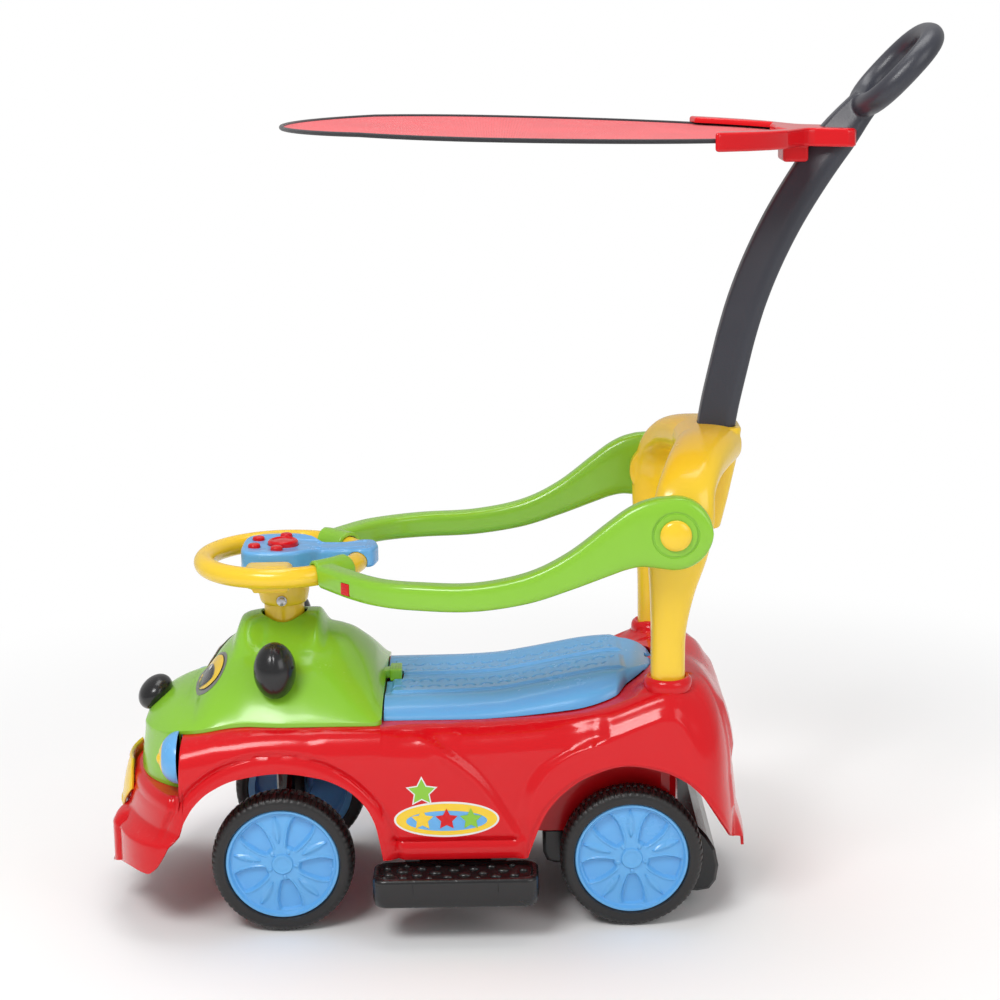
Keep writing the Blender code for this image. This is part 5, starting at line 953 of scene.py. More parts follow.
def opening_point(kind, value):
    """Plan position of the deck opening's edge for one column."""
    if kind == "nose":
        turn = math.radians(value)
        return -0.093 - 0.030 * math.cos(turn) ** 0.9, 0.098 * math.sin(turn) ** 0.9
    if kind == "side" and value <= SEAT_TURN:
        return value, mix(0.098, 0.088, smooth(HOOD_REAR - 0.002, HOOD_REAR + 0.004, value))
    if kind == "side":
        angle = math.radians(62) * (value - SEAT_TURN) / (TAIL_CORNER - SEAT_TURN)
    else:
        angle = math.radians(mix(62, 90, value / 90.0))
    return SEAT_TURN + (SEAT_TAIL - SEAT_TURN) * math.sin(angle), 0.088 * math.cos(angle)


def deck_relief(s, y):
    """The collar round each post and the soft step before it."""
    reach = math.hypot(s - POST_SPOT[0], abs(y) - POST_SPOT[1])
    collar = 0.0085 * (1 - smooth(0.0205, 0.0245, reach)) + 0.0020 * (1 - smooth(0.0250, 0.0330, reach))
    return collar - 0.0008 * bump(0.034, 0.040, 0.003, reach)


def body_column(kind, value, sizes):
    """Points from the wall's bottom edge up, over the shoulder and in to the opening."""
    s_ref = wall_point(kind, value, 0.11, sizes)[0]
    nose = kind == "nose"
    tail = smooth(TAIL_CORNER - 0.015, TAIL_CORNER + 0.030, s_ref)
    under_hood = s_ref < HOOD_REAR
    bottom = through(NOSE_BOTTOM, value) if nose else mix(SILL_Z, 0.068, smooth(0.440, 0.456, s_ref))
    bottom = max(bottom, arch_height(s_ref))
    to_side = smooth(-0.1010, -0.0965, s_ref)
    top = mix(SNOUT_RIM_Z, deck_height(s_ref), to_side) if nose else deck_height(s_ref)
    drop = mix(0.028, 0.098, tail)
    shoulder = top - (mix(0.014, drop, to_side) if nose else drop)
    level = through(LEDGE_HEIGHT, value) if nose else bottom + 0.012
    low_knot = min(max(bottom + 0.003, level - 0.006), shoulder - 0.004)
    high_knot = min(max(low_knot + 0.002, level + 0.007), shoulder - 0.002)
    heights = spread(bottom, low_knot, 9)[:-1] + spread(low_knot, high_knot, 13)[:-1]
    heights += spread(high_knot, shoulder, 22)
    points = [Vector((*wall_point(kind, value, z, sizes), z)) for z in heights]
    s0, y0 = wall_point(kind, value, shoulder, sizes)
    s1, y1 = opening_point(kind, value)
    run = math.hypot(s1 - s0, y1 - y0)
    beside_hood = sizes.half_width - hood_half_width(s_ref) + 0.0004
    beside_seat = mix(mix(0.0205, 0.030, smooth(HOOD_REAR, 0.125, s_ref)), 0.050, tail)
    inset = beside_seat if not under_hood else mix(0.009, beside_hood, to_side)
    share = min(0.85, inset / run)
    rim_s, rim_y = mix(s0, s1, share), mix(y0, y1, share)
    flat = nose or under_hood
    rim_z = top if flat else deck_height(rim_s)
    for angle in spread(0, 90, 13)[1:]:
        turn = math.radians(angle)
        p = Vector((mix(s0, rim_s, 1 - math.cos(turn)), mix(y0, rim_y, 1 - math.cos(turn)),
                    mix(shoulder, rim_z, math.sin(turn))))
        if kind == "side":
            p.y += (side_width(s0, p.z, sizes) - side_width(s0, shoulder, sizes)) * math.cos(turn)
        if kind == "tail":
            p.x += tail_relief(p.x, p.y, p.z)
        valley = bump(22, 48, 14, angle) * smooth(0.262, 0.300, s_ref) * (1 - smooth(0.405, 0.430, s_ref))
        points.append(p - Vector((0.0, 0.0014, 0.0020)) * valley)
    for share in spread(0, 1, 18)[1:]:
        s, y = mix(rim_s, s1, share), mix(rim_y, y1, share)
        z = top if flat else deck_height(s)
        points.append(Vector((s, y, z + (0.0 if flat else deck_relief(s, y)))))
    return points


def arch_stations(arch):
    """Stations that are close together at the two steep ends of an arch."""
    middle, half = (arch[0][0] + arch[-1][0]) / 2, (arch[-1][0] - arch[0][0]) / 2
    return [middle - half * math.cos(math.radians(turn)) for turn in spread(0, 180, 91)]


def body_columns():
    """Columns from the nose round the near side to the tail, closer where the shape is fine."""
    half = [("nose", turn) for turn in spread(0, 10, 9) + spread(10.8, 30, 34) + spread(31, 72, 36)]
    half += [("nose", turn) for turn in spread(72.6, 90, 24)]
    stations = [s for s in arch_stations(FRONT_ARCH) if s > NOSE_CORNER + 0.0005]
    stations += spread(0.1035, 0.2450, 62) + [s for s in arch_stations(REAR_ARCH) if s < TAIL_CORNER - 0.0005]
    half += [("side", s) for s in stations]
    half += [("tail", 90 * smooth(0, 1, share)) for share in spread(0.0, 1.0, 80)]
    return half


def make_body_shell(sizes):
    """The whole shell: one half's columns, their mirror and a wall."""
    half = [body_column(kind, value, sizes) for kind, value in body_columns()]
    columns = [[spot(p.x, -p.y, p.z) for p in column] for column in half]
    columns += [[spot(p.x, p.y, p.z) for p in column] for column in reversed(half[1:-1])]
    shell = skin("shell", columns, loop=True)
    thicken(shell, sizes.wall, even=False)
    return shell


def make_collar(name, side):
    """A rounded ring where a post of the backrest frame enters the deck."""
    profile = [(0.0160, 0.2440), (0.0236, 0.2440), (0.0242, 0.2470), (0.0240, 0.2515), (0.0228, 0.2548),
               (0.0206, 0.2566), (0.0184, 0.2562), (0.0168, 0.2540), (0.0160, 0.2500)]
    return turned("collar_" + name, profile, spot(POST_SPOT[0], side * POST_SPOT[1], 0), (0, 0, 1), 80)


FILM_CORNERS = 96
STICKER = (
    # finish, slot, centre along and up, half length, half height, points of a star or 0 for an oval
    ("Eye White", "steel", (0.1660, 0.1240), 0.0520, 0.0185, 0),
    ("Yellow Plastic", "yellow_plastic", (0.1660, 0.1240), 0.0500, 0.0165, 0),
    ("Blue Plastic", "blue_plastic", (0.1660, 0.1225), 0.0400, 0.0105, 0),
    ("Eye White", "steel", (0.1420, 0.1530), 0.0165, 0.0165, 5),
    ("Green Plastic", "green_plastic", (0.1420, 0.1530), 0.0138, 0.0138, 5),
    ("Yellow Plastic", "yellow_plastic", (0.1420, 0.1240), 0.0115, 0.0115, 5),
    ("Red Plastic", "red_plastic", (0.1660, 0.1240), 0.0115, 0.0115, 5),
    ("Green Plastic", "green_plastic", (0.1900, 0.1240), 0.0115, 0.0115, 5),
)


def make_sticker_layer(name, side, layer, centre, half_length, half_height, points, sizes):
    """One film of the plain star sticker on the side wall."""
    def onto(s, z):
        return spot(s, side * side_width(s, z, sizes), z)

    corners = 2 * points if points else FILM_CORNERS
    outline = []
    for i in range(corners):
        angle = math.pi / 2 + 2 * math.pi * i / corners
        reach = 0.50 if points and i % 2 else 1.0
        outline.append((centre[0] + half_length * reach * math.cos(angle),
                        centre[1] + half_height * reach * math.sin(angle)))
    return patch(name, centre, outline, onto, -(0.00020 + 0.00010 * layer) * side, 20)


class CAR_OT_body(bpy.types.Operator):
    """Builds the red body shell, the collars round the posts and the side stickers"""
    bl_idname = "car.body"
    bl_label = "Body"

    def execute(self, context):
        sizes = context.scene.car_body
        place(make_body_shell(sizes), "Red Plastic", "car", "red_plastic", "body_shell", sharp=50.0)
        for name, side in SIDES:
            place(make_collar(name, side), "Red Plastic", "car", "red_plastic")
            for layer, (finish, slot, *outline) in enumerate(STICKER):
                film = make_sticker_layer("sticker_%d_%s" % (layer, name), side, layer, *outline, sizes)
                place(film, finish, "car", slot)
        return {"FINISHED"}


# Hood and face

HOOD_CROWN = ((-0.152, 0.190), (-0.146, 0.202), (-0.134, 0.2135), (-0.122, 0.2205), (-0.110, 0.2250),
              (-0.097, 0.2280), (-0.088, 0.2315), (-0.080, 0.2430), (-0.070, 0.2575), (-0.060, 0.2680),
              (-0.050, 0.2765), (-0.035, 0.2845), (-0.010, 0.2875), (0.030, 0.2875), (0.046, 0.2850),
              (0.065, 0.2790), (0.081, 0.2670), (0.092, 0.2545), (0.099, 0.2420), (0.103, 0.2340))
HOOD_WIDTH = 0.1195
SNOUT_WIDTH = 0.112
SNOUT_START = -0.060
SNOUT_LENGTH = 0.092
COLUMN_HOLE = 0.024
HOOD_CORNER_RADIUS = 0.008
LAMP_EDGE = -0.099


def hood_seam(s):
    """Height of the seam between hood and body, which dips towards the nose."""
    return mix(0.2045, 0.2147, smooth(-0.105, -0.025, s))


def hood_half_width(s):
    """Half width of the hood at one station."""
    if s < SNOUT_START:
        inside = max(0.0, 1 - ((SNOUT_START - s) / SNOUT_LENGTH) ** 2.2)
        return max(0.004, SNOUT_WIDTH * inside ** (1 / 2.2))
    return mix(SNOUT_WIDTH, HOOD_WIDTH, smooth(SNOUT_START, 0.010, s))


def hood_height(s, y):
    """Height of the hood's skin, with the raised pad and its scoop round the steering column."""
    crown = through(HOOD_CROWN, s)
    edge = min(crown - 0.001, hood_seam(s) + 0.004 - 0.0095 * smooth(-0.090, -0.140, s))
    across = min(1.0, abs(y) / hood_half_width(s))
    z = edge + (crown - edge) * max(0.0, 1 - across ** 2.2) ** 0.92
    pad = 1 - smooth(0.0390, 0.0500, abs(s + 0.004))
    pad *= max(0.0, 1 - (y / 0.058) ** 2)
    scoop = smooth(0.016, 0.040, abs(y)) * (1 - smooth(0.018, 0.036, abs(s)))
    brow = 0.0012 * bump(-0.094, -0.088, 0.005, s) * (1 - smooth(0.040, 0.070, abs(y)))
    return z + 0.0155 * pad * (1 - 0.8 * scoop) - brow


def hood_outline():
    """Half of the rim in plan, from the nose to the rear, as (s, y, rim height)."""
    points = []
    for turn in spread(0, 64.0, 56) + spread(64.7, 90, 20)[:-1]:
        c, d = math.cos(math.radians(turn)), math.sin(math.radians(turn))
        s = SNOUT_START - SNOUT_LENGTH * c ** (2 / 2.2)
        points.append((s, SNOUT_WIDTH * d ** (2 / 2.2), SNOUT_RIM_Z if s < LAMP_EDGE else hood_seam(s)))
    bend = HOOD_CORNER_RADIUS
    points += [(s, hood_half_width(s), hood_seam(s)) for s in spread(SNOUT_START, HOOD_REAR - bend, 64)[:-1]]
    for turn in spread(0, 90, 10):
        c, d = math.cos(math.radians(turn)), math.sin(math.radians(turn))
        points.append((HOOD_REAR - bend + bend * d, HOOD_WIDTH - bend + bend * c, hood_seam(0.1)))
    points += [(HOOD_REAR, y, 0.2165) for y in spread(HOOD_WIDTH - bend - 0.002, 0.0, 36)]
    return points


def hood_column(s, y, rim):
    """Points from the column's hole out to the edge and down to the rim."""
    reach = math.hypot(s, y)
    nose = 1 - smooth(-0.135, LAMP_EDGE, s)
    points = []
    for u in spread(0, 1, 92):
        share = 1 - (1 - u) ** 1.7
        distance = mix(COLUMN_HOLE, reach, share)
        px, py = s / reach * distance, y / reach * distance
        inset = 1 - 0.005 / reach * share ** 8 * nose
        points.append(Vector((px * inset, py * inset, hood_height(px, py))))
    top = points[-1]
    for share in spread(0, 1, 12)[1:]:
        z = mix(top.z, rim + 0.0003, share)
        out = 0.005 / reach * nose * (1 - smooth(0, 1, share))
        points.append(Vector((s * (1 - out), y * (1 - out), z)))
    return points


def make_hood():
    """The hood's skin with its hole for the column, and its wall."""
    half = [hood_column(*point) for point in hood_outline()]
    columns = [[spot(p.x, -p.y, p.z) for p in column] for column in half]
    columns += [[spot(p.x, p.y, p.z) for p in column] for column in reversed(half[1:-1])]
    hood = skin("hood_skin", columns, loop=True)
    thicken(hood, 0.0025, even=False)
    return hood


def patch(name, centre, outline, onto, lift, steps=12):
    """A thin film that lies on a surface, inside an outline given in the surface's own two coordinates."""
    columns = []
    for a, b in outline:
        column = []
        for share in spread(0.0, 1.0, steps):
            u, v = mix(centre[0], a, share), mix(centre[1], b, share)
            along = onto(u + 0.0005, v) - onto(u - 0.0005, v)
            across = onto(u, v + 0.0005) - onto(u, v - 0.0005)
            outward = along.cross(across).normalized()
            column.append(onto(u, v) + outward * lift)
        columns.append(column)
    film = skin(name, columns, loop=True)
    weld(film)
    return film


def hood_film(name, side, layer, centre, half_length, half_width, turn=0.0, egg=0.0):
    """An oval film on the forehead, laid out in the plane that touches the hood at its centre."""
    def onto(s, y):
        return spot(s, side * y, hood_height(s, y))

    s0, y0 = centre
    along = (onto(s0 + 0.001, y0) - onto(s0 - 0.001, y0)).normalized()
    across = onto(s0, y0 + 0.001) - onto(s0, y0 - 0.001)
    across = (across - along * across.dot(along)).normalized()
    outline = []
    for i in range(FILM_CORNERS):
        angle = 2 * math.pi * i / FILM_CORNERS
        a = half_length * math.cos(angle)
        b = half_width * math.sin(angle) * (1 + egg * math.cos(angle))
        p = along * (a * math.cos(turn) + b * math.sin(turn))
        p += across * (b * math.cos(turn) - a * math.sin(turn))
        outline.append((s0 + p.x, max(0.0015, y0 + side * p.y)))
    return patch(name, centre, outline, onto, (0.00030 + 0.00032 * layer) * side, 20)


EYE_LAYERS = (
    # name, finish, slot, centre along and across, half length, half width, turn, how much wider ahead
    ("eye_field", "Eye Grey", "slate_plastic", (-0.0765, 0.0300), 0.0440, 0.0262, -1.093, 0.401),
    ("eye_line", "Black Plastic", "black_plastic", (-0.0762, 0.0298), 0.0392, 0.0216, -1.093, 0.401),
    ("eye_iris", "Yellow Plastic", "yellow_plastic", (-0.0762, 0.0298), 0.0380, 0.0204, -1.093, 0.401),
    ("eye_pupil_line", "Eye Grey", "slate_plastic", (-0.0790, 0.0325), 0.0138, 0.0282, 0.391, 0.168),
    ("eye_pupil", "Black Plastic", "black_plastic", (-0.0790, 0.0325), 0.0120, 0.0261, 0.391, 0.168),
    ("eye_glint", "Eye White", "steel", (-0.0730, 0.0330), 0.0030, 0.0044, 0.391, 0.0),
)


NOSE_CENTRE = (-0.1375, 0.0, 0.2165)
NOSE_RADII = (0.020, 0.024, 0.015)
EAR_CENTRE = (-0.002, 0.100, 0.268)
EAR_RADII = (0.021, 0.024, 0.0285)
LAMP_CENTRE = (-0.0985, 0.108, 0.1822)
LAMP_RADII = (0.0215, 0.0290, 0.0262)
LENS_CENTRE = (-0.1175, 0.1150, 0.1835)
LENS_RADII = (0.0040, 0.0050, 0.0060)


def make_ear(name, side):
    """An egg with a fine seam down its outer face and a small vent behind."""
    ear = ellipsoid("ear_shell_" + name, (0, 0, 0), EAR_RADII, 0.0, 160, 96)
    centre = spot(EAR_CENTRE[0], side * EAR_CENTRE[1], EAR_CENTRE[2])
    for vertex in ear.data.vertices:
        p = vertex.co
        seam = (1 - smooth(0.0002, 0.0011, abs(p.x))) * smooth(0.0, 0.004, side * p.y)
        vent = 1 - smooth(0.0004, 0.0012, math.hypot(p.x - 0.0185, p.z - 0.0060)) if side * p.y > 0 else 0.0
        p -= p.normalized() * (0.00045 * seam + 0.0016 * vent)
        vertex.co = p + centre
    return ear


def make_lamp_piece(name, side, grow, shift, radii=LAMP_RADII, centre=LAMP_CENTRE):
    """An egg-shaped pod with a flat back and a flat foot."""
    where = spot(centre[0] + shift, side * centre[1], centre[2])
    pod = ellipsoid(name, where, tuple(r * grow for r in radii), 0.0, 128, 64)
    trim(pod, spot(LAMP_EDGE - 0.0003, 0, 0), (1, 0, 0))
    trim(pod, spot(0, 0, SNOUT_RIM_Z + 0.0006), (0, 0, -1))
    return pod


def nose_front(y, z):
    """Station of the body's nose, without its relief."""
    power = nose_power(z)
    inside = max(0.0, 1 - abs(y / 0.140) ** power)
    return NOSE_CORNER - through(NOSE_DEPTH, z) * inside ** (1 / power)


PLATE_MIDDLE_Z = 0.1295
PLATE_HALF_HEIGHT = 0.0262
PLATE_HALF_WIDTH = 0.0540
PLATE_END_WIDTH = 0.0330
PLATE_FRONT = ((0.1000, -0.1768), (0.1130, -0.1757), (0.1290, -0.1727), (0.1430, -0.1692), (0.1590, -0.1625))


def make_plate():
    """The blank plate: an elongated hexagon with a raised border, bowed round the nose."""
    columns = []
    for i in spread(-1, 1, 72):
        column = []
        for level in spread(-1, 1, 44):
            width = mix(PLATE_HALF_WIDTH, PLATE_END_WIDTH, abs(level))
            y = i * width
            z = PLATE_MIDDLE_Z + level * PLATE_HALF_HEIGHT
            edge = min((1 - abs(level)) * PLATE_HALF_HEIGHT, (1 - abs(i)) * width * 0.83)
            ends = nose_front(PLATE_HALF_WIDTH, max(z, 0.114)) - 0.0024
            border = 0.0014 * (1 - smooth(0.0038, 0.0050, edge)) - 0.0010 * (1 - smooth(0.0, 0.0010, edge))
            front = mix(through(PLATE_FRONT, z), ends, (y / PLATE_HALF_WIDTH) ** 2)
            column.append(spot(front - border, y, z))
        columns.append(column)
    plate = skin("plate", columns)
    thicken(plate, 0.0026, even=False)
    return plate


class CAR_OT_face(bpy.types.Operator):
    """Builds the green hood with its eyes, ears, nose, lamps and blank plate"""
    bl_idname = "car.face"
    bl_label = "Face"

    def execute(self, context):
        place(make_hood(), "Green Plastic", "car", "green_plastic", "hood", sharp=55.0)
        nose = ellipsoid("nose_ball", spot(*NOSE_CENTRE), NOSE_RADII, math.radians(-45), 128, 72)
        place(nose, "Black Plastic", "car", "black_plastic", "nose")
        place(make_plate(), "Yellow Plastic", "car", "yellow_plastic", "number_plate")
        for name, side in SIDES:
            place(make_ear(name, side), "Black Plastic", "car", "black_plastic", "ear_" + name)
            place(make_lamp_piece("lamp_" + name, side, 1.0, 0.0), "Blue Plastic", "car", "blue_plastic",
                  "headlight_" + name)
            place(make_lamp_piece("lamp_trim_" + name, side, 0.950, -0.0014), "Yellow Plastic", "car",
                  "yellow_plastic", "headlight_trim_" + name)
            place(make_lamp_piece("lamp_lens_" + name, side, 1.0, 0.0, LENS_RADII, LENS_CENTRE),
                  "Yellow Plastic", "car", "yellow_plastic", "headlight_lens_" + name)
            for layer, (label, finish, slot, *outline) in enumerate(EYE_LAYERS):
                place(hood_film(label + "_" + name, side, layer, *outline), finish, "car", slot)
        return {"FINISHED"}


# Canopy

def canopy_rim_points(number, inset=0.0):
    """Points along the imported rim's middle line, in order round it."""
    low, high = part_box("canopy_rim")
    front, rear = low.x - AXLE_X + 0.0022, high.x - AXLE_X - 0.0022
    half = high.y - 0.0022
    widest = CANOPY_WIDEST
    points = []
    for i in range(number):
        angle = 2 * math.pi * i / number
        c, d = math.cos(angle), math.sin(angle)
        reach = rear - widest if c > 0 else widest - front
        s, y = widest + (reach - inset) * c, (half - inset) * d
        points.append(spot(s, y, canopy_level(s)))
    return points


CANOPY_WIDEST = 0.220
CANOPY_MIDDLE = CANOPY_WIDEST + 0.05
CANOPY_FRONT_Z = 0.7945
CANOPY_SLOPE = 0.037
CANOPY_CORNERS = 160
CLOTH_THICKNESS = 0.0007


def canopy_level(s):
    """Height of the canopy's plane at one station."""
    return CANOPY_FRONT_Z - CANOPY_SLOPE * max(0.0, s - 0.100)


class CAR_OT_canopy(bpy.types.Operator):
    """Stretches the cloth on its bound wire"""
    bl_idname = "car.canopy"
    bl_label = "Canopy"

    def execute(self, context):
        sizes = context.scene.car_canopy
        rim = tube("canopy_binding", canopy_rim_points(CANOPY_CORNERS), sizes.rim_radius, 12, loop=True)
        place(rim, "Binding Tape", "push_bar", "binding", "canopy_rim")
        middle = spot(CANOPY_MIDDLE, 0.0, canopy_level(CANOPY_MIDDLE))
        edge = canopy_rim_points(CANOPY_CORNERS, 0.0018)
        columns = []
        for point in edge:
            column = []
            for share in spread(0.0, 1.0, 26):
                p = middle.lerp(point, share)
                p.z = canopy_level(p.x - AXLE_X) - sizes.sag * (1 - share ** 2)
                column.append(p)
            columns.append(column)
        sheet = weld(skin("canopy_cloth", columns, loop=True))
        thicken(sheet, CLOTH_THICKNESS)
        place(sheet, "Mesh Cloth", "push_bar", "mesh_fabric", "canopy_fabric")
        return {"FINISHED"}


# Seat lid and its latch

SEAT_FRONT = 0.1045
SEAT_REAR = 0.3775
SEAT_BEND = 0.290
SEAT_WIDTH = 0.100
SEAT_TOP_WIDTH = 0.064
SEAT_TAIL_TOP = 0.86
SEAT_WALL = 0.0026
CRESCENT_START = 0.1180
CRESCENT_PITCH = 0.0178
CRESCENT_COUNT = 12.4
CRESCENT_RADIUS = 0.0056
CRESCENT_DEPTH = 0.0014
CRESCENT_ROWS = ((0.0220, 0.0), (0.0400, 0.5))
PAD_RISE = 0.0027
SEAT_CROWN = ((SEAT_FRONT, 0.2285), (0.170, 0.229), (0.215, 0.231), (0.250, 0.2365), (0.282, 0.2425),
              (0.310, 0.2475), (0.334, 0.2502), (0.352, 0.2502), (0.364, 0.2492), (0.373, 0.2468),
              (SEAT_REAR, 0.2435))
HINGE = (0.3765, 0.2402)
KNUCKLE_RADIUS = 0.0039
PIN_RADIUS = 0.0020
CATCH_RIBS = (0.1105, 0.1134, 0.1163)


def hinge_rod(name, start, end, radius, sides):
    """A rod on the lid's hinge axis."""
    return rod(name, spot(HINGE[0], start, HINGE[1]), spot(HINGE[0], end, HINGE[1]), radius, sides)


def rounded_end(s, span, half_width, power=2.0):
    """Half width at a station of a plan that ends in a half oval."""
    share = max(0.0, (s - SEAT_BEND) / span)
    return half_width * max(0.0, 1 - share ** power) ** (1 / power)


def scallop(s, y):
    """Depth of the rows of crescents pressed into the seat's two pads."""
    depth = 0.0
    for row, offset in CRESCENT_ROWS:
        cell = (s - CRESCENT_START) / CRESCENT_PITCH + offset
        if not 0.0 < cell < CRESCENT_COUNT:
            continue
        along = (cell - math.floor(cell) - 0.5) * CRESCENT_PITCH
        across = abs(y) - row
        reach = math.hypot(along, across)
        facing = smooth(-0.0020, 0.0010, -across)
        depth = max(depth, facing * (1 - smooth(0.0007, 0.0017, abs(reach - CRESCENT_RADIUS))))
    return CRESCENT_DEPTH * depth


def seat_relief(s, y):
    """The two pads beside the middle channel and their crescents."""
    pad = smooth(0.0080, 0.0105, abs(y)) * (1 - smooth(0.0520, 0.0550, abs(y)))
    pad *= smooth(0.1095, 0.1130, s) * (1 - smooth(0.342, 0.350, s))
    return PAD_RISE * pad - scallop(s, y) * pad


def seat_column(source, s, low=None):
    """One section across the lid, from the near skirt's edge to the far one."""
    opening = rounded_end(source, SEAT_REAR + 0.0035 - SEAT_BEND, 0.088)
    lid = rounded_end(source, SEAT_REAR + 0.001 - SEAT_BEND, SEAT_WIDTH, 2.3)
    width = max(0.006, mix(lid, min(lid, opening - 0.0022), smooth(0.337, 0.350, source)))
    crown = through(SEAT_CROWN, source)
    bottom = deck_height(source) + 0.0003 + 0.0009 * smooth(0.200, 0.290, source)
    bottom = min(bottom, crown - 0.004)
    top_width = width * mix(SEAT_TOP_WIDTH / SEAT_WIDTH, SEAT_TAIL_TOP, smooth(0.325, 0.362, source))
    dish = 0.0025 * (1 - smooth(SEAT_BEND, SEAT_REAR, source))
    half = []
    for share in spread(0, 1, 26)[:-1]:
        lean = math.sin(math.pi / 2 * share)
        y = mix(width, top_width, 1 - math.cos(math.pi / 2 * share) * (1 - 0.15 * share))
        half.append((y, mix(bottom, crown, lean)))
    for share in spread(0, 1, 92):
        y = top_width * (1 - share)
        z = crown - dish * math.sin(math.pi * share) ** 1.2 * 0.9 - dish * 0.2 * smooth(0.6, 1.0, share)
        half.append((y, z + seat_relief(source, y) * smooth(0.0, 0.05, share)))
    points = [(y, z if low is None else low) for y, z in half]
    return [spot(s, -y, z) for y, z in points] + [spot(s, y, z) for y, z in reversed(points[:-1])]


def make_seat_lid():
    """The lid's skin with the notch for its catch, the slot for its hinge and two knuckles."""
    low = seat_column(SEAT_FRONT, SEAT_FRONT)[0].z
    columns = [seat_column(SEAT_FRONT, SEAT_FRONT, low)]
    columns += [seat_column(s, s) for s in spread(SEAT_FRONT, 0.337, 330) + spread(0.3375, SEAT_REAR, 60)]
    columns.append(seat_column(SEAT_REAR, SEAT_REAR + 0.0008, seat_column(SEAT_REAR, SEAT_REAR)[0].z - 0.004))

    def keep(i, j):
        p = columns[i][j]
        s = p.x - AXLE_X
        return not (s < 0.1205 and abs(p.y) < 0.0135 or s > 0.3703 and abs(p.y) < 0.0065)

    lid = skin("seat_skin", columns, keep=keep)
    thicken(lid, SEAT_WALL, even=False)
    bake(lid)
    knuckles = [hinge_rod("knuckle", side * 0.0065, side * 0.0145, KNUCKLE_RADIUS, 40) for name, side in SIDES]
    return merge(lid, *knuckles)


def make_latch():
    """The green catch with its stem and three grip ribs."""
    latch = box_block("catch", spot(0.1073, -0.0125, 0.2265), spot(0.1195, 0.0125, 0.2395))
    soften(latch, 0.0016, 4)
    bake(latch)
    stem = box_block("stem", spot(0.078, -0.0080, 0.2289), spot(0.1093, 0.0080, 0.2371))
    soften(stem, 0.0008, 3)
    ribs = [rod("rib", spot(s, -0.0085, 0.2394), spot(s, 0.0085, 0.2394), 0.0005, 12) for s in CATCH_RIBS]
    merge(latch, stem, *ribs)
    return latch


class CAR_OT_seat(bpy.types.Operator):
    """Builds the blue seat lid, its hinge pin and its catch"""
    bl_idname = "car.seat"
    bl_label = "Seat"

    def execute(self, context):
        place(make_seat_lid(), "Blue Plastic", "seat_lid", "blue_plastic", "seat_lid", sharp=50.0)
        place(make_latch(), "Green Plastic", "seat_latch", "green_plastic", "seat_latch")
        pin = hinge_rod("hinge_pin", -0.0150, 0.0150, PIN_RADIUS, 32)
        soften(pin, 0.0004, 2)
        place(pin, "Turned Steel", "car", "steel", "seat_hinge_pin")
        return {"FINISHED"}


# Steering

RING_Z = 0.357
RING_RADIUS = 0.080
RING_TUBE = 0.0105
PLATE_TOP = 0.3505
BOX_TOP = 0.3735
BOLT_Z = 0.3185
BOLT_RADIUS = 0.0020
COLUMN_RADIUS = 0.0205
COLUMN_BORE = 0.0063
HUB_PROFILE = ((0.0208, 0.3120), (0.0228, 0.3120), (0.0240, 0.3135), (0.0250, 0.3170), (0.0258, 0.3212),
               (0.0263, 0.3235), (0.0264, 0.3370), (0.0285, 0.3400), (0.0310, 0.3420),
               (0.0312, PLATE_TOP - 0.001), (0.0300, PLATE_TOP), (0.0, PLATE_TOP), (0.0, 0.3353),
               (0.0208, 0.3353))
COLUMN_PROFILE = ((COLUMN_BORE, 0.2163), (COLUMN_RADIUS, 0.2163), (COLUMN_RADIUS, 0.3342), (0.0197, 0.3350),
                  (0.0, 0.3350), (0.0, 0.3005), (COLUMN_BORE, 0.3005))
MUSIC_OUTLINE = ((-0.0405, 0.0), (-0.0395, 0.024), (-0.0320, 0.0370), (-0.0120, 0.0425), (0.0140, 0.0415),
                 (0.0290, 0.0310), (0.0420, 0.0200), (0.0650, 0.0180), (0.0820, 0.0220), (0.0940, 0.0180),
                 (0.0985, 0.0))
LINE_RADIUS = 0.0009
MUSIC_BUTTONS = (
    # name, centre along and across, radius
    ("music_button_front_left", -0.0270, -0.0140, 0.0062),
    ("music_button_front_right", -0.0255, 0.0165, 0.0062),
    ("music_button_rear_left", -0.0030, -0.0260, 0.0062),
    ("music_button_rear_right", 0.0020, 0.0285, 0.0062),
    ("music_button_middle", 0.0010, 0.0010, 0.0155),
)


def ring_tube(name, radius, thickness, z, segments=180, sides=28, start=0.0, end=360.0):
    """A bent round tube about the column's axis, from start to end degrees."""
    whole = end - start >= 360.0
    rings = []
    for i in range(segments if whole else segments + 1):
        angle = math.radians(mix(start, end, i / segments))
        outward = Vector((math.cos(angle), math.sin(angle), 0))
        ring = []
        for j in range(sides):
            turn = 2 * math.pi * (j + 0.5) / sides
            ring.append(spot(0, 0, z) + outward * (radius + thickness * math.cos(turn))
                        + Vector((0, 0, thickness * math.sin(turn))))
        rings.append(ring)
    return loft(name, rings, loop=whole)


def bolt_rod(name, start, end, radius, sides):
    """A rod on the axis of the bolt through the hub."""
    return rod(name, spot(0, start, BOLT_Z), spot(0, end, BOLT_Z), radius, sides)


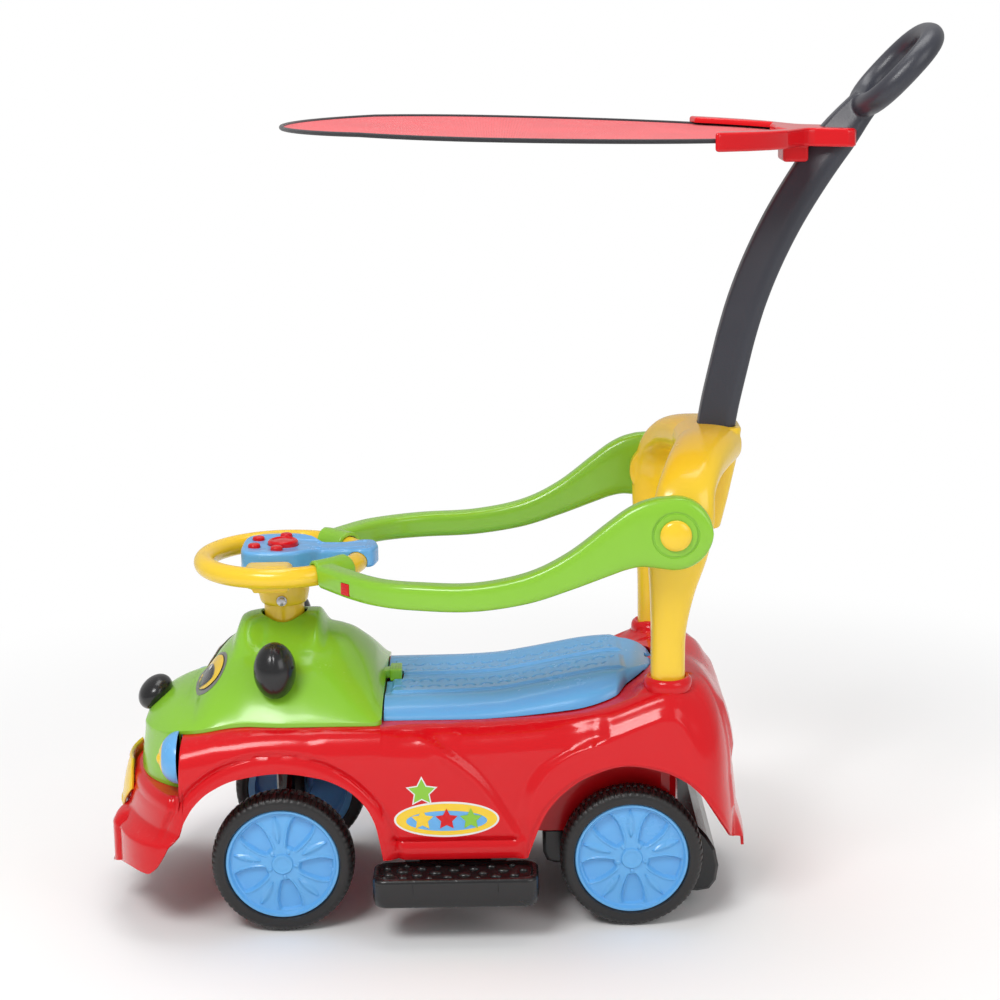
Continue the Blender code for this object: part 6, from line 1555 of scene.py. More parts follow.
def make_steering_wheel():
    """The ring with its hub cup, spokes and the two swellings where the spokes meet it."""
    wheel = ring_tube("wheel_ring", RING_RADIUS, RING_TUBE, RING_Z)
    pieces = [turned("hub", HUB_PROFILE, spot(0, 0, 0), (0, 0, 1), 96)]
    for side in (-1, 1):
        near, far = sorted((side * 0.020, side * 0.076))
        spoke = box_block("spoke", spot(-0.024, near, 0.3405), spot(0.012, far, PLATE_TOP))
        soften(spoke, 0.0025, 3)
        near, far = sorted((side * 0.0445, side * 0.0785))
        mound = box_block("mound", spot(-0.0330, near, 0.3440), spot(0.0160, far, 0.3668))
        soften(mound, 0.0080, 5)
        pieces += [spoke, mound]
    rear = box_block("rear_spoke", spot(0.020, -0.012, 0.3405), spot(0.076, 0.012, PLATE_TOP - 0.0002))
    soften(rear, 0.0025, 3)
    merge(wheel, rear, *pieces)
    fuse(wheel, 0.0010, 5)
    cut(wheel, bolt_rod("bolt_recess", -0.0400, -0.0243, 0.0062, 40))
    cut(wheel, bolt_rod("bolt_bore", -0.05, 0.05, BOLT_RADIUS + 0.0003, 24))
    return wheel


def make_steering_bolt():
    """The bolt through the hub with its hexagon head, nut and washer."""
    bolt = bolt_rod("bolt", -0.0295, 0.031, BOLT_RADIUS, 32)
    pieces = []
    for start, end in ((-0.0300, -0.0262), (0.0265, 0.0300)):
        head = bolt_rod("hex", start, end, 0.0042, 6)
        soften(head, 0.0005, 2)
        pieces.append(head)
    pieces.append(bolt_rod("washer", -0.0262, -0.0250, 0.0052, 40))
    return merge(bolt, *pieces)


def music_top(s):
    """Height of the music box's top at one station."""
    return BOX_TOP - 0.0040 * smooth(0.028, 0.045, s) + 0.0015 * smooth(0.060, 0.085, s)


def make_music_box():
    """The box on the wheel's hub, with wells for its buttons and raised lines along its neck."""
    half = [tuple(p) for p in spline(MUSIC_OUTLINE, 6)]
    outline = [(s, -abs(y)) for s, y in half] + [(s, abs(y)) for s, y in reversed(half[1:-1])]
    rings = [[spot(s, y, PLATE_TOP + 0.0003) for s, y in outline],
             [spot(s, y, music_top(s)) for s, y in outline]]
    box = loft("music_case", rings)
    soften(box, 0.0036, 5, 60)
    bake(box)
    lines = []
    for y in (-0.0115, 0.0115):
        path = [spot(s, y * (1 - 0.12 * bump(0.052, 0.070, 0.015, s)), music_top(s) - 0.0001)
                for s in spread(0.036, 0.086, 24)]
        lines.append(tube("line", path, LINE_RADIUS, 10))
    path = [spot(0.089, y, music_top(0.089) - 0.0002) for y in spread(-0.010, 0.010, 12)]
    lines.append(tube("line", path, LINE_RADIUS, 10))
    merge(box, *lines)
    fuse(box, 0.0007, 3)
    cut(box, ring_tube("ring_space", RING_RADIUS, RING_TUBE + 0.0005, RING_Z, 90, 20))
    for name, s, y, radius in MUSIC_BUTTONS:
        cut(box, rod("well", spot(s, y, BOX_TOP - 0.0070), spot(s, y, 0.40), radius + 0.0005, 48))
    return box


BUTTON_SIDE = ((0.0, -0.0045), (1.0, -0.0045), (1.0, 0.0014), (0.96, 0.0022))
LARGE_TOP = ((0.90, 0.0031), (0.82, 0.0035), (0.76, 0.0032), (0.72, 0.0024), (0.60, 0.0024), (0.35, 0.0030),
             (0.0, 0.0033))
SMALL_TOP = ((0.80, 0.0030), (0.50, 0.0034), (0.0, 0.0035))


def make_music_button(name, s, y, radius):
    """A domed button; the large one has a ring round a shallow dish."""
    top = LARGE_TOP if radius > 0.010 else SMALL_TOP
    profile = [(radius * share, z) for share, z in BUTTON_SIDE + top]
    return turned(name, profile, spot(s, y, BOX_TOP), (0, 0, 1), 64)


AXLE_RADIUS = 0.0040
AXLE_HALF_LENGTH = 0.1135
COLLAR_RADIUS = 0.0075
COLLAR_WIDTH = 0.0030


def make_axle(name, s):
    """A steel axle with a collar inside each wheel."""
    far = WHEEL_INNER_Y - 0.0063
    near = far - COLLAR_WIDTH
    profile = []
    for side in (-1.0, 1.0):
        end = side * AXLE_HALF_LENGTH
        steps = [(0.0, end), (AXLE_RADIUS - 0.0006, end), (AXLE_RADIUS, end - 0.0006 * side),
                 (AXLE_RADIUS, side * far), (COLLAR_RADIUS, side * far), (COLLAR_RADIUS, side * near),
                 (AXLE_RADIUS, side * near)]
        profile += steps if side < 0 else list(reversed(steps))
    return turned(name, profile, spot(s, 0, AXLE_Z), (0, 1, 0), 40)


class CAR_OT_steering(bpy.types.Operator):
    """Builds the steering wheel, its column, the music box and the front axle's carrier"""
    bl_idname = "car.steering"
    bl_label = "Steering"

    def execute(self, context):
        place(make_steering_wheel(), "Yellow Plastic", "steering", "yellow_plastic", "steering_wheel")
        column = turned("column", COLUMN_PROFILE, spot(0, 0, 0), (0, 0, 1), 96)
        place(column, "Yellow Plastic", "steering", "yellow_plastic", "steering_column")
        place(make_steering_bolt(), "Turned Steel", "steering", "steel", "steering_bolt")
        place(make_music_box(), "Blue Plastic", "steering", "blue_plastic", "music_box", sharp=40.0)
        for name, s, y, radius in MUSIC_BUTTONS:
            button = make_music_button("cap_" + name, s, y, radius)
            place(button, "Red Plastic", name, "red_plastic", name)
        shaft = rod("shaft", spot(0, 0, 0.085), spot(0, 0, 0.300), 0.006, 40)
        soften(shaft, 0.0008, 2)
        place(shaft, "Turned Steel", "steering", "steel", "steering_shaft")
        place(make_axle("axle_front", 0.0), "Turned Steel", "steering", "steel", "front_axle")
        place(refined("front_yoke", 0.0012), "Black Plastic", "steering", "black_plastic", "front_yoke")
        return {"FINISHED"}


# Guard arms

PIVOT = (0.390, 0.416)
BOSS_Y = 0.145
ARM_WIDTH = 0.023
ARM_END = 0.036
ARM_FACE = BOSS_Y + 0.0005 + ARM_WIDTH
CLASP_ARC = (34.0, 62.0)
RIB_LIFTS = (-0.0026, 0.0, 0.0026)
GROOVE_PROFILE = ((0.0205, -0.0012), (0.0215, -0.0016), (0.0228, -0.0012), (0.0232, 0.002), (0.0200, 0.002))
PIVOT_CAP = ((0.0148, 0.0), (0.0150, 0.0004), (0.0150, 0.0018), (0.0140, 0.0032), (0.0115, 0.0046),
             (0.0070, 0.0057), (0.0030, 0.0061), (0.0, 0.0062))
GUARD_CONTROL = (
    # s, y of the middle, top, bottom
    (0.0490, 0.0710, 0.3690, 0.3455),
    (0.0800, 0.1110, 0.3690, 0.3445),
    (0.1080, 0.1340, 0.3680, 0.3430),
    (0.1430, 0.1475, 0.3680, 0.3420),
    (0.1960, 0.1555, 0.3685, 0.3420),
    (0.2470, 0.1570, 0.3780, 0.3490),
    (0.2870, 0.1570, 0.3970, 0.3610),
    (0.3260, 0.1570, 0.4265, 0.3750),
    (0.3430, 0.1570, 0.4390, 0.3810),
    (0.3580, 0.1570, 0.4467, 0.3838),
    (0.3730, 0.1570, 0.4507, 0.3822),
)


def guard_rows():
    """Stations from the clasp to the round end about the pivot."""
    rows = [tuple(row) for row in spline(GUARD_CONTROL, 8)]
    for angle in spread(-10, 86, 16):
        turn = math.radians(angle)
        rise = ARM_END * math.cos(turn)
        rows.append((PIVOT[0] + ARM_END * math.sin(turn), 0.1570, PIVOT[1] + rise, PIVOT[1] - rise))
    return rows


def release_place(side):
    """Centre of a release button's face and the way it is pressed."""
    rows = GUARD_CONTROL
    run = Vector((rows[2][0] - rows[0][0], rows[2][1] - rows[0][1], 0)).normalized()
    inward = Vector((run.y, -run.x, 0))
    face = Vector((rows[1][0], rows[1][1], 0)) - inward * (ARM_WIDTH / 2)
    return spot(face.x, side * face.y, 0.3550), Vector((inward.x, side * inward.y, 0))


def oriented_block(name, start, end, direction, half):
    """A square bar from start to end."""
    across = Vector((-direction.y, direction.x, 0)).normalized()
    up = Vector((0, 0, 1))
    corners = ((-1, -1), (1, -1), (1, 1), (-1, 1))
    rings = [[centre + across * a * half + up * b * half for a, b in corners] for centre in (start, end)]
    return loft(name, rings)


def clasp_space(start, end):
    """The steering ring with the way by which it leaves a clasp as its arm swings up."""
    reach = RING_TUBE + 0.0010
    drop = 0.030
    drift = drop * (PIVOT[1] - RING_Z) / (PIVOT[0] - 0.055)
    rings = []
    for share in spread(0, 1, 24):
        angle = math.radians(mix(start, end, share))
        outward = Vector((math.cos(angle), math.sin(angle), 0))
        ring = []
        for turn in spread(0, math.pi, 18):
            ring.append(spot(0, 0, RING_Z) + outward * (RING_RADIUS + reach * math.cos(turn))
                        + Vector((0, 0, reach * math.sin(turn))))
        for edge in (-1, 1):
            ring.append(spot(drift, 0, RING_Z - drop) + outward * (RING_RADIUS + (reach + 0.0008) * edge))
        rings.append(ring)
    return loft("clasp_space", rings)


def make_guard_arm(name, side):
    """An arm with its clasp for the ring, its groove round the pivot, its bore for the pin and the well for
    its release button.
    """
    rows = guard_rows()
    rings = []
    for i, (s, y, top, bottom) in enumerate(rows):
        before, after = rows[max(0, i - 1)], rows[min(len(rows) - 1, i + 1)]
        run = Vector((after[0] - before[0], after[1] - before[1], 0)).normalized()
        across = Vector((-run.y, run.x, 0))
        middle, half = (top + bottom) / 2, (top - bottom) / 2
        ring = []
        for c, d in oval(ARM_WIDTH / 2, 1.0, 4.0, 48):
            p = Vector((s, y, 0)) + across * c
            ring.append(spot(p.x, side * p.y, middle + d * half))
        rings.append(ring)
    arm = loft("arm_" + name, rings)
    start, end = sorted(side * angle for angle in CLASP_ARC)
    merge(arm, ring_tube("sleeve", RING_RADIUS, 0.0150, RING_Z, 24, 36, start, end))
    fuse(arm, 0.0011, 4)
    cut(arm, clasp_space(start - 14, end + 14))
    profile = [(radius, ARM_FACE + along) for radius, along in GROOVE_PROFILE]
    cut(arm, turned("groove", profile, spot(PIVOT[0], 0, PIVOT[1]), (0, side, 0), 96))
    bore = [spot(PIVOT[0], side * y, PIVOT[1]) for y in (0.13, 0.18)]
    cut(arm, rod("pin_bore", *bore, 0.0068, 40))
    centre, inward = release_place(side)
    cut(arm, oriented_block("well", centre - inward * 0.01, centre + inward * 0.0085, inward, 0.0064))
    return arm


def make_release_button(name, side):
    """A square button with three grip ribs on its face."""
    centre, inward = release_place(side)
    face = centre - inward * 0.0010
    button = oriented_block("press_" + name, face, centre + inward * 0.0052, inward, 0.0060)
    soften(button, 0.0011, 4)
    bake(button)
    across = Vector((-inward.y, inward.x, 0)).normalized() * 0.0036
    ribs = [rod("rib", face + across + Vector((0, 0, lift)), face - across + Vector((0, 0, lift)), 0.0004, 10)
            for lift in RIB_LIFTS]
    return merge(button, *ribs)


def make_guard_pivot(name, side):
    """The pin of an arm with its domed cap."""
    face = ARM_FACE + 0.0003
    profile = [(0.0, 0.1215), (0.0060, 0.1215), (0.0065, 0.1220), (0.0065, face)]
    profile += [(radius, face + along) for radius, along in PIVOT_CAP]
    return turned("pivot_" + name, profile, spot(PIVOT[0], 0, PIVOT[1]), (0, side, 0), 72)


class CAR_OT_guards(bpy.types.Operator):
    """Builds the two guard arms with their release buttons and pivots"""
    bl_idname = "car.guards"
    bl_label = "Guard Arms"

    def execute(self, context):
        for name, side in SIDES:
            place(make_guard_arm(name, side), "Green Plastic", "guard_arm_" + name, "green_plastic",
                  "guard_arm_" + name, sharp=45.0)
            place(make_release_button(name, side), "Red Plastic", "release_button_" + name, "red_plastic",
                  "release_button_" + name)
            pivot = make_guard_pivot(name, side)
            place(pivot, "Yellow Plastic", "car", "yellow_plastic", "guard_pivot_" + name)
        return {"FINISHED"}


# Backrest frame

SOCKET = (0.4435, 0.490)
SOCKET_LEAN = Vector((0.17, 0, 1)).normalized()
FRAME_PATH = (
    # s, y, z, half length fore and aft, half thickness across
    (0.3875, 0.1000, 0.2106, 0.0170, 0.0150),
    (0.3875, 0.1000, 0.2700, 0.0170, 0.0150),
    (0.3880, 0.1030, 0.3050, 0.0175, 0.0150),
    (0.3910, 0.1110, 0.3450, 0.0220, 0.0150),
    (0.3955, 0.1230, 0.3850, 0.0290, 0.0150),
    (0.3990, 0.1270, 0.4160, 0.0310, 0.0150),
    (0.4030, 0.1180, 0.4440, 0.0290, 0.0160),
    (0.4130, 0.0920, 0.4620, 0.0290, 0.0180),
    (0.4250, 0.0560, 0.4700, 0.0310, 0.0200),
    (0.4350, 0.0220, 0.4720, 0.0330, 0.0205),
)


def make_backrest_frame():
    half = [tuple(row) for row in spline(FRAME_PATH, 8)]
    rows = [(s, -y, z, a, b) for s, y, z, a, b in half] + list(reversed(half))
    rings = []
    for i, (s, y, z, a, b) in enumerate(rows):
        before, after = rows[max(0, i - 1)], rows[min(len(rows) - 1, i + 1)]
        tangent = Vector((0.0, after[1] - before[1], after[2] - before[2])).normalized()
        across = Vector((1.0, 0.0, 0.0)).cross(tangent)
        rings.append([spot(s, y, z) + Vector((c, 0, 0)) + across * d for c, d in oval(a, b, 2.6, 44)])
    frame_loft = loft("backrest", rings)
    mouth = spot(SOCKET[0], 0, SOCKET[1])
    socket_rings = []
    for drop, half_s, half_y in ((0.106, 0.0205, 0.0230), (0.104, 0.0215, 0.0240), (0.075, 0.0235, 0.0260),
                                 (0.030, 0.0255, 0.0275), (0.002, 0.0247, 0.0267), (0.0, 0.0237, 0.0257)):
        centre = mouth - SOCKET_LEAN * drop
        socket_rings.append([centre + Vector((c, d, 0)) for c, d in round_box(half_s, half_y, 0.010, 8)])
    pieces = [loft("socket", socket_rings)]
    for name, side in SIDES:
        profile = [(0.0, 0.118), (0.0265, 0.118), (0.0255, 0.138), (0.0240, 0.1450), (0.0, 0.1450)]
        pieces.append(turned("boss", profile, spot(PIVOT[0], 0, PIVOT[1]), (0, side, 0), 72))
    merge(frame_loft, *pieces)
    fuse(frame_loft, 0.0013, 6)
    for name, side in SIDES:
        cut(frame_loft, rod("pin_bore", spot(PIVOT[0], side * 0.120, PIVOT[1]),
                            spot(PIVOT[0], side * 0.16, PIVOT[1]), 0.0068, 40))
    bottom = mouth - SOCKET_LEAN * 0.098
    rings = [[centre + Vector((c, d, 0)) for c, d in bar_section(0.0005)]
             for centre in (bottom, mouth + SOCKET_LEAN * 0.030)]
    cut(frame_loft, loft("bar_space", rings))
    return frame_loft


# Push bar

BAR_DEPTH = 0.037
BAR_WIDTH = 0.040
BAR_CENTRE = ((0.4435, 0.490), (0.4480, 0.515), (0.4560, 0.550), (0.4640, 0.583), (0.4745, 0.618),
              (0.4890, 0.655), (0.5080, 0.694), (0.5300, 0.731), (0.5530, 0.765), (0.5730, 0.791),
              (0.5900, 0.811))
GRIP_START = Vector((0.586, 0, 0.806))
GRIP_END = Vector((0.6495, 0, 0.8725))
GRIP_HALF_WIDTH = 0.058
GRIP_TUBE = 0.0115
GRIP_SQUARENESS = 0.80
GRIP_SEGMENTS = 120
GRIP_SIDES = 24


def bar_section(grow=0.0):
    """Outline across the bar, narrower in front than behind, as (fore and aft, across)."""
    front, rear = -BAR_DEPTH / 2 - grow, BAR_DEPTH / 2 + grow
    narrow, wide = 0.0105 + grow, BAR_WIDTH / 2 + grow
    half = ((front, 0.0), (front, narrow - 0.004), (front + 0.0012, narrow - 0.0008),
            (front + 0.0040, narrow + 0.0006), (-0.006, wide - 0.0050), (0.002, wide - 0.0012), (0.008, wide),
            (rear - 0.006, wide - 0.0010), (rear - 0.0015, wide - 0.0040), (rear, wide - 0.0080), (rear, 0.0))
    dense = [tuple(p) for p in spline(half, 4)]
    return [(a, -b) for a, b in dense] + [(a, b) for a, b in reversed(dense[1:-1])]


def bar_frames():
    """Centre, forward direction and relative size along the bar, from its foot up."""
    mouth = Vector((SOCKET[0], 0, SOCKET[1]))
    path = [mouth - SOCKET_LEAN * drop for drop in (0.0977, 0.065, 0.033)]
    path += [Vector((s, 0, z)) for s, z in spline(BAR_CENTRE, 8)]
    frames = []
    for i, p in enumerate(path):
        before, after = path[max(0, i - 1)], path[min(len(path) - 1, i + 1)]
        tangent = (after - before).normalized()
        turned_out = Vector((tangent.z, 0, -tangent.x))
        forward = Vector((1, 0, 0)).lerp(turned_out, smooth(2, 8, i)).normalized()
        frames.append((p, forward, 1.0 - 0.28 * smooth(0.77, 0.82, p.z)))
    return frames


def make_push_bar():
    """The curved bar with its grip loop."""
    rings = []
    for p, forward, size in bar_frames():
        foot = spot(p.x, 0, p.z)
        rings.append([foot + forward * a * size + Vector((0, b * size, 0)) for a, b in bar_section()])
    bar = loft("bar", rings)
    along = (GRIP_END - GRIP_START).normalized()
    normal = Vector((-along.z, 0, along.x))
    reach = (GRIP_END - GRIP_START).length / 2

    def loop_point(turn):
        c, d = math.cos(turn), math.sin(turn)
        middle = (GRIP_START + GRIP_END) / 2
        ahead = along * reach * math.copysign(abs(c) ** GRIP_SQUARENESS, c)
        return middle + ahead + Vector((0, GRIP_HALF_WIDTH * math.copysign(abs(d) ** GRIP_SQUARENESS, d), 0))

    loop_rings = []
    angles = [2 * math.pi * (j + 0.5) / GRIP_SIDES for j in range(GRIP_SIDES)]
    for i in range(GRIP_SEGMENTS):
        turn = 2 * math.pi * i / GRIP_SEGMENTS
        centre = spot(0, 0, 0) + loop_point(turn)
        tangent = (loop_point(turn + 0.02) - loop_point(turn - 0.02)).normalized()
        outward = tangent.cross(normal)
        loop_rings.append([centre + outward * (GRIP_TUBE * math.cos(angle))
                           + normal * (GRIP_TUBE * math.sin(angle)) for angle in angles])
    merge(bar, loft("grip", loop_rings, loop=True))
    fuse(bar, 0.0011, 5)
    return bar


# Canopy fork

FORK_TIP = 0.428
CANOPY_REAR = 0.528
CANOPY_HALF_WIDTH = 0.184
FORK_CLIP = ((0.577, 0.0225), (0.5745, 0.0285), (0.568, 0.0315), (0.535, 0.0315), (0.529, 0.0335),
             (0.524, 0.039), (0.520, 0.046))
FORK_FRONT = ((0.498, 0.022), (0.4995, 0.011), (0.500, 0.0))


def canopy_half_width(s):
    """Half width of the canopy's rear part at one station."""
    reach = CANOPY_REAR - CANOPY_WIDEST
    return CANOPY_HALF_WIDTH * math.sqrt(max(0.0, 1 - ((s - CANOPY_WIDEST) / reach) ** 2))


def make_canopy_fork():
    """The red fork that grips the canopy's rear edge and the push bar."""
    stations = [FORK_TIP] + spread(FORK_TIP + 0.004, 0.503, 22)
    outer = [(s, canopy_half_width(s) + 0.006) for s in stations]
    inner = [(s + 0.004, max(0.0, canopy_half_width(s) - 0.022)) for s in stations]
    outer[0] = (FORK_TIP, canopy_half_width(FORK_TIP) + 0.004)
    half = [*FORK_CLIP, *reversed(outer), *inner[:-1], *FORK_FRONT]
    outline = [(s, -y) for s, y in half] + [(s, y) for s, y in reversed(half[:-1])]
    fork = loft("fork", [[spot(s, y, canopy_level(s) - 0.001 + lift) for s, y in outline]
                         for lift in (-0.009, 0.009)])
    soften(fork, 0.0030, 4, 50)
    bake(fork)
    lower = box_block("lower", spot(0.506, -0.022, 0.753), spot(0.531, 0.022, 0.772))
    soften(lower, 0.0030, 4)
    merge(fork, lower)
    fuse(fork, 0.0009, 3)
    rings = []
    for p, forward, size in bar_frames():
        if not 0.68 < p.z < 0.82:
            continue
        ring = []
        for a, b in bar_section(0.0005):
            if a > 0.001:
                b = math.copysign(BAR_WIDTH / 2 + 0.0005, b)
            if a > 0.005:
                a += 0.030
            ring.append(spot(p.x, 0, p.z) + forward * a * size + Vector((0, b * size, 0)))
        rings.append(ring)
    cut(fork, loft("passage", rings))
    rim = canopy_rim_points(120, -0.0025)
    rings = [[point + Vector((0, 0, lift)) for point in rim] for lift in (-0.0025, 0.0025)]
    return cut(fork, loft("canopy_space", rings))


class CAR_OT_back(bpy.types.Operator):
    """Builds the backrest frame, the push bar and the canopy's fork"""
    bl_idname = "car.back"
    bl_label = "Back"

    def execute(self, context):
        place(make_backrest_frame(), "Yellow Plastic", "car", "yellow_plastic", "backrest_frame", sharp=45.0)
        place(make_push_bar(), "Slate Plastic", "push_bar", "slate_plastic", "push_bar", sharp=45.0)
        place(make_canopy_fork(), "Red Plastic", "push_bar", "red_plastic", "canopy_fork", sharp=45.0)
        return {"FINISHED"}


# Footrests and what lies under the car

STEP = (0.0920, 0.2560, 0.1180, 0.1705)
STEP_TOP = 0.072
STEP_BOTTOM = 0.043
STEP_CORNER = 0.0130
STEP_EDGE_Z = 0.0675
STEP_SEAMS = (-0.042, 0.0, 0.042)
STUD_Z = STEP_TOP - 0.0031
STUD_HEIGHT = 0.0030
STUD_OVAL = 0.72
# how far each level lies inside the outline, and its height
STEP_UNDERSIDE = ((0.0048, STEP_TOP - 0.0085), (0.0045, STEP_BOTTOM + 0.0010), (0.0035, STEP_BOTTOM),
                  (0.0022, STEP_BOTTOM), (0.0013, STEP_BOTTOM + 0.0012), (0.0, 0.052), (0.0, 0.060),
                  (0.0, STEP_EDGE_Z))
STEP_TRAY = ((0.0050, STEP_TOP), (0.0060, STEP_TOP - 0.0006), (0.0068, STEP_TOP - 0.0024),
             (0.0078, STEP_TOP - 0.0028), (0.0150, STEP_TOP - 0.0028))
STEP_STUDS = (
    # s, |y|, radius
    (0.106, 0.132, 0.0040), (0.108, 0.148, 0.0052), (0.104, 0.158, 0.0028), (0.121, 0.139, 0.0064),
    (0.122, 0.156, 0.0046), (0.125, 0.127, 0.0034), (0.136, 0.149, 0.0058), (0.140, 0.133, 0.0050),
    (0.148, 0.159, 0.0036), (0.154, 0.143, 0.0066), (0.156, 0.128, 0.0036), (0.166, 0.155, 0.0050),
    (0.172, 0.137, 0.0058), (0.180, 0.126, 0.0032), (0.183, 0.150, 0.0064), (0.192, 0.135, 0.0052),
    (0.196, 0.160, 0.0032), (0.201, 0.147, 0.0048), (0.209, 0.130, 0.0046), (0.214, 0.155, 0.0056),
    (0.221, 0.140, 0.0060), (0.230, 0.128, 0.0036), (0.232, 0.153, 0.0050), (0.241, 0.141, 0.0044),
)


def dense_outline(points, gap):
    """The same outline with points no further apart than the gap."""
    result = []
    for (x0, y0), (x1, y1) in zip(points, points[1:] + points[:1]):
        steps = max(1, math.ceil(math.hypot(x1 - x0, y1 - y0) / gap))
        result += [(mix(x0, x1, i / steps), mix(y0, y1, i / steps)) for i in range(steps)]
    return result


def make_footrest(name, side):
    """A hollow tread with a sunk tray of oval bumps and three seams down its outer face."""
    front, rear, near, far = STEP
    middle_s, half_s, half_y = (front + rear) / 2, (rear - front) / 2, (far - near) / 2
    edge = [math.radians(angle) for angle in spread(0, 90, 8)[1:]]
    rounding = [(0.0030 * (1 - math.cos(turn)), STEP_EDGE_Z + 0.0045 * math.sin(turn)) for turn in edge]
    outline = dense_outline(round_box(half_s, half_y, STEP_CORNER, 8), 0.0008)
    rings = []
    for inset, z in (*STEP_UNDERSIDE, *rounding, *STEP_TRAY):
        ring = []
        for a, b in outline:
            x = a * (half_s - inset) / half_s
            y = b * (half_y - inset) / half_y
            seam = max(1 - smooth(0.0002, 0.0009, abs(x - at)) for at in STEP_SEAMS)
            y -= 0.0007 * seam * smooth(half_y - 0.004, half_y - 0.001, b) * (1 if z < STEP_TOP else 0)
            ring.append(spot(middle_s + x, side * ((near + far) / 2 + y), z))
        rings.append(ring)
    step = loft("tread_" + name, rings)
    bake(step)
    studs = []
    for s, y, radius in STEP_STUDS:
        radii = (radius, radius * STUD_OVAL, STUD_HEIGHT)
        studs.append(ellipsoid("stud", spot(s, side * y, STUD_Z), radii, 0.0, 32, 16))
    low, high = sorted((side * 0.052, side * (near + 0.006)))
    tongue = box_block("tongue", spot(0.136, low, 0.055), spot(0.209, high, 0.061))
    soften(tongue, 0.0010, 3)
    return merge(step, tongue, *studs)


class CAR_OT_under(bpy.types.Operator):
    """Builds the footrests, the rear carrier, the rear axle and the tub inside the body"""
    bl_idname = "car.under"
    bl_label = "Under the Car"

    def execute(self, context):
        for name, side in SIDES:
            place(make_footrest(name, side), "Black Plastic", "footrest_" + name, "black_plastic",
                  "footrest_" + name, sharp=50.0)
        place(refined("footrest_guide", 0.0010), "Black Plastic", "car", "black_plastic", "footrest_guide")
        place(refined("rear_carrier", 0.0016), "Black Plastic", "car", "black_plastic", "rear_carrier")
        place(refined("inner_tub", 0.0007), "Red Plastic", "car", "red_plastic", "inner_tub")
        place(make_axle("axle_rear", WHEELBASE), "Turned Steel", "car", "steel", "rear_axle")
        return {"FINISHED"}


# Stage

FLOOR_REACH = 6.0
FLOOR_DROP = 0.0006
FLOOR_GREY = 0.92
FADE_START = 0.55
FADE_END = 1.25
WORLD_STRENGTH = 0.50
LENS_LENGTH = 79.68
SENSOR_WIDTH = 36.0
CAMERA_S = 0.2241
CAMERA_PITCH = 13.03
CAMERA_ROLL = -0.98
LAMPS = (
    # name, place, aim, size, power
    ("key_panel", (-0.9, -1.6, 2.1), (0.0, 0.0, 0.25), (1.0, 0.7), 30.0),
    ("fill_panel", (1.6, -1.5, 1.3), (0.0, 0.0, 0.3), (1.2, 1.2), 10.0),
    ("top_panel", (0.1, 0.3, 2.4), (0.0, 0.0, 0.2), (1.6, 1.2), 22.0),
)


def add_lamp(name, where, aim, size, power):
    """A plain rectangular lamp turned to its aim."""
    data = bpy.data.lights.new(name, "AREA")
    data.shape = "RECTANGLE"
    data.size, data.size_y = size
    data.energy = power
    lamp = bpy.data.objects.new(name, data)
    lamp.location = where
    lamp.rotation_euler = (Vector(aim) - Vector(where)).to_track_quat("-Z", "Y").to_euler()
    bpy.context.scene.collection.objects.link(lamp)
    return lamp


def make_floor():
    """A pale floor that fades to pure white away from the car."""
    corners = ((-1, -1), (1, -1), (1, 1), (-1, 1))
    verts = [Vector((a * FLOOR_REACH, b * FLOOR_REACH, -FLOOR_DROP)) for a, b in corners]
    floor = shape("floor", verts, [(0, 1, 2, 3)])
    made, tree, shader = start_material("Pale Floor")
    shader.inputs["Base Color"].default_value = (FLOOR_GREY, FLOOR_GREY, FLOOR_GREY, 1.0)
    shader.inputs["Roughness"].default_value = 0.9
    shader.inputs["Specular IOR Level"].default_value = 0.1
    glow = tree.nodes.new("ShaderNodeEmission")
    glow.inputs["Color"].default_value = (1.0, 1.0, 1.0, 1.0)
    where = tree.nodes.new("ShaderNodeVectorMath")
    where.operation = "LENGTH"
    tree.links.new(tree.nodes.new("ShaderNodeTexCoord").outputs["Object"], where.inputs[0])
    far = map_range(tree, where.outputs["Value"], FADE_START, FADE_END, 0.0, 1.0)
    seen = tree.nodes.new("ShaderNodeLightPath").outputs["Is Camera Ray"]
    blend = tree.nodes.new("ShaderNodeMixShader")
    tree.links.new(maths(tree, "MULTIPLY", far, seen), blend.inputs[0])
    tree.links.new(shader.outputs["BSDF"], blend.inputs[1])
    tree.links.new(glow.outputs["Emission"], blend.inputs[2])
    tree.links.new(blend.outputs["Shader"], tree.nodes["Material Output"].inputs["Surface"])
    floor.data.materials.append(made)
    return floor


def make_world():
    """White surroundings, twice as bright for the camera as for the light they give."""
    world = bpy.data.worlds.new("Studio")
    bpy.context.scene.world = world
    world.use_nodes = True
    tree = world.node_tree
    background = tree.nodes["Background"]
    background.inputs["Color"].default_value = (1.0, 1.0, 1.0, 1.0)
    paths = tree.nodes.new("ShaderNodeLightPath")
    extra = maths(tree, "MULTIPLY", paths.outputs["Is Camera Ray"], 1.0 - WORLD_STRENGTH)
    strength = maths(tree, "ADD", extra, WORLD_STRENGTH)
    tree.links.new(strength, background.inputs["Strength"])


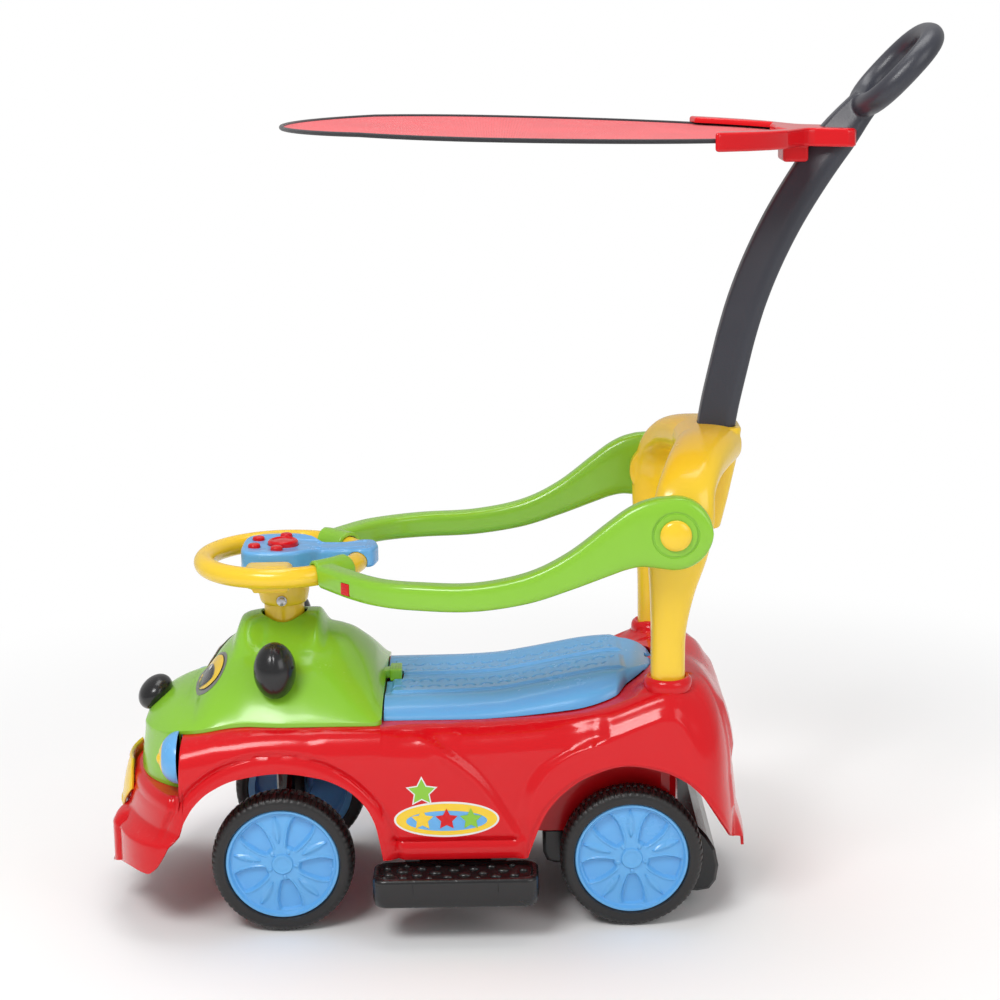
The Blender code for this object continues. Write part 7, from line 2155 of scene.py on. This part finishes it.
class CAR_OT_stage(bpy.types.Operator):
    """Sets the floor, the soft lights and the camera"""
    bl_idname = "car.stage"
    bl_label = "Stage"

    def execute(self, context):
        sizes = context.scene.car_stage
        scene = context.scene
        make_floor()
        make_world()
        for lamp in LAMPS:
            add_lamp(*lamp)
        data = bpy.data.cameras.new("camera")
        data.sensor_width = SENSOR_WIDTH
        data.lens = LENS_LENGTH
        data.clip_start = 0.05
        camera = bpy.data.objects.new("camera", data)
        camera.location = (AXLE_X + CAMERA_S, -sizes.distance, sizes.height)
        pitch, roll = math.radians(90 - CAMERA_PITCH), math.radians(CAMERA_ROLL)
        camera.rotation_euler = (Matrix.Rotation(pitch, 3, "X") @ Matrix.Rotation(roll, 3, "Z")).to_euler()
        scene.collection.objects.link(camera)
        scene.camera = camera
        scene.view_settings.view_transform = "Standard"
        return {"FINISHED"}


class CAR_PT_panel(bpy.types.Panel):
    """Lists the car's sizes and its building steps"""
    bl_label = "Push Car"
    bl_idname = "CAR_PT_panel"
    bl_space_type = "VIEW_3D"
    bl_region_type = "UI"
    bl_category = "Push Car"

    def draw(self, context):
        layout = self.layout
        for attribute in GROUPS:
            box = layout.box()
            settings = getattr(context.scene, attribute)
            for name in settings.__annotations__:
                box.prop(settings, name)
        for operator in STEPS:
            layout.operator(operator.bl_idname)


GROUPS = {
    "car_colours": CarColours,
    "car_wheels": WheelSizes,
    "car_body": BodySizes,
    "car_canopy": CanopySizes,
    "car_stage": StageSizes,
}
STEPS = (CAR_OT_finishes, CAR_OT_body, CAR_OT_face, CAR_OT_seat, CAR_OT_steering, CAR_OT_guards, CAR_OT_back,
         CAR_OT_canopy, CAR_OT_wheels, CAR_OT_under, CAR_OT_stage)


def register():
    for attribute, group in GROUPS.items():
        bpy.utils.register_class(group)
        setattr(bpy.types.Scene, attribute, PointerProperty(type=group))
    for operator in STEPS:
        bpy.utils.register_class(operator)
    bpy.utils.register_class(CAR_PT_panel)


def unregister():
    bpy.utils.unregister_class(CAR_PT_panel)
    for operator in reversed(STEPS):
        bpy.utils.unregister_class(operator)
    for attribute, group in reversed(list(GROUPS.items())):
        delattr(bpy.types.Scene, attribute)
        bpy.utils.unregister_class(group)


def main():
    register()
    bpy.ops.car.finishes()
    bpy.ops.car.body()
    bpy.ops.car.face()
    bpy.ops.car.seat()
    bpy.ops.car.steering()
    bpy.ops.car.guards()
    bpy.ops.car.back()
    bpy.ops.car.canopy()
    bpy.ops.car.wheels()
    bpy.ops.car.under()
    bpy.ops.car.stage()


if __name__ == "__main__":
    main()
